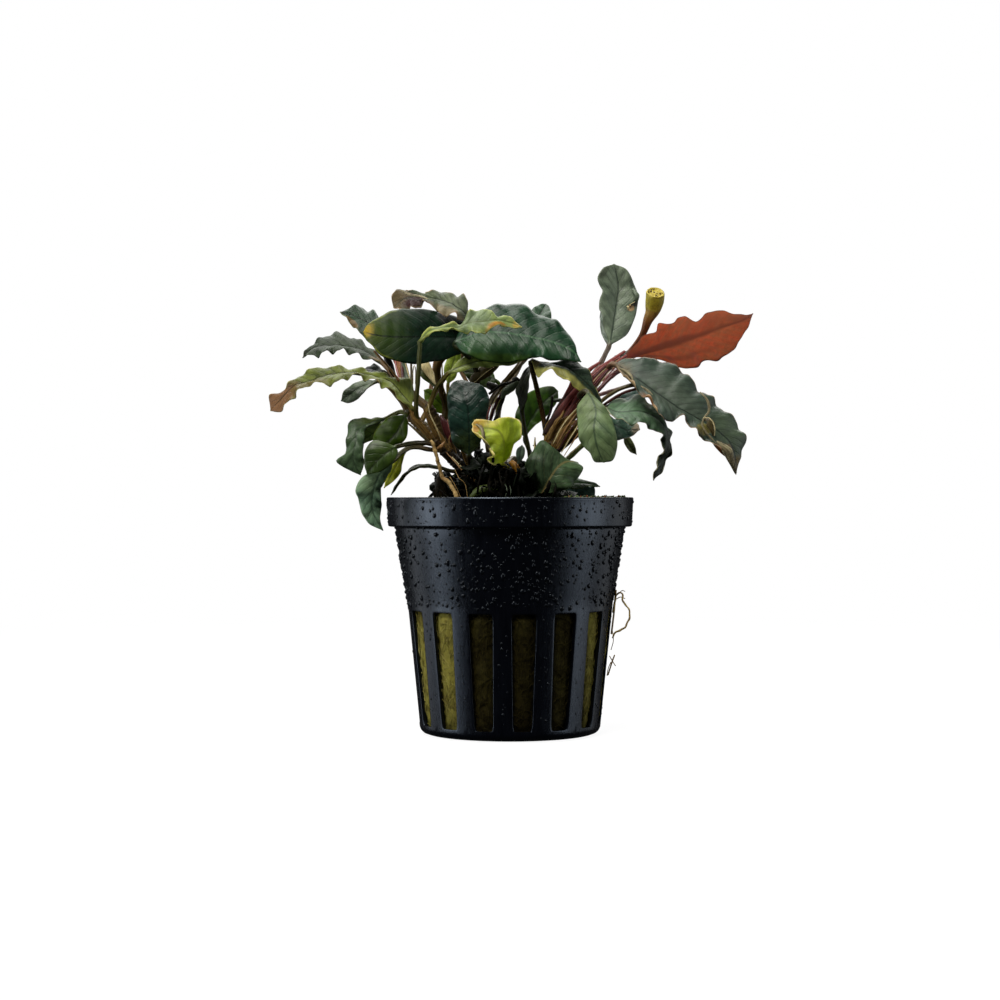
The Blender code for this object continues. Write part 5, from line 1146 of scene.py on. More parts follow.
def build_pot():
    points, quads = [], []

    def ring(xyz):
        start = sum(len(p) for p in points)
        points.append(np.asarray(xyz, float))
        return start + np.arange(len(xyz))

    def band(a, b, closed=True):
        n = len(a)
        for i in range(n if closed else n - 1):
            j = (i + 1) % n
            quads.append((a[i], a[j], b[j], b[i]))

    def turn(angle, radius, z):
        return np.stack([radius * np.sin(angle), -radius * np.cos(angle), z], 1)

    half = PITCH / 2
    wall = 1.0
    for k in range(SLOTS):
        mid = math.radians(FIRST_SLOT_DEG) + k * PITCH
        wob = 1.0
        # wall slot
        frame_xy, hole_xy = frame_grid(
            half, 1.4, 28.6,
            lambda z: np.interp(z, [2.2, 27.0], [2.05 / 20.0, 2.7 / 22.45]),
            2.2, 27.0, (0.26, 0.75))
        rows = []
        for w, sink in ((1, 0), (0.66, 0), (0.34, 0), (0.14, 0), (0.05, 0.02), (0.012, 0.10), (0.0, 0.24)):
            xy = hole_xy * (1 - w) + frame_xy * w
            rows.append(ring(turn(mid + xy[:, 0], outer_radius(xy[:, 1]) - sink, xy[:, 1])))
        for sink, w in ((0.76, 0.0), (0.90, 0.012), (1.0, 0.05), (1.0, 0.34), (1.0, 1.0)):
            xy = hole_xy * (1 - w) + frame_xy * w
            rows.append(ring(turn(mid + xy[:, 0], outer_radius(xy[:, 1]) - sink, xy[:, 1])))
        for a, b in zip(rows[:-1], rows[1:]):
            band(a, b)
        # base hole, in angle and radius
        frame_xy, hole_xy = frame_grid(
            half, 6.2, 16.6, lambda r: np.full_like(r, math.radians(4.8)), 8.0, 15.0, (0.35, 0.5))
        rows = []
        for w, z in ((1, 0), (0.5, 0), (0.08, 0), (0.0, 0.2), (0.0, 0.8), (0.08, 1.0), (0.5, 1.0), (1, 1.0)):
            xy = hole_xy * (1 - w) + frame_xy * w
            rows.append(ring(turn(mid + xy[:, 0], xy[:, 1], np.full(len(xy), z))))
        for a, b in zip(rows[:-1], rows[1:]):
            band(a, b)
    # full rings share the angles of the frames' tops and bottoms
    one = side_points(14)[:-1] * half
    angles = np.concatenate([math.radians(FIRST_SLOT_DEG) + k * PITCH + one for k in range(SLOTS)])

    def circle(radius, z):
        return ring(turn(angles, np.full(len(angles), radius), np.full(len(angles), z)))

    foot = [circle(r, z) for r, z in [(16.6, 0.0)] + OUTER[:6]]
    for a, b in zip(foot[:-1], foot[1:]):
        band(a, b)
    inside_foot = [circle(r, z) for r, z in
                   [(16.6, 1.0), (17.6, 1.0), (18.3, 1.06), (18.7, 1.2), (outer_radius(1.4) - wall, 1.4)]]
    for a, b in zip(inside_foot[:-1], inside_foot[1:]):
        band(a, b)
    up = [circle(outer_radius(z), z) for z in np.linspace(28.6, 44.7, 9)]
    up += [circle(r, z) for r, z in [
        (25.16, 44.95), (25.24, 45.10), (25.45, 45.18), (26.35, 45.20), (26.62, 45.26), (26.76, 45.42), (26.80, 45.65),
        (26.90, 47.6), (27.00, 49.6), (27.04, 50.75), (27.10, 51.0), (27.12, 51.25), (27.06, 51.48), (26.86, 51.6),
        (26.5, 51.6), (26.26, 51.52), (26.12, 51.3), (26.05, 50.6), (25.95, 48.6), (25.85, 46.8), (25.7, 46.3),
        (25.2, 46.05), (24.6, 45.95), (24.3, 45.7), (24.2, 45.2)]]
    up += [circle(outer_radius(z) - wall, z) for z in np.linspace(44.0, 28.6, 6)]
    for a, b in zip(up[:-1], up[1:]):
        band(a, b)
    hub = [circle(r, z) for r, z in [(6.2, 0.0), (3.0, 0.0), (0.6, 0.0)]]
    top_hub = [circle(r, z) for r, z in [(6.2, 1.0), (3.0, 1.0), (0.6, 1.0)]]
    for rings in (hub, top_hub):
        for a, b in zip(rings[:-1], rings[1:]):
            band(a, b)
    tris = []
    for rings, z in ((hub, 0.0), (top_hub, 1.0)):
        c = ring([(0, 0, z)])[0]
        last = rings[-1]
        for i in range(len(last)):
            tris.append((last[i], last[(i + 1) % len(last)], c))
    p = np.vstack(points) * MM
    # joins the rings' shared points
    key = np.round(p / 1e-7).astype(np.int64)
    _, first, back = np.unique(key, axis=0, return_index=True, return_inverse=True)
    back = back.ravel()
    p = p[first]
    q = back[np.array(quads)]
    tr = back[np.array(tris)]
    mesh = make_mesh("net_pot_shell", p, q, tr, smooth_shading=False)
    import bmesh

    bm = bmesh.new()
    bm.from_mesh(mesh)
    bmesh.ops.dissolve_degenerate(bm, dist=1e-8, edges=bm.edges)
    bmesh.ops.recalc_face_normals(bm, faces=bm.faces)
    if bm.calc_volume(signed=True) < 0:
        bmesh.ops.reverse_faces(bm, faces=bm.faces)
    bm.to_mesh(mesh)
    bm.free()
    mesh.shade_smooth()
    mesh.set_sharp_from_angle(angle=math.radians(50))
    return mesh


def pot_material():
    g = Graph("wet_black_plastic")
    where = g.where()
    cloud = g.noise(where, 0.10, 3, 0.55)
    streak = g.noise(g.where((1, 1, 0.16)), 0.9, 3, 0.6)
    fine = g.noise(where, 9.0, 2, 0.6)
    scuff = g.noise(g.where((1, 1, 3.0)), 2.2, 4, 0.65)
    colour = g.mix(g.smooth(cloud, 0.35, 0.65), (0.0004, 0.0005, 0.0016), (0.0009, 0.0011, 0.0026))
    colour = g.mix(g.smooth(scuff, 0.60, 0.80, 0.0, 0.5), colour, (0.010, 0.011, 0.014))
    rough = g.math("ADD", 0.27, g.math("MULTIPLY", g.math("SUBTRACT", streak, 0.5), 0.28))
    rough = g.math("ADD", rough, g.smooth(scuff, 0.6, 0.8, 0.0, 0.12))
    height = g.math("ADD", g.math("MULTIPLY", fine, 0.5), g.math("MULTIPLY", streak, 0.5))
    return g.surface(colour, rough, g.bump(height, 0.00005, 0.6), specular=0.5, ior=1.5, tint=(0.66, 0.80, 1.0))


def drop_material():
    g = Graph("water_drops")
    where = g.where()
    swirl = g.noise(where, 1.5, 2)
    colour = g.mix(swirl, (0.0015, 0.002, 0.003), (0.005, 0.006, 0.009))
    rough = g.smooth(swirl, 0.3, 0.7, 0.12, 0.26)
    return g.surface(colour, rough, g.bump(g.noise(where, 3.0, 1), 0.00002, 0.3), specular=0.38, ior=1.4, tint=(0.8, 0.9, 1.0))


show("net_pot_shell", build_pot(), pot_material(), "net_pot")


def pot_surface(angle, z):
    """Outer point and outward direction at an angle from the front, in millimetres."""
    if z > 45.3:
        radius, slope = 26.78 + (z - 45.5) * 0.048, 0.048
    else:
        radius, slope = float(outer_radius(z)), 0.125
    out = np.array([math.sin(angle), -math.cos(angle), 0.0])
    normal = unit(out - np.array([0, 0, slope]))
    return out * radius + np.array([0, 0, z]), normal


def build_drops():
    rng = np.random.default_rng(7)
    heap = Heap()
    placed = []

    def drop(angle, z, size, stretch):
        for b, y, s in placed:
            gap = math.hypot((((angle - b) + math.pi) % TAU - math.pi) * 25, z - y)
            if gap < (size + s) * 0.92:
                return False
        placed.append((angle, z, size))
        centre, normal = pot_surface(angle, z)
        side = unit(np.cross(normal, (0, 0, 1.0)))
        down = np.cross(normal, side)
        rows = []
        a = np.arange(10 if size > 0.30 else 8 if size > 0.20 else 6)
        a = a * TAU / len(a)
        wobble = 1 + 0.13 * np.sin(a * 2 + rng.uniform(0, TAU)) + 0.08 * np.sin(a * 3 + rng.uniform(0, TAU))
        tall = size * rng.uniform(0.50, 0.72)
        shape = ((1.0, -0.12), (1.0, 0.05), (0.93, 0.38), (0.72, 0.72), (0.40, 0.94))
        if size < 0.30:
            shape = ((1.0, -0.12), (0.98, 0.15), (0.80, 0.60), (0.42, 0.93))
        if size < 0.20:
            shape = ((1.0, -0.12), (0.97, 0.2), (0.66, 0.76))
        for share, rise in shape:
            sag = 0.08 * size * stretch * (1 - rise)
            ring = centre + normal * rise * tall
            rows.append(ring + (np.cos(a) * size * share * wobble)[:, None] * side
                        + (np.sin(a) * size * share * wobble * stretch)[:, None] * down
                        + (np.where(np.sin(a) > 0, sag, 0))[:, None] * down)
        top = centre + normal * tall
        points = np.vstack(rows + [centre[None] - normal * 0.2 * tall, top[None]])
        quads, tris = ring_faces(len(shape), len(a))
        heap.take(points * MM, quads, tris, (size, rng.random(), 0))
        return True

    def scatter(count, low, high, sizes, tries=14):
        done = 0
        for _ in range(count * tries):
            if done >= count:
                break
            z = rng.uniform(low, high)
            angle = rng.uniform(0, TAU)
            size = sizes[0] + (sizes[1] - sizes[0]) * rng.random() ** 1.9
            if z - size < low - 0.3 or z + size > high + 0.3:
                continue
            if z < 27.4:
                off = (angle - math.radians(FIRST_SLOT_DEG) + PITCH / 2) % PITCH - PITCH / 2
                if abs(off) < PITCH / 2 - 0.055:
                    continue
            stretch = rng.uniform(0.92, 1.12) if rng.random() < 0.92 else rng.uniform(1.25, 1.7)
            done += drop(angle, z, size, stretch)

    scatter(400, 45.9, 51.1, (0.12, 0.50))
    scatter(1350, 27.9, 44.7, (0.12, 0.56))
    scatter(330, 3.2, 27.2, (0.09, 0.32))
    # drops that hang on the collar's lower edge
    for _ in range(80):
        drop(rng.uniform(0, TAU), 45.05, rng.uniform(0.16, 0.5), 0.9)
    return heap.mesh("water_drops")


show("water_drops", build_drops(), drop_material())


# Rock wool: a felted plug that swells into the slots, with loose fibres

def felt(angle, z, rng_seed=3):
    rng = np.random.default_rng(rng_seed)
    out = np.zeros(np.broadcast(angle, z).shape)
    for k in range(26):
        m = rng.integers(6, 90)
        f = rng.uniform(0.2, 3.2)
        out = out + np.sin(m * angle + f * z + rng.uniform(0, TAU)) / (1 + 0.03 * m + 0.5 * f)
    return out / 4.2


def build_wool():
    na, nz = 250, 80
    angle = np.arange(na) * TAU / na
    z = np.concatenate([np.linspace(1.4, 45.0, nz - 8), [46.2, 47.4, 48.3, 48.9, 49.2, 49.3, 49.4, 49.45]])
    A, Z = np.meshgrid(angle, z)
    off = (A - math.radians(FIRST_SLOT_DEG) + PITCH / 2) % PITCH - PITCH / 2
    half = np.interp(Z, [2.2, 27.0], [2.05 / 20.0, 2.7 / 22.45])
    bulge = np.clip(1 - (off / (half * 1.02)) ** 2, 0, 1) ** 0.7 * smooth(Z, 2.2, 3.6) * (1 - smooth(Z, 25.5, 27.2))
    R = outer_radius(Z) - 1.35 + 0.75 * bulge + 0.20 * felt(A, Z) * (0.25 + bulge)
    R = np.where(Z > 45.2, np.interp(Z, [45.2, 47.4, 48.9, 49.2, 49.3, 49.4, 49.45], [23.8, 23.6, 22.6, 20.0, 14.0, 8.0, 2.0]), R)
    Z = Z + np.where(Z > 48.0, 0.45 * felt(A * 1.0, Z * 0 + R * 0.6, 5) * np.minimum(1, R / 8), 0)
    points = np.stack([R * np.sin(A), -R * np.cos(A), Z], -1).reshape(-1, 3)
    points = np.vstack([points, [0, 0, 1.5], [0, 0, 49.45]]) * MM
    heap = Heap()
    heap.take(points, *ring_faces(len(z), na))
    return heap.mesh("wool_felt")


def build_fibres():
    rng = np.random.default_rng(11)
    heap = Heap()
    for k in range(SLOTS):
        mid = math.radians(FIRST_SLOT_DEG) + k * PITCH
        for _ in range(95):
            z0 = rng.uniform(2.4, 26.6)
            half = np.interp(z0, [2.2, 27.0], [2.05, 2.7]) * 0.92
            x0 = rng.uniform(-half, half)
            way = rng.normal(math.pi / 2, 0.75)
            run = rng.uniform(1.5, 5.5)
            steps = 5
            q = np.linspace(0, 1, steps)
            bend = rng.normal(0, 0.8)
            x = x0 + np.cos(way + bend * q) * run * q
            z = z0 + np.sin(way + bend * q) * run * q
            z = np.clip(z, 2.3, 26.9)
            lim = np.interp(z, [2.2, 27.0], [2.05, 2.7]) * 0.97
            x = np.clip(x, -lim, lim)
            R = outer_radius(z) - 0.62 + 0.30 * np.sin(q * math.pi) * rng.uniform(0.2, 1.0) - 0.30 * (x / lim) ** 2
            ang = mid + x / R
            path = np.stack([R * np.sin(ang), -R * np.cos(ang), z], 1) * MM
            pts, quads, tris = tube(path, rng.uniform(0.035, 0.075) * MM, 4)
            heap.take(pts, quads, tris, (rng.random(), 0, 0))
    # fibres over the top of the plug
    for _ in range(420):
        r0, a0 = 23.0 * math.sqrt(rng.random()), rng.uniform(0, TAU)
        way, run, q = rng.uniform(0, TAU), rng.uniform(2, 7), np.linspace(0, 1, 5)
        x = r0 * math.sin(a0) + np.cos(way + q * rng.normal(0, 1)) * run * q
        y = -r0 * math.cos(a0) + np.sin(way + q * rng.normal(0, 1)) * run * q
        far = np.hypot(x, y)
        k = np.minimum(1, 23.2 / np.maximum(far, 1e-6))
        path = np.stack([x * k, y * k, 49.5 + 0.5 * np.sin(q * math.pi) * rng.random() + 0 * x], 1) * MM
        pts, quads, tris = tube(path, rng.uniform(0.04, 0.09) * MM, 4)
        heap.take(pts, quads, tris, (rng.random(), 1, 0))
    return heap.mesh("wool_fibres")


def wool_material(name, fibres):
    g = Graph(name)
    where = g.where()
    broad = g.noise(where, 0.16, 3, 0.6)
    lumps = g.noise(where, 0.9, 4, 0.65)
    strands = g.noise(g.where((1.5, 1.5, 0.30)), 3.0, 4, 0.7, 0.6)
    fine = g.noise(where, 12.0, 2, 0.6)
    colour = g.mix(g.smooth(broad, 0.38, 0.62), srgb(142, 136, 62), srgb(104, 96, 42))
    colour = g.mix(g.smooth(lumps, 0.50, 0.72, 0.0, 0.7), colour, srgb(64, 54, 24))
    colour = g.mix(g.smooth(strands, 0.52, 0.70, 0.0, 0.6), colour, srgb(178, 172, 96))
    colour = g.mix(g.smooth(fine, 0.3, 0.55, 0.5, 0.0), colour, srgb(58, 50, 24))
    if fibres:
        pick, _, _ = g.split(g.attribute("tag"))
        colour = g.mix(g.smooth(pick, 0.3, 0.9, 0.0, 0.6), colour, srgb(176, 166, 98))
    # painted light and shade: dark in the middle of the front, where the wool lies in shade, and paler at both sides
    # and behind, where the side lamps light it
    x, y, z = g.split(where)
    edge_at = g.math("ADD", g.math("MULTIPLY", g.math("SUBTRACT", lumps, 0.5), 2.0), x)
    left = g.smooth(edge_at, -12.2, -10.2, 1.0, 0.0)
    right = g.smooth(edge_at, 14.6, 16.6)
    behind = g.smooth(y, -9.0, 3.0)
    side_light = g.math("MAXIMUM", g.math("MAXIMUM", left, right), g.math("MULTIPLY", behind, 0.6))
    front_shade = g.mix(g.smooth(lumps, 0.40, 0.60), srgb(30, 25, 7), srgb(15, 11, 4))
    front_shade = g.mix(g.smooth(strands, 0.55, 0.72, 0.0, 0.7), front_shade, srgb(60, 54, 18))
    colour = g.mix(g.smooth(side_light, 0.0, 1.0, 0.94, 0.0), colour, front_shade)
    colour = g.mix(g.smooth(z, 2.0, 12.0, 0.35, 0.0), colour, srgb(24, 18, 8))
    height = g.math("ADD", g.math("MULTIPLY", strands, 0.7), g.math("MULTIPLY", fine, 0.3))
    rough = g.smooth(lumps, 0.3, 0.7, 0.55, 0.8)
    return g.surface(colour, rough, g.bump(height, 0.0003, 1.0), specular=0.06, ior=1.4)


show("wool_felt", build_wool(), wool_material("felted_wool", False), "wool_plug")
show("wool_fibres", build_fibres(), wool_material("loose_wool", True))


# Creeping stems, ringed by leaf scars

def ringed_stem(name, seed):
    rng = np.random.default_rng(seed)
    curve, radii = axis_and_radius(name)
    run = length_of(curve)
    rows = int(run / (0.16 * MM))
    t = np.linspace(0, 1, rows)
    at = t * run / MM
    r = np.interp(t, np.linspace(0, 1, len(radii)), radii) * 0.94
    marks = np.cumsum(rng.uniform(1.1, 2.1, 40)) - 1
    marks = marks[marks < at[-1]]
    sides = 40
    a = np.arange(sides) * TAU / sides
    shape = np.zeros((rows, sides))
    for m in marks:
        lean, phase = rng.uniform(0.15, 0.6), rng.uniform(0, TAU)
        d = at[:, None] - m - lean * np.sin(a + phase)[None]
        shape += 0.13 * np.exp(-((d / 0.16) ** 2)) - 0.10 * np.exp(-(((d - 0.38) / 0.22) ** 2))
    for k in range(6):
        n, f = rng.integers(2, 9), rng.uniform(0.1, 0.9)
        shape += 0.022 * np.sin(n * a[None] + f * at[:, None] + rng.uniform(0, TAU))
    r = r * (1 - 0.5 * smooth(t, 0.93, 1.0))
    points, quads, tris = tube(read(curve, t), r, sides, 1 + shape)
    heap = Heap()
    heap.take(points, quads, tris)
    return heap.mesh(name + "_stem")


def stem_material(name, light, dark, warm, gloss=0.4, low=None):
    g = Graph(name)
    where = g.where()
    broad = g.noise(where, 0.35, 3, 0.6)
    flakes = g.noise(where, 1.6, 4, 0.7)
    fine = g.noise(where, 7.0, 3, 0.6)
    colour = g.mix(g.smooth(broad, 0.35, 0.65), srgb(*light), srgb(*dark))
    colour = g.mix(g.smooth(flakes, 0.52, 0.70, 0.0, 0.75), colour, srgb(*warm))
    colour = g.mix(g.smooth(flakes, 0.28, 0.44, 0.8, 0.0), colour, srgb(*[c * 0.35 for c in dark]))
    colour = g.mix(g.smooth(fine, 0.55, 0.75, 0.0, 0.35), colour, srgb(*[min(255, c * 1.3 + 12) for c in light]))
    # painted shade: below the given height the colour runs to near-black, for the shade in the middle of the plant over
    # the rim
    if low is not None:
        x, y, z = g.split(where)
        colour = g.mix(g.smooth(z, low - 3.5, low + 3.5, 0.9, 0.0), colour, srgb(16, 11, 7))
    height = g.math("ADD", g.math("MULTIPLY", flakes, 0.6), g.math("MULTIPLY", fine, 0.4))
    rough = g.smooth(flakes, 0.3, 0.7, 0.40, 0.68)
    return g.surface(colour, rough, g.bump(height, 0.00018, 0.9), specular=gloss)


bark = stem_material("ringed_bark", (112, 92, 52), (66, 50, 28), (92, 48, 36), 0.3, 64.0)
# painted shade: the middle stem, deep in the shade over the rim, is coloured near-black
bark_dark = stem_material("shade_dark_bark", (34, 26, 16), (18, 13, 8), (28, 17, 12), 0.12)
show("rhizome_left_stem", ringed_stem("rhizome_left", 21), bark, "rhizome_left")
show("rhizome_fork_stem", ringed_stem("rhizome_fork", 22), bark, "rhizome_fork")
show("rhizome_centre_stem", ringed_stem("rhizome_centre", 23), bark_dark, "rhizome_centre")
show("rhizome_back_stem", ringed_stem("rhizome_back", 24), bark, "rhizome_back")
show("rhizome_right_stem", ringed_stem("rhizome_right", 25), bark, "rhizome_right")


# Thin curved strips: bud sheaths, scales and margins that turn over

def strip(heap, points, widths, face=(0, -1, 0.2), curl=0.9, thick=0.14, tag=(0, 0, 0), rows=26, twist=0.0, wave=0.0,
          on_sheet=True):
    pts = place(points) if on_sheet else np.asarray(points, float)
    path = read(curve_through(pts), np.linspace(0, 1, rows))
    tangent = unit(np.gradient(path, axis=0))
    t = np.linspace(0, 1, rows)
    w = np.interp(t, np.linspace(0, 1, len(widths)), widths) * MM
    w = np.maximum(w, 0.04 * MM)
    face = np.asarray(face, float)
    n = 9
    arc = np.linspace(-curl, curl, n)
    rings = []
    for i in range(rows):
        side = np.cross(tangent[i], face)
        if np.linalg.norm(side) < 0.15:
            side = np.cross(tangent[i], (1.0, 0.1, 0.2))
        side = unit(side)
        out = np.cross(side, tangent[i])
        out = out if np.dot(out, face) > 0 else -out
        c, s_ = math.cos(twist * t[i]), math.sin(twist * t[i])
        side, out = side * c + out * s_, out * c - side * s_
        radius = w[i] / max(curl, 0.05)
        ripple = wave * MM * np.sin(t[i] * TAU * 3 + np.sign(arc) * 1.2) * (np.abs(arc) / curl) ** 2
        sheet = path[i] + side * (radius * np.sin(arc))[:, None] - out * (radius * (1 - np.cos(arc)) - ripple)[:, None]
        local = out * np.cos(arc)[:, None] + side * np.sin(arc)[:, None]
        half = thick * MM / 2 * np.sqrt(1 - (arc / curl) ** 4)
        rings.append(np.vstack([sheet + local * half[:, None], (sheet - local * half[:, None])[-2:0:-1]]))
    m = len(rings[0])
    points = np.vstack(rings + [path[:1], path[-1:]])
    tags = np.zeros((len(points), 3))
    tags[:, 0] = tag[0]
    tags[:-2, 1] = np.repeat(t, m)
    tags[-1, 1] = 1
    ring_across = np.concatenate([arc / curl, (arc / curl)[-2:0:-1]])
    tags[:-2, 2] = np.tile(ring_across, rows)
    heap.take(points, *ring_faces(rows, m), tags)


def strip_material(name, light, dark, rim, share=0.15, streaks=7.0, rough=0.5, gloss=0.4, foot=None):
    g = Graph(name)
    where = g.where()
    pick, t, s = g.split(g.attribute("tag"))
    lines = g.noise(g.join(g.math("MULTIPLY", s, streaks), g.math("MULTIPLY", t, 1.6), g.math("MULTIPLY", pick, 9.0)), 1.0, 4, 0.65)
    blotch = g.noise(where, 0.8, 3, 0.6)
    fine = g.noise(where, 8.0, 2, 0.6)
    colour = g.mix(g.smooth(lines, 0.36, 0.62), srgb(*dark), srgb(*light))
    colour = g.mix(g.smooth(blotch, 0.5, 0.72, 0.0, 0.6), colour, srgb(*[c * 0.55 for c in dark]))
    colour = g.mix(g.smooth(g.math("ABSOLUTE", s), 0.72, 0.98, 0.0, 0.75), colour, srgb(*rim))
    colour = g.mix(g.smooth(fine, 0.55, 0.75, 0.0, 0.3), colour, srgb(*rim))
    if foot is not None:
        # darker towards each strip's foot
        nearer_foot = g.math("ADD", t, g.math("MULTIPLY", g.math("SUBTRACT", lines, 0.5), 0.5))
        colour = g.mix(g.smooth(nearer_foot, 0.22, 0.60, 0.92, 0.0), colour, srgb(*foot))
    height = g.math("ADD", g.math("MULTIPLY", lines, 0.7), g.math("MULTIPLY", fine, 0.3))
    roughness = g.math("ADD", rough, g.math("MULTIPLY", g.math("SUBTRACT", blotch, 0.5), 0.2))
    return g.surface(colour, roughness, g.bump(height, 0.00012, 0.8), specular=gloss, through=colour, share=share)


# Maroon leaf bases that wrap the right stem
maroon = Heap()
rng = np.random.default_rng(31)
for points, widths, tag in [
    ([(545, 434, -8.5), (556, 417, -9.5), (570, 398, -9.8), (582, 384, -9.5), (592, 374, -9)], [1.0, 1.3, 1.2, 1.0, 0.6], 0.1),
    ([(552, 438, -8.8), (564, 420, -9.6), (577, 401, -9.8), (590, 384, -9.6), (603, 370, -8.6)], [0.9, 1.2, 1.2, 0.9, 0.5], 0.4),
    ([(548, 428, -8.0), (560, 406, -8.6), (573, 388, -8.8), (588, 371, -8.2), (600, 362, -7)], [0.6, 0.9, 0.9, 0.8, 0.3], 0.7),
    ([(574, 406, -9.6), (588, 389, -9.8), (603, 374, -8.6), (616, 363, -6.5), (627, 355, -4)], [0.6, 0.8, 0.8, 0.6, 0.4], 0.2),
    ([(570, 404, -9.0), (584, 385, -9.2), (598, 370, -8.2), (611, 361, -6), (625, 351, -3)], [0.6, 0.8, 0.8, 0.7, 0.4], 0.55),
    ([(582, 392, -9.2), (595, 377, -9.0), (609, 365, -7.4), (620, 357, -5)], [0.4, 0.55, 0.5, 0.2], 0.9),
    ([(562, 410, -8.8), (566, 397, -8.8), (571, 386, -8.6), (575, 372, -8)], [0.6, 0.9, 0.7, 0.3], 0.3),
]:
    strip(maroon, points, widths, curl=1.3, thick=0.2, tag=(tag, 0, 0), rows=34, wave=0.05)
show("maroon_leaf_bases", maroon.mesh("maroon_leaf_bases"),
     strip_material("maroon_scales", (150, 74, 70), (86, 30, 32), (186, 140, 120), 0.1, 9.0, 0.45, 0.3, (30, 20, 14)))

# Brown, olive and tan sheaths at the foot of the right stem
brown = Heap()
for points, widths, tag, twist in [
    ([(545, 446, -8), (551, 431, -9), (560, 416, -9.5), (570, 406, -9)], [0.9, 1.2, 0.9, 0.1], 0.1, 0.2),
    ([(552, 449, -9), (560, 434, -10.5), (569, 420, -10.5), (578, 409, -9.5)], [0.8, 1.1, 0.9, 0.1], 0.3, -0.3),
    ([(557, 450, -9), (566, 437, -11), (576, 425, -11.3), (585, 414, -10.5)], [0.7, 1.0, 0.8, 0.1], 0.5, 0.3),
    ([(549, 440, -10), (555, 428, -11.3), (563, 420, -11.6), (568, 416, -11)], [0.5, 1.0, 0.7, 0.1], 0.7, -0.4),
    ([(556, 443, -11), (563, 431, -12.2), (572, 423, -12.3), (580, 419, -11.5)], [0.4, 0.8, 0.6, 0.1], 0.9, 0.4),
    ([(544, 436, -7.6), (549, 424, -8.3), (556, 414, -8.4), (560, 408, -8)], [0.6, 0.8, 0.5, 0.1], 0.2, 0.1),
    ([(553, 430, -11.8), (556, 422, -12.3), (561, 416, -12.3), (564, 410, -12)], [0.3, 0.6, 0.4, 0.05], 0.6, 0.5),
    ([(548, 455, -7), (556, 447, -9), (566, 441, -10), (577, 432, -10), (584, 425, -9)], [0.7, 0.8, 0.8, 0.7, 0.3], 0.4, 0.0),
    # left stem
    ([(450, 452, -9), (440, 438, -10), (431, 424, -10.5), (423, 408, -10.5)], [0.8, 1.0, 0.8, 0.1], 0.25, 0.2),
    ([(456, 458, -7), (452, 446, -8), (450, 436, -8.5), (449, 424, -8.5)], [0.6, 0.9, 0.7, 0.1], 0.8, -0.2),
    ([(432, 440, -10.5), (422, 427, -11.5), (414, 418, -12), (408, 404, -12)], [0.6, 1.0, 0.9, 0.2], 0.35, 0.2),
    ([(470, 470, -7), (463, 452, -9), (457, 440, -10), (451, 436, -10)], [0.5, 0.6, 0.5, 0.1], 0.55, 0.6),
    # short sheath tips between the stems
    ([(536, 462, -8), (536, 453, -9), (535, 445, -9.5), (535, 437, -9.5)], [0.45, 0.5, 0.35, 0.05], 0.95, 0.2),
    ([(520, 487, -12), (521, 478, -13), (518, 469, -13.5), (511, 461, -13.5)], [0.6, 0.8, 0.7, 0.1], 0.75, 0.2),
    ([(541, 463, -7), (540, 456, -8), (538, 450, -8.5), (533, 445, -8.5)], [0.35, 0.4, 0.3, 0.05], 0.9, -0.4),
]:
    strip(brown, points, widths, curl=1.1, thick=0.16, tag=(tag, 0, 0), rows=24, twist=twist, wave=0.08)
show("brown_sheaths", brown.mesh("brown_sheaths"),
     strip_material("dry_sheaths", (150, 118, 60), (64, 44, 22), (198, 170, 118), 0.18, 8.0, 0.55, 0.25))

pale = Heap()
for points, widths, curl, tag in [
    # fold that crosses the long drooping leaf, and its brown curled tip
    ([(700, 392, -19.8), (706, 398, -20.6), (709, 405, -21), (708.6, 412, -21.2), (704, 418, -21.4), (702.4, 425, -21.6),
      (706, 432, -21.8), (711, 438, -21.8), (717, 444, -21.4)], [0.10, 0.24, 0.34, 0.30, 0.24, 0.22, 0.24, 0.22, 0.1], 0.7, 0.2),
    ([(716, 441, -21.0), (722, 446, -21.4), (728, 451, -21.4), (731, 459, -20.8), (734, 467, -19.8), (736, 473, -18.8)],
     [0.3, 1.0, 1.3, 0.9, 0.6, 0.35], 1.0, 0.8),
    ([(619, 368, -12.6), (626, 371, -14.4), (631, 376, -15.8), (633, 382, -16.4)], [0.1, 0.35, 0.5, 0.1], 1.1, 0.5),
    ([(641, 386, -16.8), (648, 391, -17.8), (653, 398, -18.4), (655, 405, -18.6)], [0.1, 0.4, 0.45, 0.1], 1.1, 0.7),
    # cream rim of the curled yellow-green leaf
    ([(476, 424, -19.4), (481, 427, -21.4), (483, 433, -22.4), (484, 440, -22.4), (489, 447, -21.8), (491, 455, -20.4),
      (488, 462, -18.6)], [0.2, 0.5, 0.5, 0.35, 0.4, 0.35, 0.2], 1.4, 0.3),
    # pinkish margin of the top leaf's lobe
    ([(401, 290, 1.0), (406, 293, 0.2), (412, 295, -0.8), (420, 296, -2.2), (428, 299, -4.6)], [0.1, 0.35, 0.3, 0.3, 0.1], 1.2, 0.6),
]:
    strip(pale, points, widths, curl=curl, thick=0.16, tag=(tag, 0, 0), rows=40, wave=0.06)
show("turned_margins", pale.mesh("turned_margins"),
     strip_material("pale_margins", (158, 150, 116), (96, 84, 58), (186, 178, 144), 0.2, 4.0, 0.5, 0.3))


# Other stalks between the leaves: their colour is picked by number

TONES = [(76, 28, 32), (150, 84, 80), (80, 70, 38), (160, 120, 76), (214, 198, 146), (14, 12, 9), (70, 84, 38),
         (96, 110, 90), (186, 128, 32)]


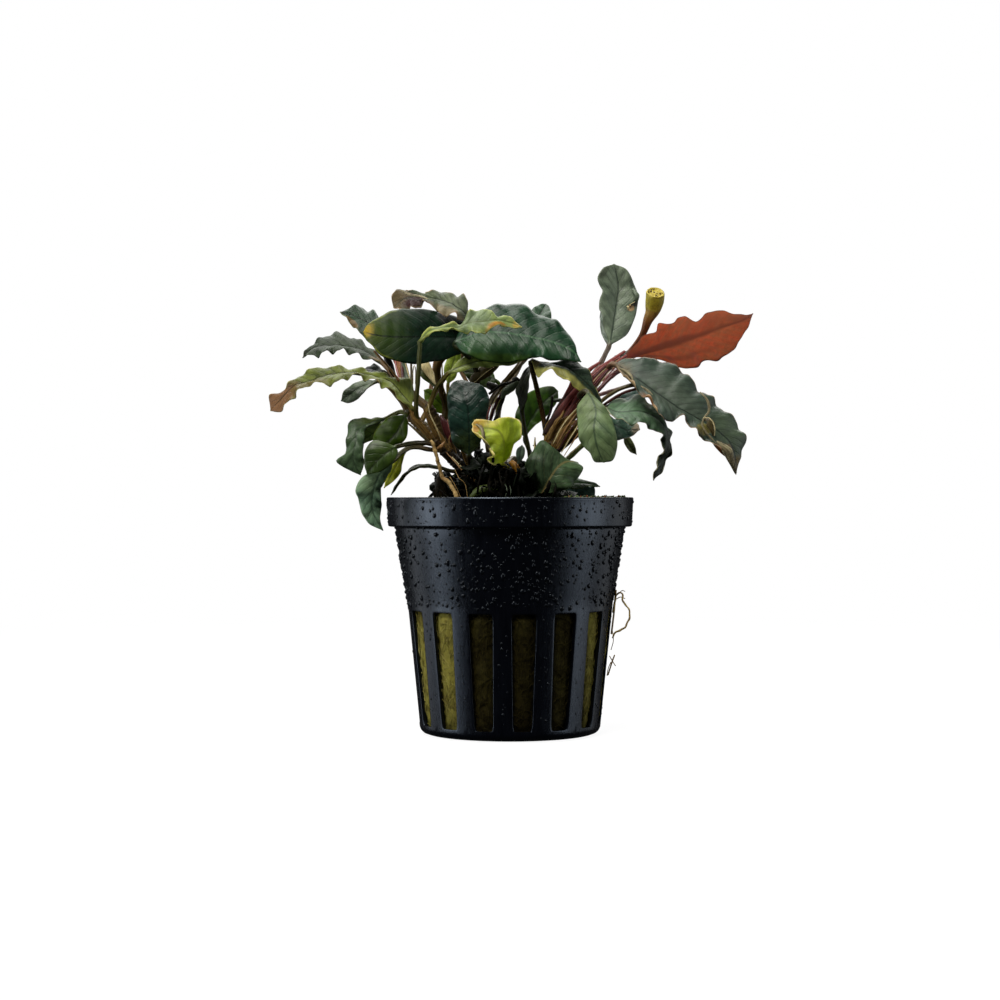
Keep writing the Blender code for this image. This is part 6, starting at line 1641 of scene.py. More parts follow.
def stalk_material():
    g = Graph("mixed_stalks")
    pick, t, s = g.split(g.attribute("tag"))
    where = g.where()
    lines = g.noise(g.where((2.6, 2.6, 0.5)), 1.3, 4, 0.65)
    blotch = g.noise(where, 0.9, 3, 0.6)
    fine = g.noise(where, 9.0, 2, 0.6)
    colour = srgb(*TONES[0])
    for k, tone in enumerate(TONES[1:], 1):
        colour = g.mix(g.math("GREATER_THAN", pick, (k - 0.5) / 10), colour, srgb(*tone))
    colour = g.mix(g.smooth(lines, 0.46, 0.66, 0.0, 0.55), colour, g.mix(0.6, colour, (0.006, 0.004, 0.003)))
    colour = g.mix(g.smooth(blotch, 0.5, 0.7, 0.0, 0.4), colour, g.mix(0.5, colour, srgb(70, 46, 30)))
    colour = g.mix(g.smooth(fine, 0.56, 0.74, 0.0, 0.3), colour, g.mix(0.5, colour, srgb(200, 180, 140)))
    height = g.math("ADD", g.math("MULTIPLY", lines, 0.7), g.math("MULTIPLY", fine, 0.3))
    rough = g.math("ADD", 0.40, g.math("MULTIPLY", g.math("SUBTRACT", blotch, 0.5), 0.2))
    return g.surface(colour, rough, g.bump(height, 0.00010, 0.8), specular=0.4, through=colour, share=0.12)


MAROON, PINK, OLIVE, TAN, CREAM, BLACK, GREEN, GREY, OCHRE = (k / 10 for k in range(9))
stalks = Heap()


def stalk(colour, points, *radii, sides=10):
    rng = np.random.default_rng(int(points[0][0] * 31 + points[-1][1]))
    curve = curve_through(place(points))
    rows = max(8, int(length_of(curve) / (0.35 * MM)))
    t = np.linspace(0, 1, rows)
    at = t * length_of(curve) / MM
    r = np.interp(t, np.linspace(0, 1, len(radii)), radii) * MM * (1 + 0.07 * wander(at, rng, 4, 1.3))
    ridges = 1 + 0.08 * np.sin(np.arange(sides) * TAU / sides * 3 + rng.uniform(0, TAU))[None] * np.ones((rows, 1))
    stalks.take(*tube(read(curve, t), r, sides, ridges), tag=(colour, 0, 0))


def ribbon(colour, points, widths, face=(0, -1, 0.2), curl=0.9, twist=0.0, wave=0.06, rows=26, thick=0.15):
    strip(stalks, points, widths, face=face, curl=curl, thick=thick, tag=(colour, 0, 0), rows=rows, twist=twist, wave=wave)


# upright leaf: a turned flap on its right margin, and a split below it
ribbon(GREY, [(632.4, 288.5, 1.4), (635.4, 291.5, 0.6), (637.6, 296, 0.2), (636.4, 301, 0.6), (632.8, 303.4, 1.4)],
       [0.25, 0.62, 0.7, 0.5, 0.15], face=(0.3, -1, 0.1), curl=1.1, wave=0.12)
stalk(BLACK, [(637.4, 302.4, 1.2), (634.4, 303.4, 0.6), (631.4, 304.4, 0.4), (629.4, 306, 0.6)], 0.12, 0.16, 0.05, sides=6)
stalk(CREAM, [(635, 301.6, 0.4), (632.4, 303.2, 0.2), (630, 305, 0.3)], 0.05, 0.10, 0.05, sides=6)
ribbon(CREAM, [(626.6, 305.4, 0.7), (628, 306.6, 0.3), (628.6, 308.6, 0.4), (627.8, 310, 0.8)], [0.12, 0.3, 0.26, 0.1])
ribbon(TAN, [(629.4, 304.6, 0.5), (630.4, 306, 0.3), (630.2, 307.6, 0.6)], [0.1, 0.24, 0.08])
# olive curl that lies in the drooping leaf's fold
ribbon(OLIVE, [(703.6, 419.4, -21.2), (708.4, 420, -21.8), (711.6, 425, -22), (713.2, 431, -21.8), (713.6, 436, -21.4)],
       [0.25, 0.95, 1.05, 0.75, 0.2], face=(0.1, -1, 0.1), curl=1.0, wave=0.1)
stalk(CREAM, [(704, 417.6, -21.8), (709, 418, -22.6), (713.4, 423, -23), (715, 430, -22.8), (714.6, 436, -22.2)],
      0.07, 0.11, 0.11, 0.06, sides=6)
# under the left leaves
stalk(MAROON, [(402.5, 350, 6), (402, 364, 4), (403, 380, 0), (409, 396, -3)], 0.3, 0.32, 0.3)
# painted highlight: the thin pink tube is the lit side of the maroon stalk beside it
stalk(PINK, [(395, 352, 8), (395.5, 364, 6), (399, 378, 1), (405, 392, -3)], 0.16, 0.2, 0.16)
ribbon(GREY, [(403, 358, 3), (405, 368, 3), (408, 379, 2), (412, 388, 0)], [0.5, 0.8, 0.7, 0.3], twist=0.3)
ribbon(CREAM, [(404.5, 360, 2.4), (407, 369, 2.2), (410, 379, 1.2)], [0.14, 0.2, 0.1])
stalk(OLIVE, [(411, 352, 2), (411.3, 368, 1), (412, 386, -1), (416, 402, -3)], 0.24, 0.26, 0.28)
stalk(CREAM, [(413, 384, -1), (413, 371, -1.4), (414.4, 365.5, -1.4), (415.6, 371, -1.4), (415.4, 384, -1)], 0.10, 0.12, 0.10, sides=6)
ribbon(CREAM, [(421, 356, 6), (426, 366, 5), (431, 374, 5), (437, 385, 4)], [1.2, 1.4, 1.0, 0.3], twist=0.4)
ribbon(GREEN, [(419, 364, 7), (424, 374, 6), (431, 380, 6), (438, 388, 5)], [0.7, 1.0, 0.9, 0.3], twist=0.3)
stalk(CREAM, [(441.6, 352, 3.2), (442, 366, 3.6), (442.6, 380, 3.4), (444, 394, 2)], 0.12, 0.16, 0.10, sides=6)
stalk(TAN, [(374, 351, -12), (383, 361, -12.4), (391, 370, -12.4), (399, 381, -12)], 0.26, 0.26, 0.3)
ribbon(BLACK, [(383, 352, -9), (389, 362, -9.4), (393, 372, -9), (397, 380, -8)], [0.4, 0.9, 0.8, 0.2], twist=0.3)
stalk(OLIVE, [(405, 421, -12.4), (413, 427.5, -12.6), (421, 435, -12.4), (429, 442, -11)], 0.2, 0.26, 0.3)
ribbon(MAROON, [(453, 442, -9), (448, 431, -9.6), (443, 421, -9.6), (440, 415, -9)], [0.7, 1.2, 0.9, 0.2], twist=0.3)
stalk(PINK, [(452, 438, -10), (449, 428, -10.4), (447, 419, -10)], 0.12, 0.14, 0.06, sides=6)
stalk(TAN, [(450.5, 447, -10), (449.2, 439, -10.6), (452.4, 433, -10.8), (456, 431.4, -10.6)], 0.10, 0.15, 0.1, sides=6)
stalk(TAN, [(459.6, 447, -10), (459.8, 438, -10.6), (457.4, 432.6, -10.6)], 0.10, 0.15, 0.1, sides=6)
stalk(TAN, [(438, 449, -10.4), (441.6, 446, -11), (444.6, 441.6, -11)], 0.35, 0.5, 0.2)
stalk(CREAM, [(428, 404, -11.4), (430, 414, -12), (436, 427, -12), (441, 440, -11)], 0.10, 0.16, 0.12, sides=6)
# painted highlight: the thin cream tube is the pale highlight along the lower left stem
stalk(CREAM, [(452, 457, -9.6), (459, 464.4, -10.6), (466, 471, -11), (474, 478, -11.6)], 0.08, 0.12, 0.08, sides=6)
stalk(TAN, [(446, 452, -9.6), (455, 462, -10.6), (464, 472, -11.4), (475, 481, -12)], 0.10, 0.13, 0.09, sides=6)
# between the stems
ribbon(OLIVE, [(470, 382, -4), (480, 374, -4.4), (489, 368, -4.6), (500, 362, -5)], [0.8, 1.6, 1.6, 0.5], wave=0.2)
stalk(CREAM, [(474, 383, -5.4), (484, 374, -5.8), (494, 367, -6)], 0.07, 0.10, 0.05, sides=6)
ribbon(BLACK, [(487, 383, -2), (494, 387, -2.4), (502, 394, -2)], [0.6, 1.3, 0.3], twist=0.2)
stalk(OLIVE, [(507, 381, -3.4), (498, 393, -5.4), (490, 405, -6.4), (485, 420, -7)], 0.4, 0.46, 0.4)
stalk(CREAM, [(504, 387, -5.4), (494.6, 401, -7), (489, 418, -7.4)], 0.08, 0.13, 0.08, sides=6)
stalk(MAROON, [(508, 384, -2.4), (501, 395, -3.6), (495, 406, -4.6), (490, 421, -5)], 0.3, 0.36, 0.36)
stalk(CREAM, [(506, 391, -4.4), (499, 402, -5.4), (494, 416, -6)], 0.08, 0.11, 0.06, sides=6)
stalk(PINK, [(491, 405, -7.4), (488, 414, -7.8), (487, 421, -7.6)], 0.16, 0.22, 0.14, sides=6)
stalk(BLACK, [(507, 387, -4), (503.6, 398, -5), (499.6, 409, -5.6), (495, 421, -6)], 0.34, 0.36, 0.4)
stalk(BLACK, [(518, 379, -7), (509, 383, -7.4), (501, 385, -7.6), (489, 394, -7.6)], 0.2, 0.3, 0.3)
ribbon(BLACK, [(512, 379.5, -7), (516, 378.5, -7.6), (520, 380.4, -7.4)], [0.4, 0.6, 0.2])
ribbon(GREY, [(518, 381, -6.4), (511, 387, -6.8), (505, 392, -7), (501, 399, -6.6)], [0.5, 1.1, 1.0, 0.2])
stalk(OLIVE, [(536, 346, -3), (524, 361, -4), (513, 373, -4.4), (503, 383, -4.6)], 0.42, 0.46, 0.46)
# painted highlight: the thin tan tube is the highlight line along the olive stalk beside it
stalk(TAN, [(530, 352, -4.4), (519, 365, -5.2), (506, 379, -5.6)], 0.10, 0.14, 0.08, sides=6)
# under the right leaves
stalk(BLACK, [(552.4, 396, -6), (551.4, 408, -6.4), (548.4, 417, -6.6), (544, 428, -6.4)], 0.24, 0.3, 0.3)
ribbon(GREY, [(551, 400.6, -5), (559, 400, -5.4), (568, 399.4, -5)], [0.4, 0.5, 0.3])
stalk(MAROON, [(577, 374, -8), (573.6, 386, -8.4), (570, 396, -8.8), (562, 410, -9)], 0.3, 0.42, 0.42)
# the cream strands among the pink and maroon ones are painted highlights
for k, (colour, r) in enumerate([(PINK, 0.14), (MAROON, 0.2), (CREAM, 0.08), (PINK, 0.12), (MAROON, 0.2), (CREAM, 0.07), (PINK, 0.15)]):
    shift = -6.5 + 2.3 * k
    stalk(colour, [(578 + shift * 0.9, 405 + shift * 0.5, -10.4), (592 + shift * 0.8, 386 + shift * 0.6, -10.8),
                   (605 + shift * 0.5, 371 + shift * 0.5, -9.8), (619 + shift * 0.2, 360 + shift * 0.3, -6.6)], r * 0.6, r, r, r * 0.5, sides=7)
stalk(MAROON, [(585, 405, -10.4), (600, 388.6, -11), (612, 376.6, -10), (624, 369, -8)], 0.34, 0.46, 0.42, 0.3)
stalk(OLIVE, [(592, 410, -10), (606, 397.5, -12), (620, 389, -13), (636, 383.6, -13.6)], 0.36, 0.42, 0.42)
stalk(MAROON, [(598, 409, -10), (611, 400, -12), (624, 392.6, -13), (637, 388.6, -13.6)], 0.26, 0.32, 0.3)
stalk(BLACK, [(551, 457, -8), (561, 448, -9), (570, 440.6, -9.6), (582, 430.6, -9.6)], 0.5, 0.62, 0.5)
stalk(GREEN, [(564, 462.6, -9), (572, 455, -10), (580, 447.6, -10.6), (588, 440.6, -11)], 0.5, 0.6, 0.5)
stalk(CREAM, [(565, 458.6, -10), (573, 451.4, -10.8), (581, 444.6, -11)], 0.08, 0.12, 0.06, sides=6)
stalk(CREAM, [(535, 456, -9.4), (534.6, 446, -9.8), (535.6, 438, -9.8)], 0.16, 0.18, 0.06, sides=6)
stalk(CREAM, [(538.6, 455, -9.2), (537.4, 448, -9.6), (539.6, 442, -9.6)], 0.12, 0.14, 0.05, sides=6)
for k, colour in enumerate((CREAM, TAN, MAROON, CREAM, TAN)):
    shift = 3.4 * k
    stalk(colour, [(553 + shift * 0.8, 444 + shift * 0.9, -11.6), (560 + shift, 430 + shift * 0.8, -12.6),
                   (568 + shift, 418 + shift * 0.7, -12.6), (577 + shift * 0.7, 408 + shift * 0.6, -11.8)],
          0.07, 0.13, 0.12, 0.06, sides=6)
ribbon(OCHRE, [(511, 461, -15), (516, 467, -16), (519, 474, -16.2), (519.4, 482, -15.6)], [0.7, 0.9, 0.6, 0.1], twist=0.2)
# dark leaves low at the left of the tangle, near-black as painted shade, and a few pale roots in it
ribbon(BLACK, [(446, 500, -10), (441, 488, -11), (438.6, 479, -11.4), (438.6, 471.5, -11)], [1.6, 1.8, 1.0, 0.1])
ribbon(BLACK, [(441, 501, -9), (436.6, 494, -10), (433.4, 489, -10.4)], [1.2, 1.0, 0.1])
ribbon(GREEN, [(470, 498, -17), (478, 491, -18), (487, 488, -18), (497, 490, -17)], [0.5, 1.1, 1.0, 0.2])
stalk(GREY, [(505, 498, -19), (507, 490, -19.6), (505, 484, -19)], 0.10, 0.14, 0.06, sides=6)
stalk(GREY, [(509, 498, -19), (511, 491, -19.4), (509.6, 486, -19)], 0.10, 0.12, 0.06, sides=6)
show("small_stalks", stalks.mesh("small_stalks"), stalk_material())


# Roots

def root_mesh(name, pieces):
    heap = Heap()
    for points, radii, sides, bumps in pieces:
        rng = np.random.default_rng(len(points) * 17 + int(points[0][0]))
        curve = curve_through(place(points))
        run = length_of(curve)
        rows = max(8, int(run / (0.22 * MM)))
        t = np.linspace(0, 1, rows)
        at = t * run / MM
        path = read(curve, t)
        path = path + np.stack([wander(at, rng, 5, 0.9), wander(at, rng, 5, 0.9), wander(at, rng, 5, 0.9)], 1) * bumps * 0.10 * MM
        r = np.interp(t, np.linspace(0, 1, len(radii)), radii) * MM
        r = r * (1 + bumps * 0.13 * wander(at, rng, 6, 2.3))
        heap.take(*tube(path, r, sides), tag=(rng.random(), 0, 0))
    return heap.mesh(name)


root_skin = stem_material("pale_root", (178, 152, 100), (132, 102, 58), (110, 76, 42), 0.2)
show("root_tan_strand", root_mesh("root_tan_strand", [
    ([(431, 441, -17), (436, 453, -17.5), (439, 464, -17), (442, 476, -16.5), (450, 485, -17), (457, 496, -17.5),
      (459, 506, -17)], [0.34, 0.41, 0.40, 0.42, 0.46, 0.44], 14, 1.0),
]), root_skin, "root_tan")
show("root_side_strand", root_mesh("root_side_strand", [
    ([(613, 612, -3), (614.5, 603, -3.6), (616.5, 596, -4.2), (619.5, 592.5, -4.8), (622.5, 595, -5), (622, 600, -5.2),
      (625, 604, -5), (629.3, 610.6, -5), (629, 619, -5), (625.5, 627, -5), (620, 630.6, -4.6), (614.5, 633.6, -4),
      (612.5, 638, -3.8)], [0.24, 0.2, 0.2, 0.19, 0.22, 0.2], 9, 0.9),
]), stem_material("side_root", (214, 188, 118), (172, 142, 84), (136, 100, 54), 0.15), "root_side")

fine_roots = Heap()
rng = np.random.default_rng(41)
for points, radius in [
    ([(616, 590, -3.4), (615, 600, -3.2), (614, 612, -3), (612.6, 624, -3), (611.4, 634, -3)], 0.20),
    ([(616.5, 599, -4.4), (620.5, 597, -5), (625, 598.6, -5)], 0.11),
    ([(618.5, 594, -4.6), (622, 590.6, -5), (625, 591.4, -5)], 0.09),
    ([(612, 628, -3), (613.4, 640, -3.6), (611, 650, -3.4)], 0.10),
    ([(614.6, 655, -4), (612.4, 661, -4), (610.2, 668, -3.6), (608, 675, -3)], 0.17),
    ([(609.6, 656, -3), (612.4, 661, -4.2), (615.6, 666, -4.2)], 0.11),
    ([(611, 662, -3.6), (608.4, 668, -3), (607, 676, -2.6)], 0.10),
    ([(465, 470, -11), (470, 475, -11.6), (475, 480, -12)], 0.10),
    ([(450, 477, -12), (456, 487, -12.5), (461, 498, -12)], 0.10),
    ([(474, 474, -10), (477, 486, -11), (475, 500, -11)], 0.09),
    ([(545, 474, -16), (549, 482, -17), (543, 492, -16), (541, 500, -14)], 0.08),
    ([(455, 470, -12), (459, 478, -12.6), (465, 484, -12.4), (468, 499, -12)], 0.08),
]:
    curve = curve_through(place(points))
    rows = max(8, int(length_of(curve) / (0.3 * MM)))
    fine_roots.take(*tube(read(curve, np.linspace(0, 1, rows)), radius * MM, 6), tag=(rng.random(), 0, 0))
show("fine_roots", fine_roots.mesh("fine_roots"), root_skin)


# Fruit: a ribbed stalk that widens into a cup, whose hollow holds dark seeds

def build_fruit():
    points = [(598, 375, -3), (606, 371, 4), (624, 357, 9), (641, 337, 9.5), (648, 320, 9), (652.2, 311, 9), (654.4, 301, 9),
              (654.9, 293.5, 9)]
    radii = [0.5, 0.5, 0.5, 0.5, 0.5, 0.5, 0.5, 0.5, 0.5, 0.5, 0.5, 0.52, 0.58, 0.68, 0.82, 1.02, 1.32, 1.78, 2.04, 2.06]
    curve = curve_through(place(points))
    rows = 120
    t = np.linspace(0, 1, rows)
    path = read(curve, t)
    # the mouth turns a little towards the front
    lean = smooth(t, 0.86, 1.0)
    path[:, 1] -= lean**1.5 * 1.5 * MM
    r = np.interp(t, np.linspace(0, 1, len(radii)), radii) * MM
    sides = 36
    a = np.arange(sides) * TAU / sides
    rib = 1 + 0.02 * np.sin(a * 7)[None] * smooth(t, 0.4, 0.9)[:, None] + 0.02 * np.sin(a * 2 + 1)[None]
    tangents = unit(np.gradient(path, axis=0))
    tangents = unit(tangents + smooth(t, 0.80, 1.0)[:, None] * np.array([0.08, -0.72, 0.0]))
    side = unit(np.cross(tangents[0], (0.0, 1.0, 0.0)))
    rings = []
    for n in range(rows):
        side = unit(side - tangents[n] * np.dot(side, tangents[n]))
        up = np.cross(tangents[n], side)
        rr = r[n] * rib[n]
        rings.append(path[n] + (np.cos(a) * rr)[:, None] * side + (np.sin(a) * rr)[:, None] * up)
    axis = tangents[-1]
    up = np.cross(axis, side)
    lip = [(1.0, 0.06), (0.97, 0.16), (0.90, 0.22), (0.83, 0.16), (0.76, 0.0), (0.6, -0.08), (0.38, 0.02), (0.14, 0.06)]
    for share, rise in lip:
        rr = r[-1] * share * (1 + 0.03 * np.sin(a * 3 + 1) + 0.02 * np.sin(a * 5))
        rings.append(path[-1] + axis * rise * MM + (np.cos(a) * rr)[:, None] * side + (np.sin(a) * rr)[:, None] * up)
    points = np.vstack(rings + [path[:1], path[-1:] + axis * 0.07 * MM])
    tags = np.zeros((len(points), 3))
    tags[:-2, 0] = np.repeat(np.concatenate([t, np.full(len(lip), 1.05)]), sides)
    tags[-1, 0] = 1.05
    heap = Heap()
    quads, tris = ring_faces(len(rings), sides)
    heap.take(points, quads, tris, tags)
    fruit = heap.mesh("fruit_cup_wall")
    seeds = Heap()
    rng = np.random.default_rng(5)
    ring = np.arange(8) * TAU / 8
    for _ in range(14):
        far, b = r[-1] * 0.8 * math.sqrt(rng.random()), rng.uniform(0, TAU)
        centre = path[-1] + far * (math.cos(b) * side + math.sin(b) * up) + axis * 0.06 * MM
        size = rng.uniform(0.10, 0.22) * MM
        rows_ = [centre + axis * size * h * 1.3 + size * w * (np.cos(ring)[:, None] * side + np.sin(ring)[:, None] * up)
                 for w, h in ((0.5, -0.8), (0.95, -0.3), (1.0, 0.2), (0.6, 0.8))]
        pts = np.vstack(rows_ + [centre[None] - axis * size, centre[None] + axis * size * 1.25])
        q, tr = ring_faces(4, 8)
        seeds.take(pts, q, tr, (rng.random(), 0, 0))
    return fruit, seeds.mesh("fruit_seeds")


def fruit_material():
    g = Graph("fruit_skin")
    t, _, _ = g.split(g.attribute("tag"))
    where = g.where()
    blotch = g.noise(where, 1.1, 3, 0.6)
    fine = g.noise(where, 8.0, 3, 0.6)
    long_lines = g.noise(g.where((3.0, 3.0, 0.5)), 1.4, 3, 0.6)
    colour = g.mix(g.smooth(t, 0.30, 0.62), srgb(104, 50, 40), srgb(138, 78, 44))
    colour = g.mix(g.smooth(t, 0.74, 0.88), colour, srgb(150, 120, 48))
    colour = g.mix(g.smooth(t, 0.86, 0.94), colour, srgb(176, 162, 50))
    colour = g.mix(g.smooth(t, 1.0, 1.04), colour, srgb(188, 170, 60))
    colour = g.mix(g.smooth(blotch, 0.5, 0.72, 0.0, 0.5), colour, srgb(108, 92, 34))
    colour = g.mix(g.smooth(long_lines, 0.55, 0.7, 0.0, 0.4), colour, srgb(92, 66, 34))
    colour = g.mix(g.smooth(g.cells(where, 1.6), 0.10, 0.2, 0.7, 0.0), colour, srgb(70, 50, 24))
    height = g.math("ADD", g.math("MULTIPLY", fine, 0.5), g.math("MULTIPLY", long_lines, 0.5))
    return g.surface(colour, g.smooth(blotch, 0.3, 0.7, 0.36, 0.55), g.bump(height, 0.00012, 0.8), through=colour, share=0.1)


fruit, seeds = build_fruit()
show("fruit_cup_wall", fruit, fruit_material(), "fruit_cup")
show("fruit_seeds", seeds, stem_material("seed_coat", (104, 80, 28), (60, 42, 16), (130, 104, 36)))


# Old roots, dead leaf scraps and stubs that fill the middle, over the rim, coloured near-black as painted shade for the
# deep shade in the middle of the plant

def build_tangle():
    rng = np.random.default_rng(101)
    heap, scraps = Heap(), Heap()
    top_u = np.array([430, 433, 439, 446, 452, 458, 464, 470, 480, 500, 512, 520, 527, 536, 548, 556, 562, 572, 600])
    top_v = np.array([499, 495, 474, 476, 479, 478, 462, 452, 448, 462, 464, 462, 462, 470, 478, 486, 494, 496.5, 498])
    for _ in range(190):
        u0 = rng.uniform(440, 560)
        d0 = rng.uniform(-19, 17) if u0 > 472 else rng.uniform(-9, 14)
        lift = np.interp(u0, top_u, top_v)
        v1 = rng.uniform(min(lift, 498), 500)
        u1 = np.clip(u0 + rng.normal(0, 14), 437, 566)
        v1 = max(v1, np.interp(u1, top_u, top_v))
        d1 = np.clip(d0 + rng.normal(0, 5), -20, 18)
        um, vm, dm = (u0 + u1) / 2 + rng.normal(0, 7), (506 + v1) / 2 + rng.normal(0, 5), (d0 + d1) / 2 + rng.normal(0, 3)
        vm = max(vm, np.interp(um, top_u, top_v) + 1)
        u2 = np.clip(u1 + rng.normal(0, 9), 436, 574)
        v2 = min(508, v1 + abs(rng.normal(6, 8)))
        pts = [(u0, 506, d0), (um, vm, dm), (u1, v1, d1), (u2, v2, np.clip(d1 + rng.normal(0, 3), -20, 18))]
        curve = curve_through(place(pts))
        rows = int(np.clip(length_of(curve) / (0.7 * MM), 8, 26))
        r = rng.uniform(0.14, 0.36) * MM * (1 if rng.random() < 0.8 else 1.6)
        taper = np.linspace(1, rng.uniform(0.3, 0.8), rows)
        heap.take(*tube(read(curve, np.linspace(0, 1, rows)), r * taper, 7), tag=(rng.random(), 0, 0))
    for _ in range(300):
        u0 = rng.uniform(440, 570)
        d0 = rng.uniform(-18, 14) if u0 > 470 else rng.uniform(-8, 12)
        lift = np.interp(u0, top_u, top_v) + 5
        v0 = rng.uniform(min(lift, 496), 499)
        way = rng.uniform(0, TAU)
        run = rng.uniform(8, 24)
        pts = []
        for q in (0, 0.33, 0.66, 1.0):
            uu = np.clip(u0 + math.cos(way + q) * run * q, 438, 576)
            vv = np.clip(v0 + math.sin(way + q) * run * q, np.interp(uu, top_u, top_v) + 2, 503)
            pts.append((uu, vv, np.clip(d0 + rng.normal(0, 2.0) + q * rng.normal(0, 3), -19.5, 15)))
        w = rng.uniform(0.9, 2.5)
        strip(scraps, pts, [0.3 * w, w, 0.9 * w, 0.1], face=unit(rng.normal(0, 1, 3) + np.array([0, -0.8, 0.5])),
              curl=rng.uniform(0.5, 1.3), thick=0.18, tag=(rng.random(), 0, 0), rows=10, twist=rng.normal(0, 1.0),
              wave=0.2)
    return heap.mesh("shaded_old_roots"), scraps.mesh("leaf_scraps")


roots, scraps = build_tangle()
# painted shade: the roots and scraps are near-black and dull
show("shaded_old_roots", roots, stem_material("shaded_old_root", (13, 11, 7), (5, 5, 4), (11, 8, 5), 0.03))
show("leaf_scraps", scraps, strip_material("shaded_old_leaves", (12, 17, 10), (4, 6, 4), (20, 27, 16), 0.02, 5.0, 0.45, 0.05))


# Moss on the wool, thickest along the rim at the right

def build_moss():
    rng = np.random.default_rng(77)
    heap = Heap()
    ring = np.arange(4) * TAU / 4

    def tuft(x, y, z, size, tag):
        lean = rng.normal(0, 0.45, 2)
        tall = size * rng.uniform(1.3, 2.6)
        rows = []
        for share, h in ((0.5, -0.3), (1.0, 0.15), (0.8, 0.6), (0.35, 0.9)):
            c = np.array([x + lean[0] * h * tall, y + lean[1] * h * tall, z + h * tall])
            rows.append(c + np.stack([np.cos(ring) * size * share, np.sin(ring) * size * share, 0 * ring], 1))
        pts = np.vstack(rows + [[(x, y, z - 0.4 * tall)], [(x + lean[0] * tall, y + lean[1] * tall, z + tall)]])
        heap.take(pts * MM, *ring_faces(4, 4), tag)

    for _ in range(1500):
        a = rng.uniform(math.radians(6), math.radians(88))
        far = 25.5 - abs(rng.normal(0, 1.9))
        strength = smooth(math.degrees(a), 6, 30)
        x, y = far * math.sin(a), -far * math.cos(a)
        z = 49.4 + 2.3 * strength * math.exp(-(((far - 24.9) / 2.2) ** 2)) * rng.uniform(0.6, 1.0)
        tuft(x, y, z, rng.uniform(0.10, 0.24), (rng.random(), 1 if rng.random() < 0.12 else 0, 0))
    for _ in range(900):
        a, far = rng.uniform(0, TAU), 24.2 * math.sqrt(rng.random())
        tuft(far * math.sin(a), -far * math.cos(a), 49.3 + rng.uniform(0, 0.4), rng.uniform(0.12, 0.3), (rng.random(), 0, 1))
    return heap.mesh("moss")


def moss_material():
    g = Graph("moss_green")
    pick, red, far = g.split(g.attribute("tag"))
    where = g.where()
    patch = g.noise(where, 0.4, 3, 0.6)
    fine = g.noise(where, 9.0, 2)
    colour = g.mix(g.smooth(pick, 0.1, 0.9), srgb(38, 52, 20), srgb(84, 110, 34))
    colour = g.mix(g.smooth(patch, 0.45, 0.7, 0.0, 0.7), colour, srgb(42, 40, 22))
    colour = g.mix(g.math("MULTIPLY", red, 0.9), colour, srgb(150, 70, 36))
    colour = g.mix(g.smooth(fine, 0.5, 0.75, 0.0, 0.4), colour, srgb(120, 132, 60))
    return g.surface(colour, g.smooth(patch, 0.3, 0.7, 0.45, 0.7), g.bump(fine, 0.00008, 0.6), through=colour, share=0.15)


show("moss", build_moss(), moss_material())


# Floor, pale backdrop, soft lights and camera

def plain_white(name, own_light, colour):
    g = Graph(name)
    grain = g.noise(g.where((0.02, 0.02, 0.02)), 1.0, 2)
    x, y, _ = g.split(g.where())
    far = g.smooth(g.math("SQRT", g.math("ADD", g.math("MULTIPLY", x, x), g.math("MULTIPLY", y, y))), 40, 420)
    p = g.node("ShaderNodeBsdfPrincipled")
    near = g.mix(g.smooth(grain, 0.3, 0.7, 0.0, 0.04), colour, (0.7, 0.7, 0.7))
    g.put(g.mix(far, near, (0.0, 0.0, 0.0)), p.inputs["Base Color"])
    p.inputs["Roughness"].default_value = 0.9
    p.inputs["Specular IOR Level"].default_value = 0.0
    p.inputs["Emission Color"].default_value = (1, 1, 1, 1)
    g.put(g.math("MULTIPLY_ADD", far, 1.0 - own_light, own_light), p.inputs["Emission Strength"])
    g.tree.links.new(p.outputs[0], g.node("ShaderNodeOutputMaterial").inputs[0])
    return g.material


a = np.arange(96) * TAU / 96
disc = np.vstack([np.stack([np.sin(a) * 4, np.cos(a) * 4, np.full(96, -0.0002)], 1), [(0, 0, -0.0002)]])
floor = bpy.data.objects.new("floor", make_mesh("floor", disc, [], [(i, 96, (i + 1) % 96) for i in range(96)], smooth_shading=False))
bpy.context.scene.collection.objects.link(floor)
floor.data.materials.append(plain_white("floor_white", 0.93, (0.10, 0.10, 0.10)))

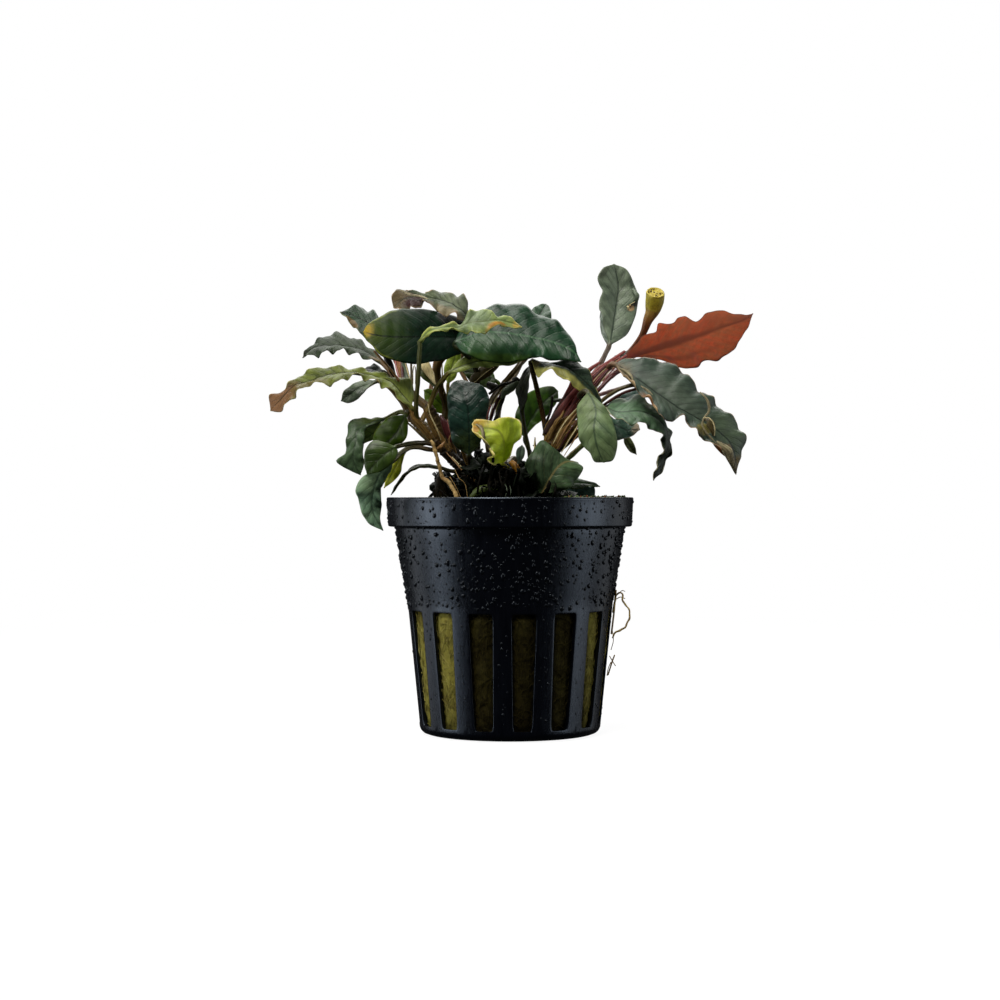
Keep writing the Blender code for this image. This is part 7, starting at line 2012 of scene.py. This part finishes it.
b = np.linspace(-0.5, 0.5, 25) * math.pi
dome_points = np.stack([np.outer(np.cos(b), np.sin(a)), np.outer(np.cos(b), np.cos(a)), np.outer(np.sin(b), np.ones(96))], -1)
quads = [(i * 96 + j, i * 96 + (j + 1) % 96, (i + 1) * 96 + (j + 1) % 96, (i + 1) * 96 + j) for i in range(1, 23) for j in range(96)]
dome = bpy.data.objects.new("backdrop", make_mesh("backdrop", dome_points.reshape(-1, 3) * 5, quads))
bpy.context.scene.collection.objects.link(dome)
dome.data.materials.append(plain_white("backdrop_white", 1.0, (0.0, 0.0, 0.0)))
for ob in (floor, dome):
    ob.visible_glossy = ob.visible_diffuse = ob.visible_transmission = False
    ob.visible_shadow = False

world = bpy.data.worlds.new("room")
bpy.context.scene.world = world
world.use_nodes = True
world.node_tree.nodes["Background"].inputs[0].default_value = (0.93, 0.96, 1.0, 1)
world.node_tree.nodes["Background"].inputs[1].default_value = 0.02


def softbox(name, place_at, wide, tall, radiance, colour, aim=(0, 0, 0.05)):
    light = bpy.data.lights.new(name, "AREA")
    light.shape = "RECTANGLE"
    light.size, light.size_y = wide, tall
    light.energy = radiance * math.pi * wide * tall
    light.color = colour
    ob = bpy.data.objects.new(name, light)
    bpy.context.scene.collection.objects.link(ob)
    ob.location = place_at
    ob.rotation_euler = (Vector(aim) - Vector(place_at)).to_track_quat("-Z", "Y").to_euler()
    ob.visible_camera = False
    return ob


softbox("left_box", (-0.87, -0.20, 0.10), 0.48, 0.60, 3.9, (0.96, 0.98, 1.0))
softbox("left_rear_box", (-0.84, 0.34, 0.10), 0.46, 0.60, 0.9, (0.96, 0.98, 1.0))
softbox("right_box", (0.88, -0.18, 0.10), 0.58, 0.60, 2.3, (0.96, 0.98, 1.0))
softbox("right_rear_box", (0.82, 0.42, 0.10), 0.46, 0.60, 0.55, (0.96, 0.98, 1.0))
softbox("top_box", (-0.22, 0.02, 0.90), 0.42, 0.42, 9.5, (1.0, 0.98, 0.93))
softbox("front_box", (-0.28, -0.58, 0.82), 0.46, 0.34, 19.0, (1.0, 0.97, 0.91))
softbox("back_box", (0.05, 0.75, 0.75), 1.2, 0.55, 4.2, (1.0, 1.0, 0.96))

view_settings = bpy.context.scene.view_settings
view_settings.view_transform = "Standard"
view_settings.look = "None"

camera = bpy.data.cameras.new("camera")
camera.lens = 72.16
camera.sensor_width = 36
eye = bpy.data.objects.new("camera", camera)
bpy.context.scene.collection.objects.link(eye)
eye.location = (-0.0022, -0.441, 0.0510)
eye.rotation_euler = (math.pi / 2, 0, 0)
bpy.context.scene.camera = eye
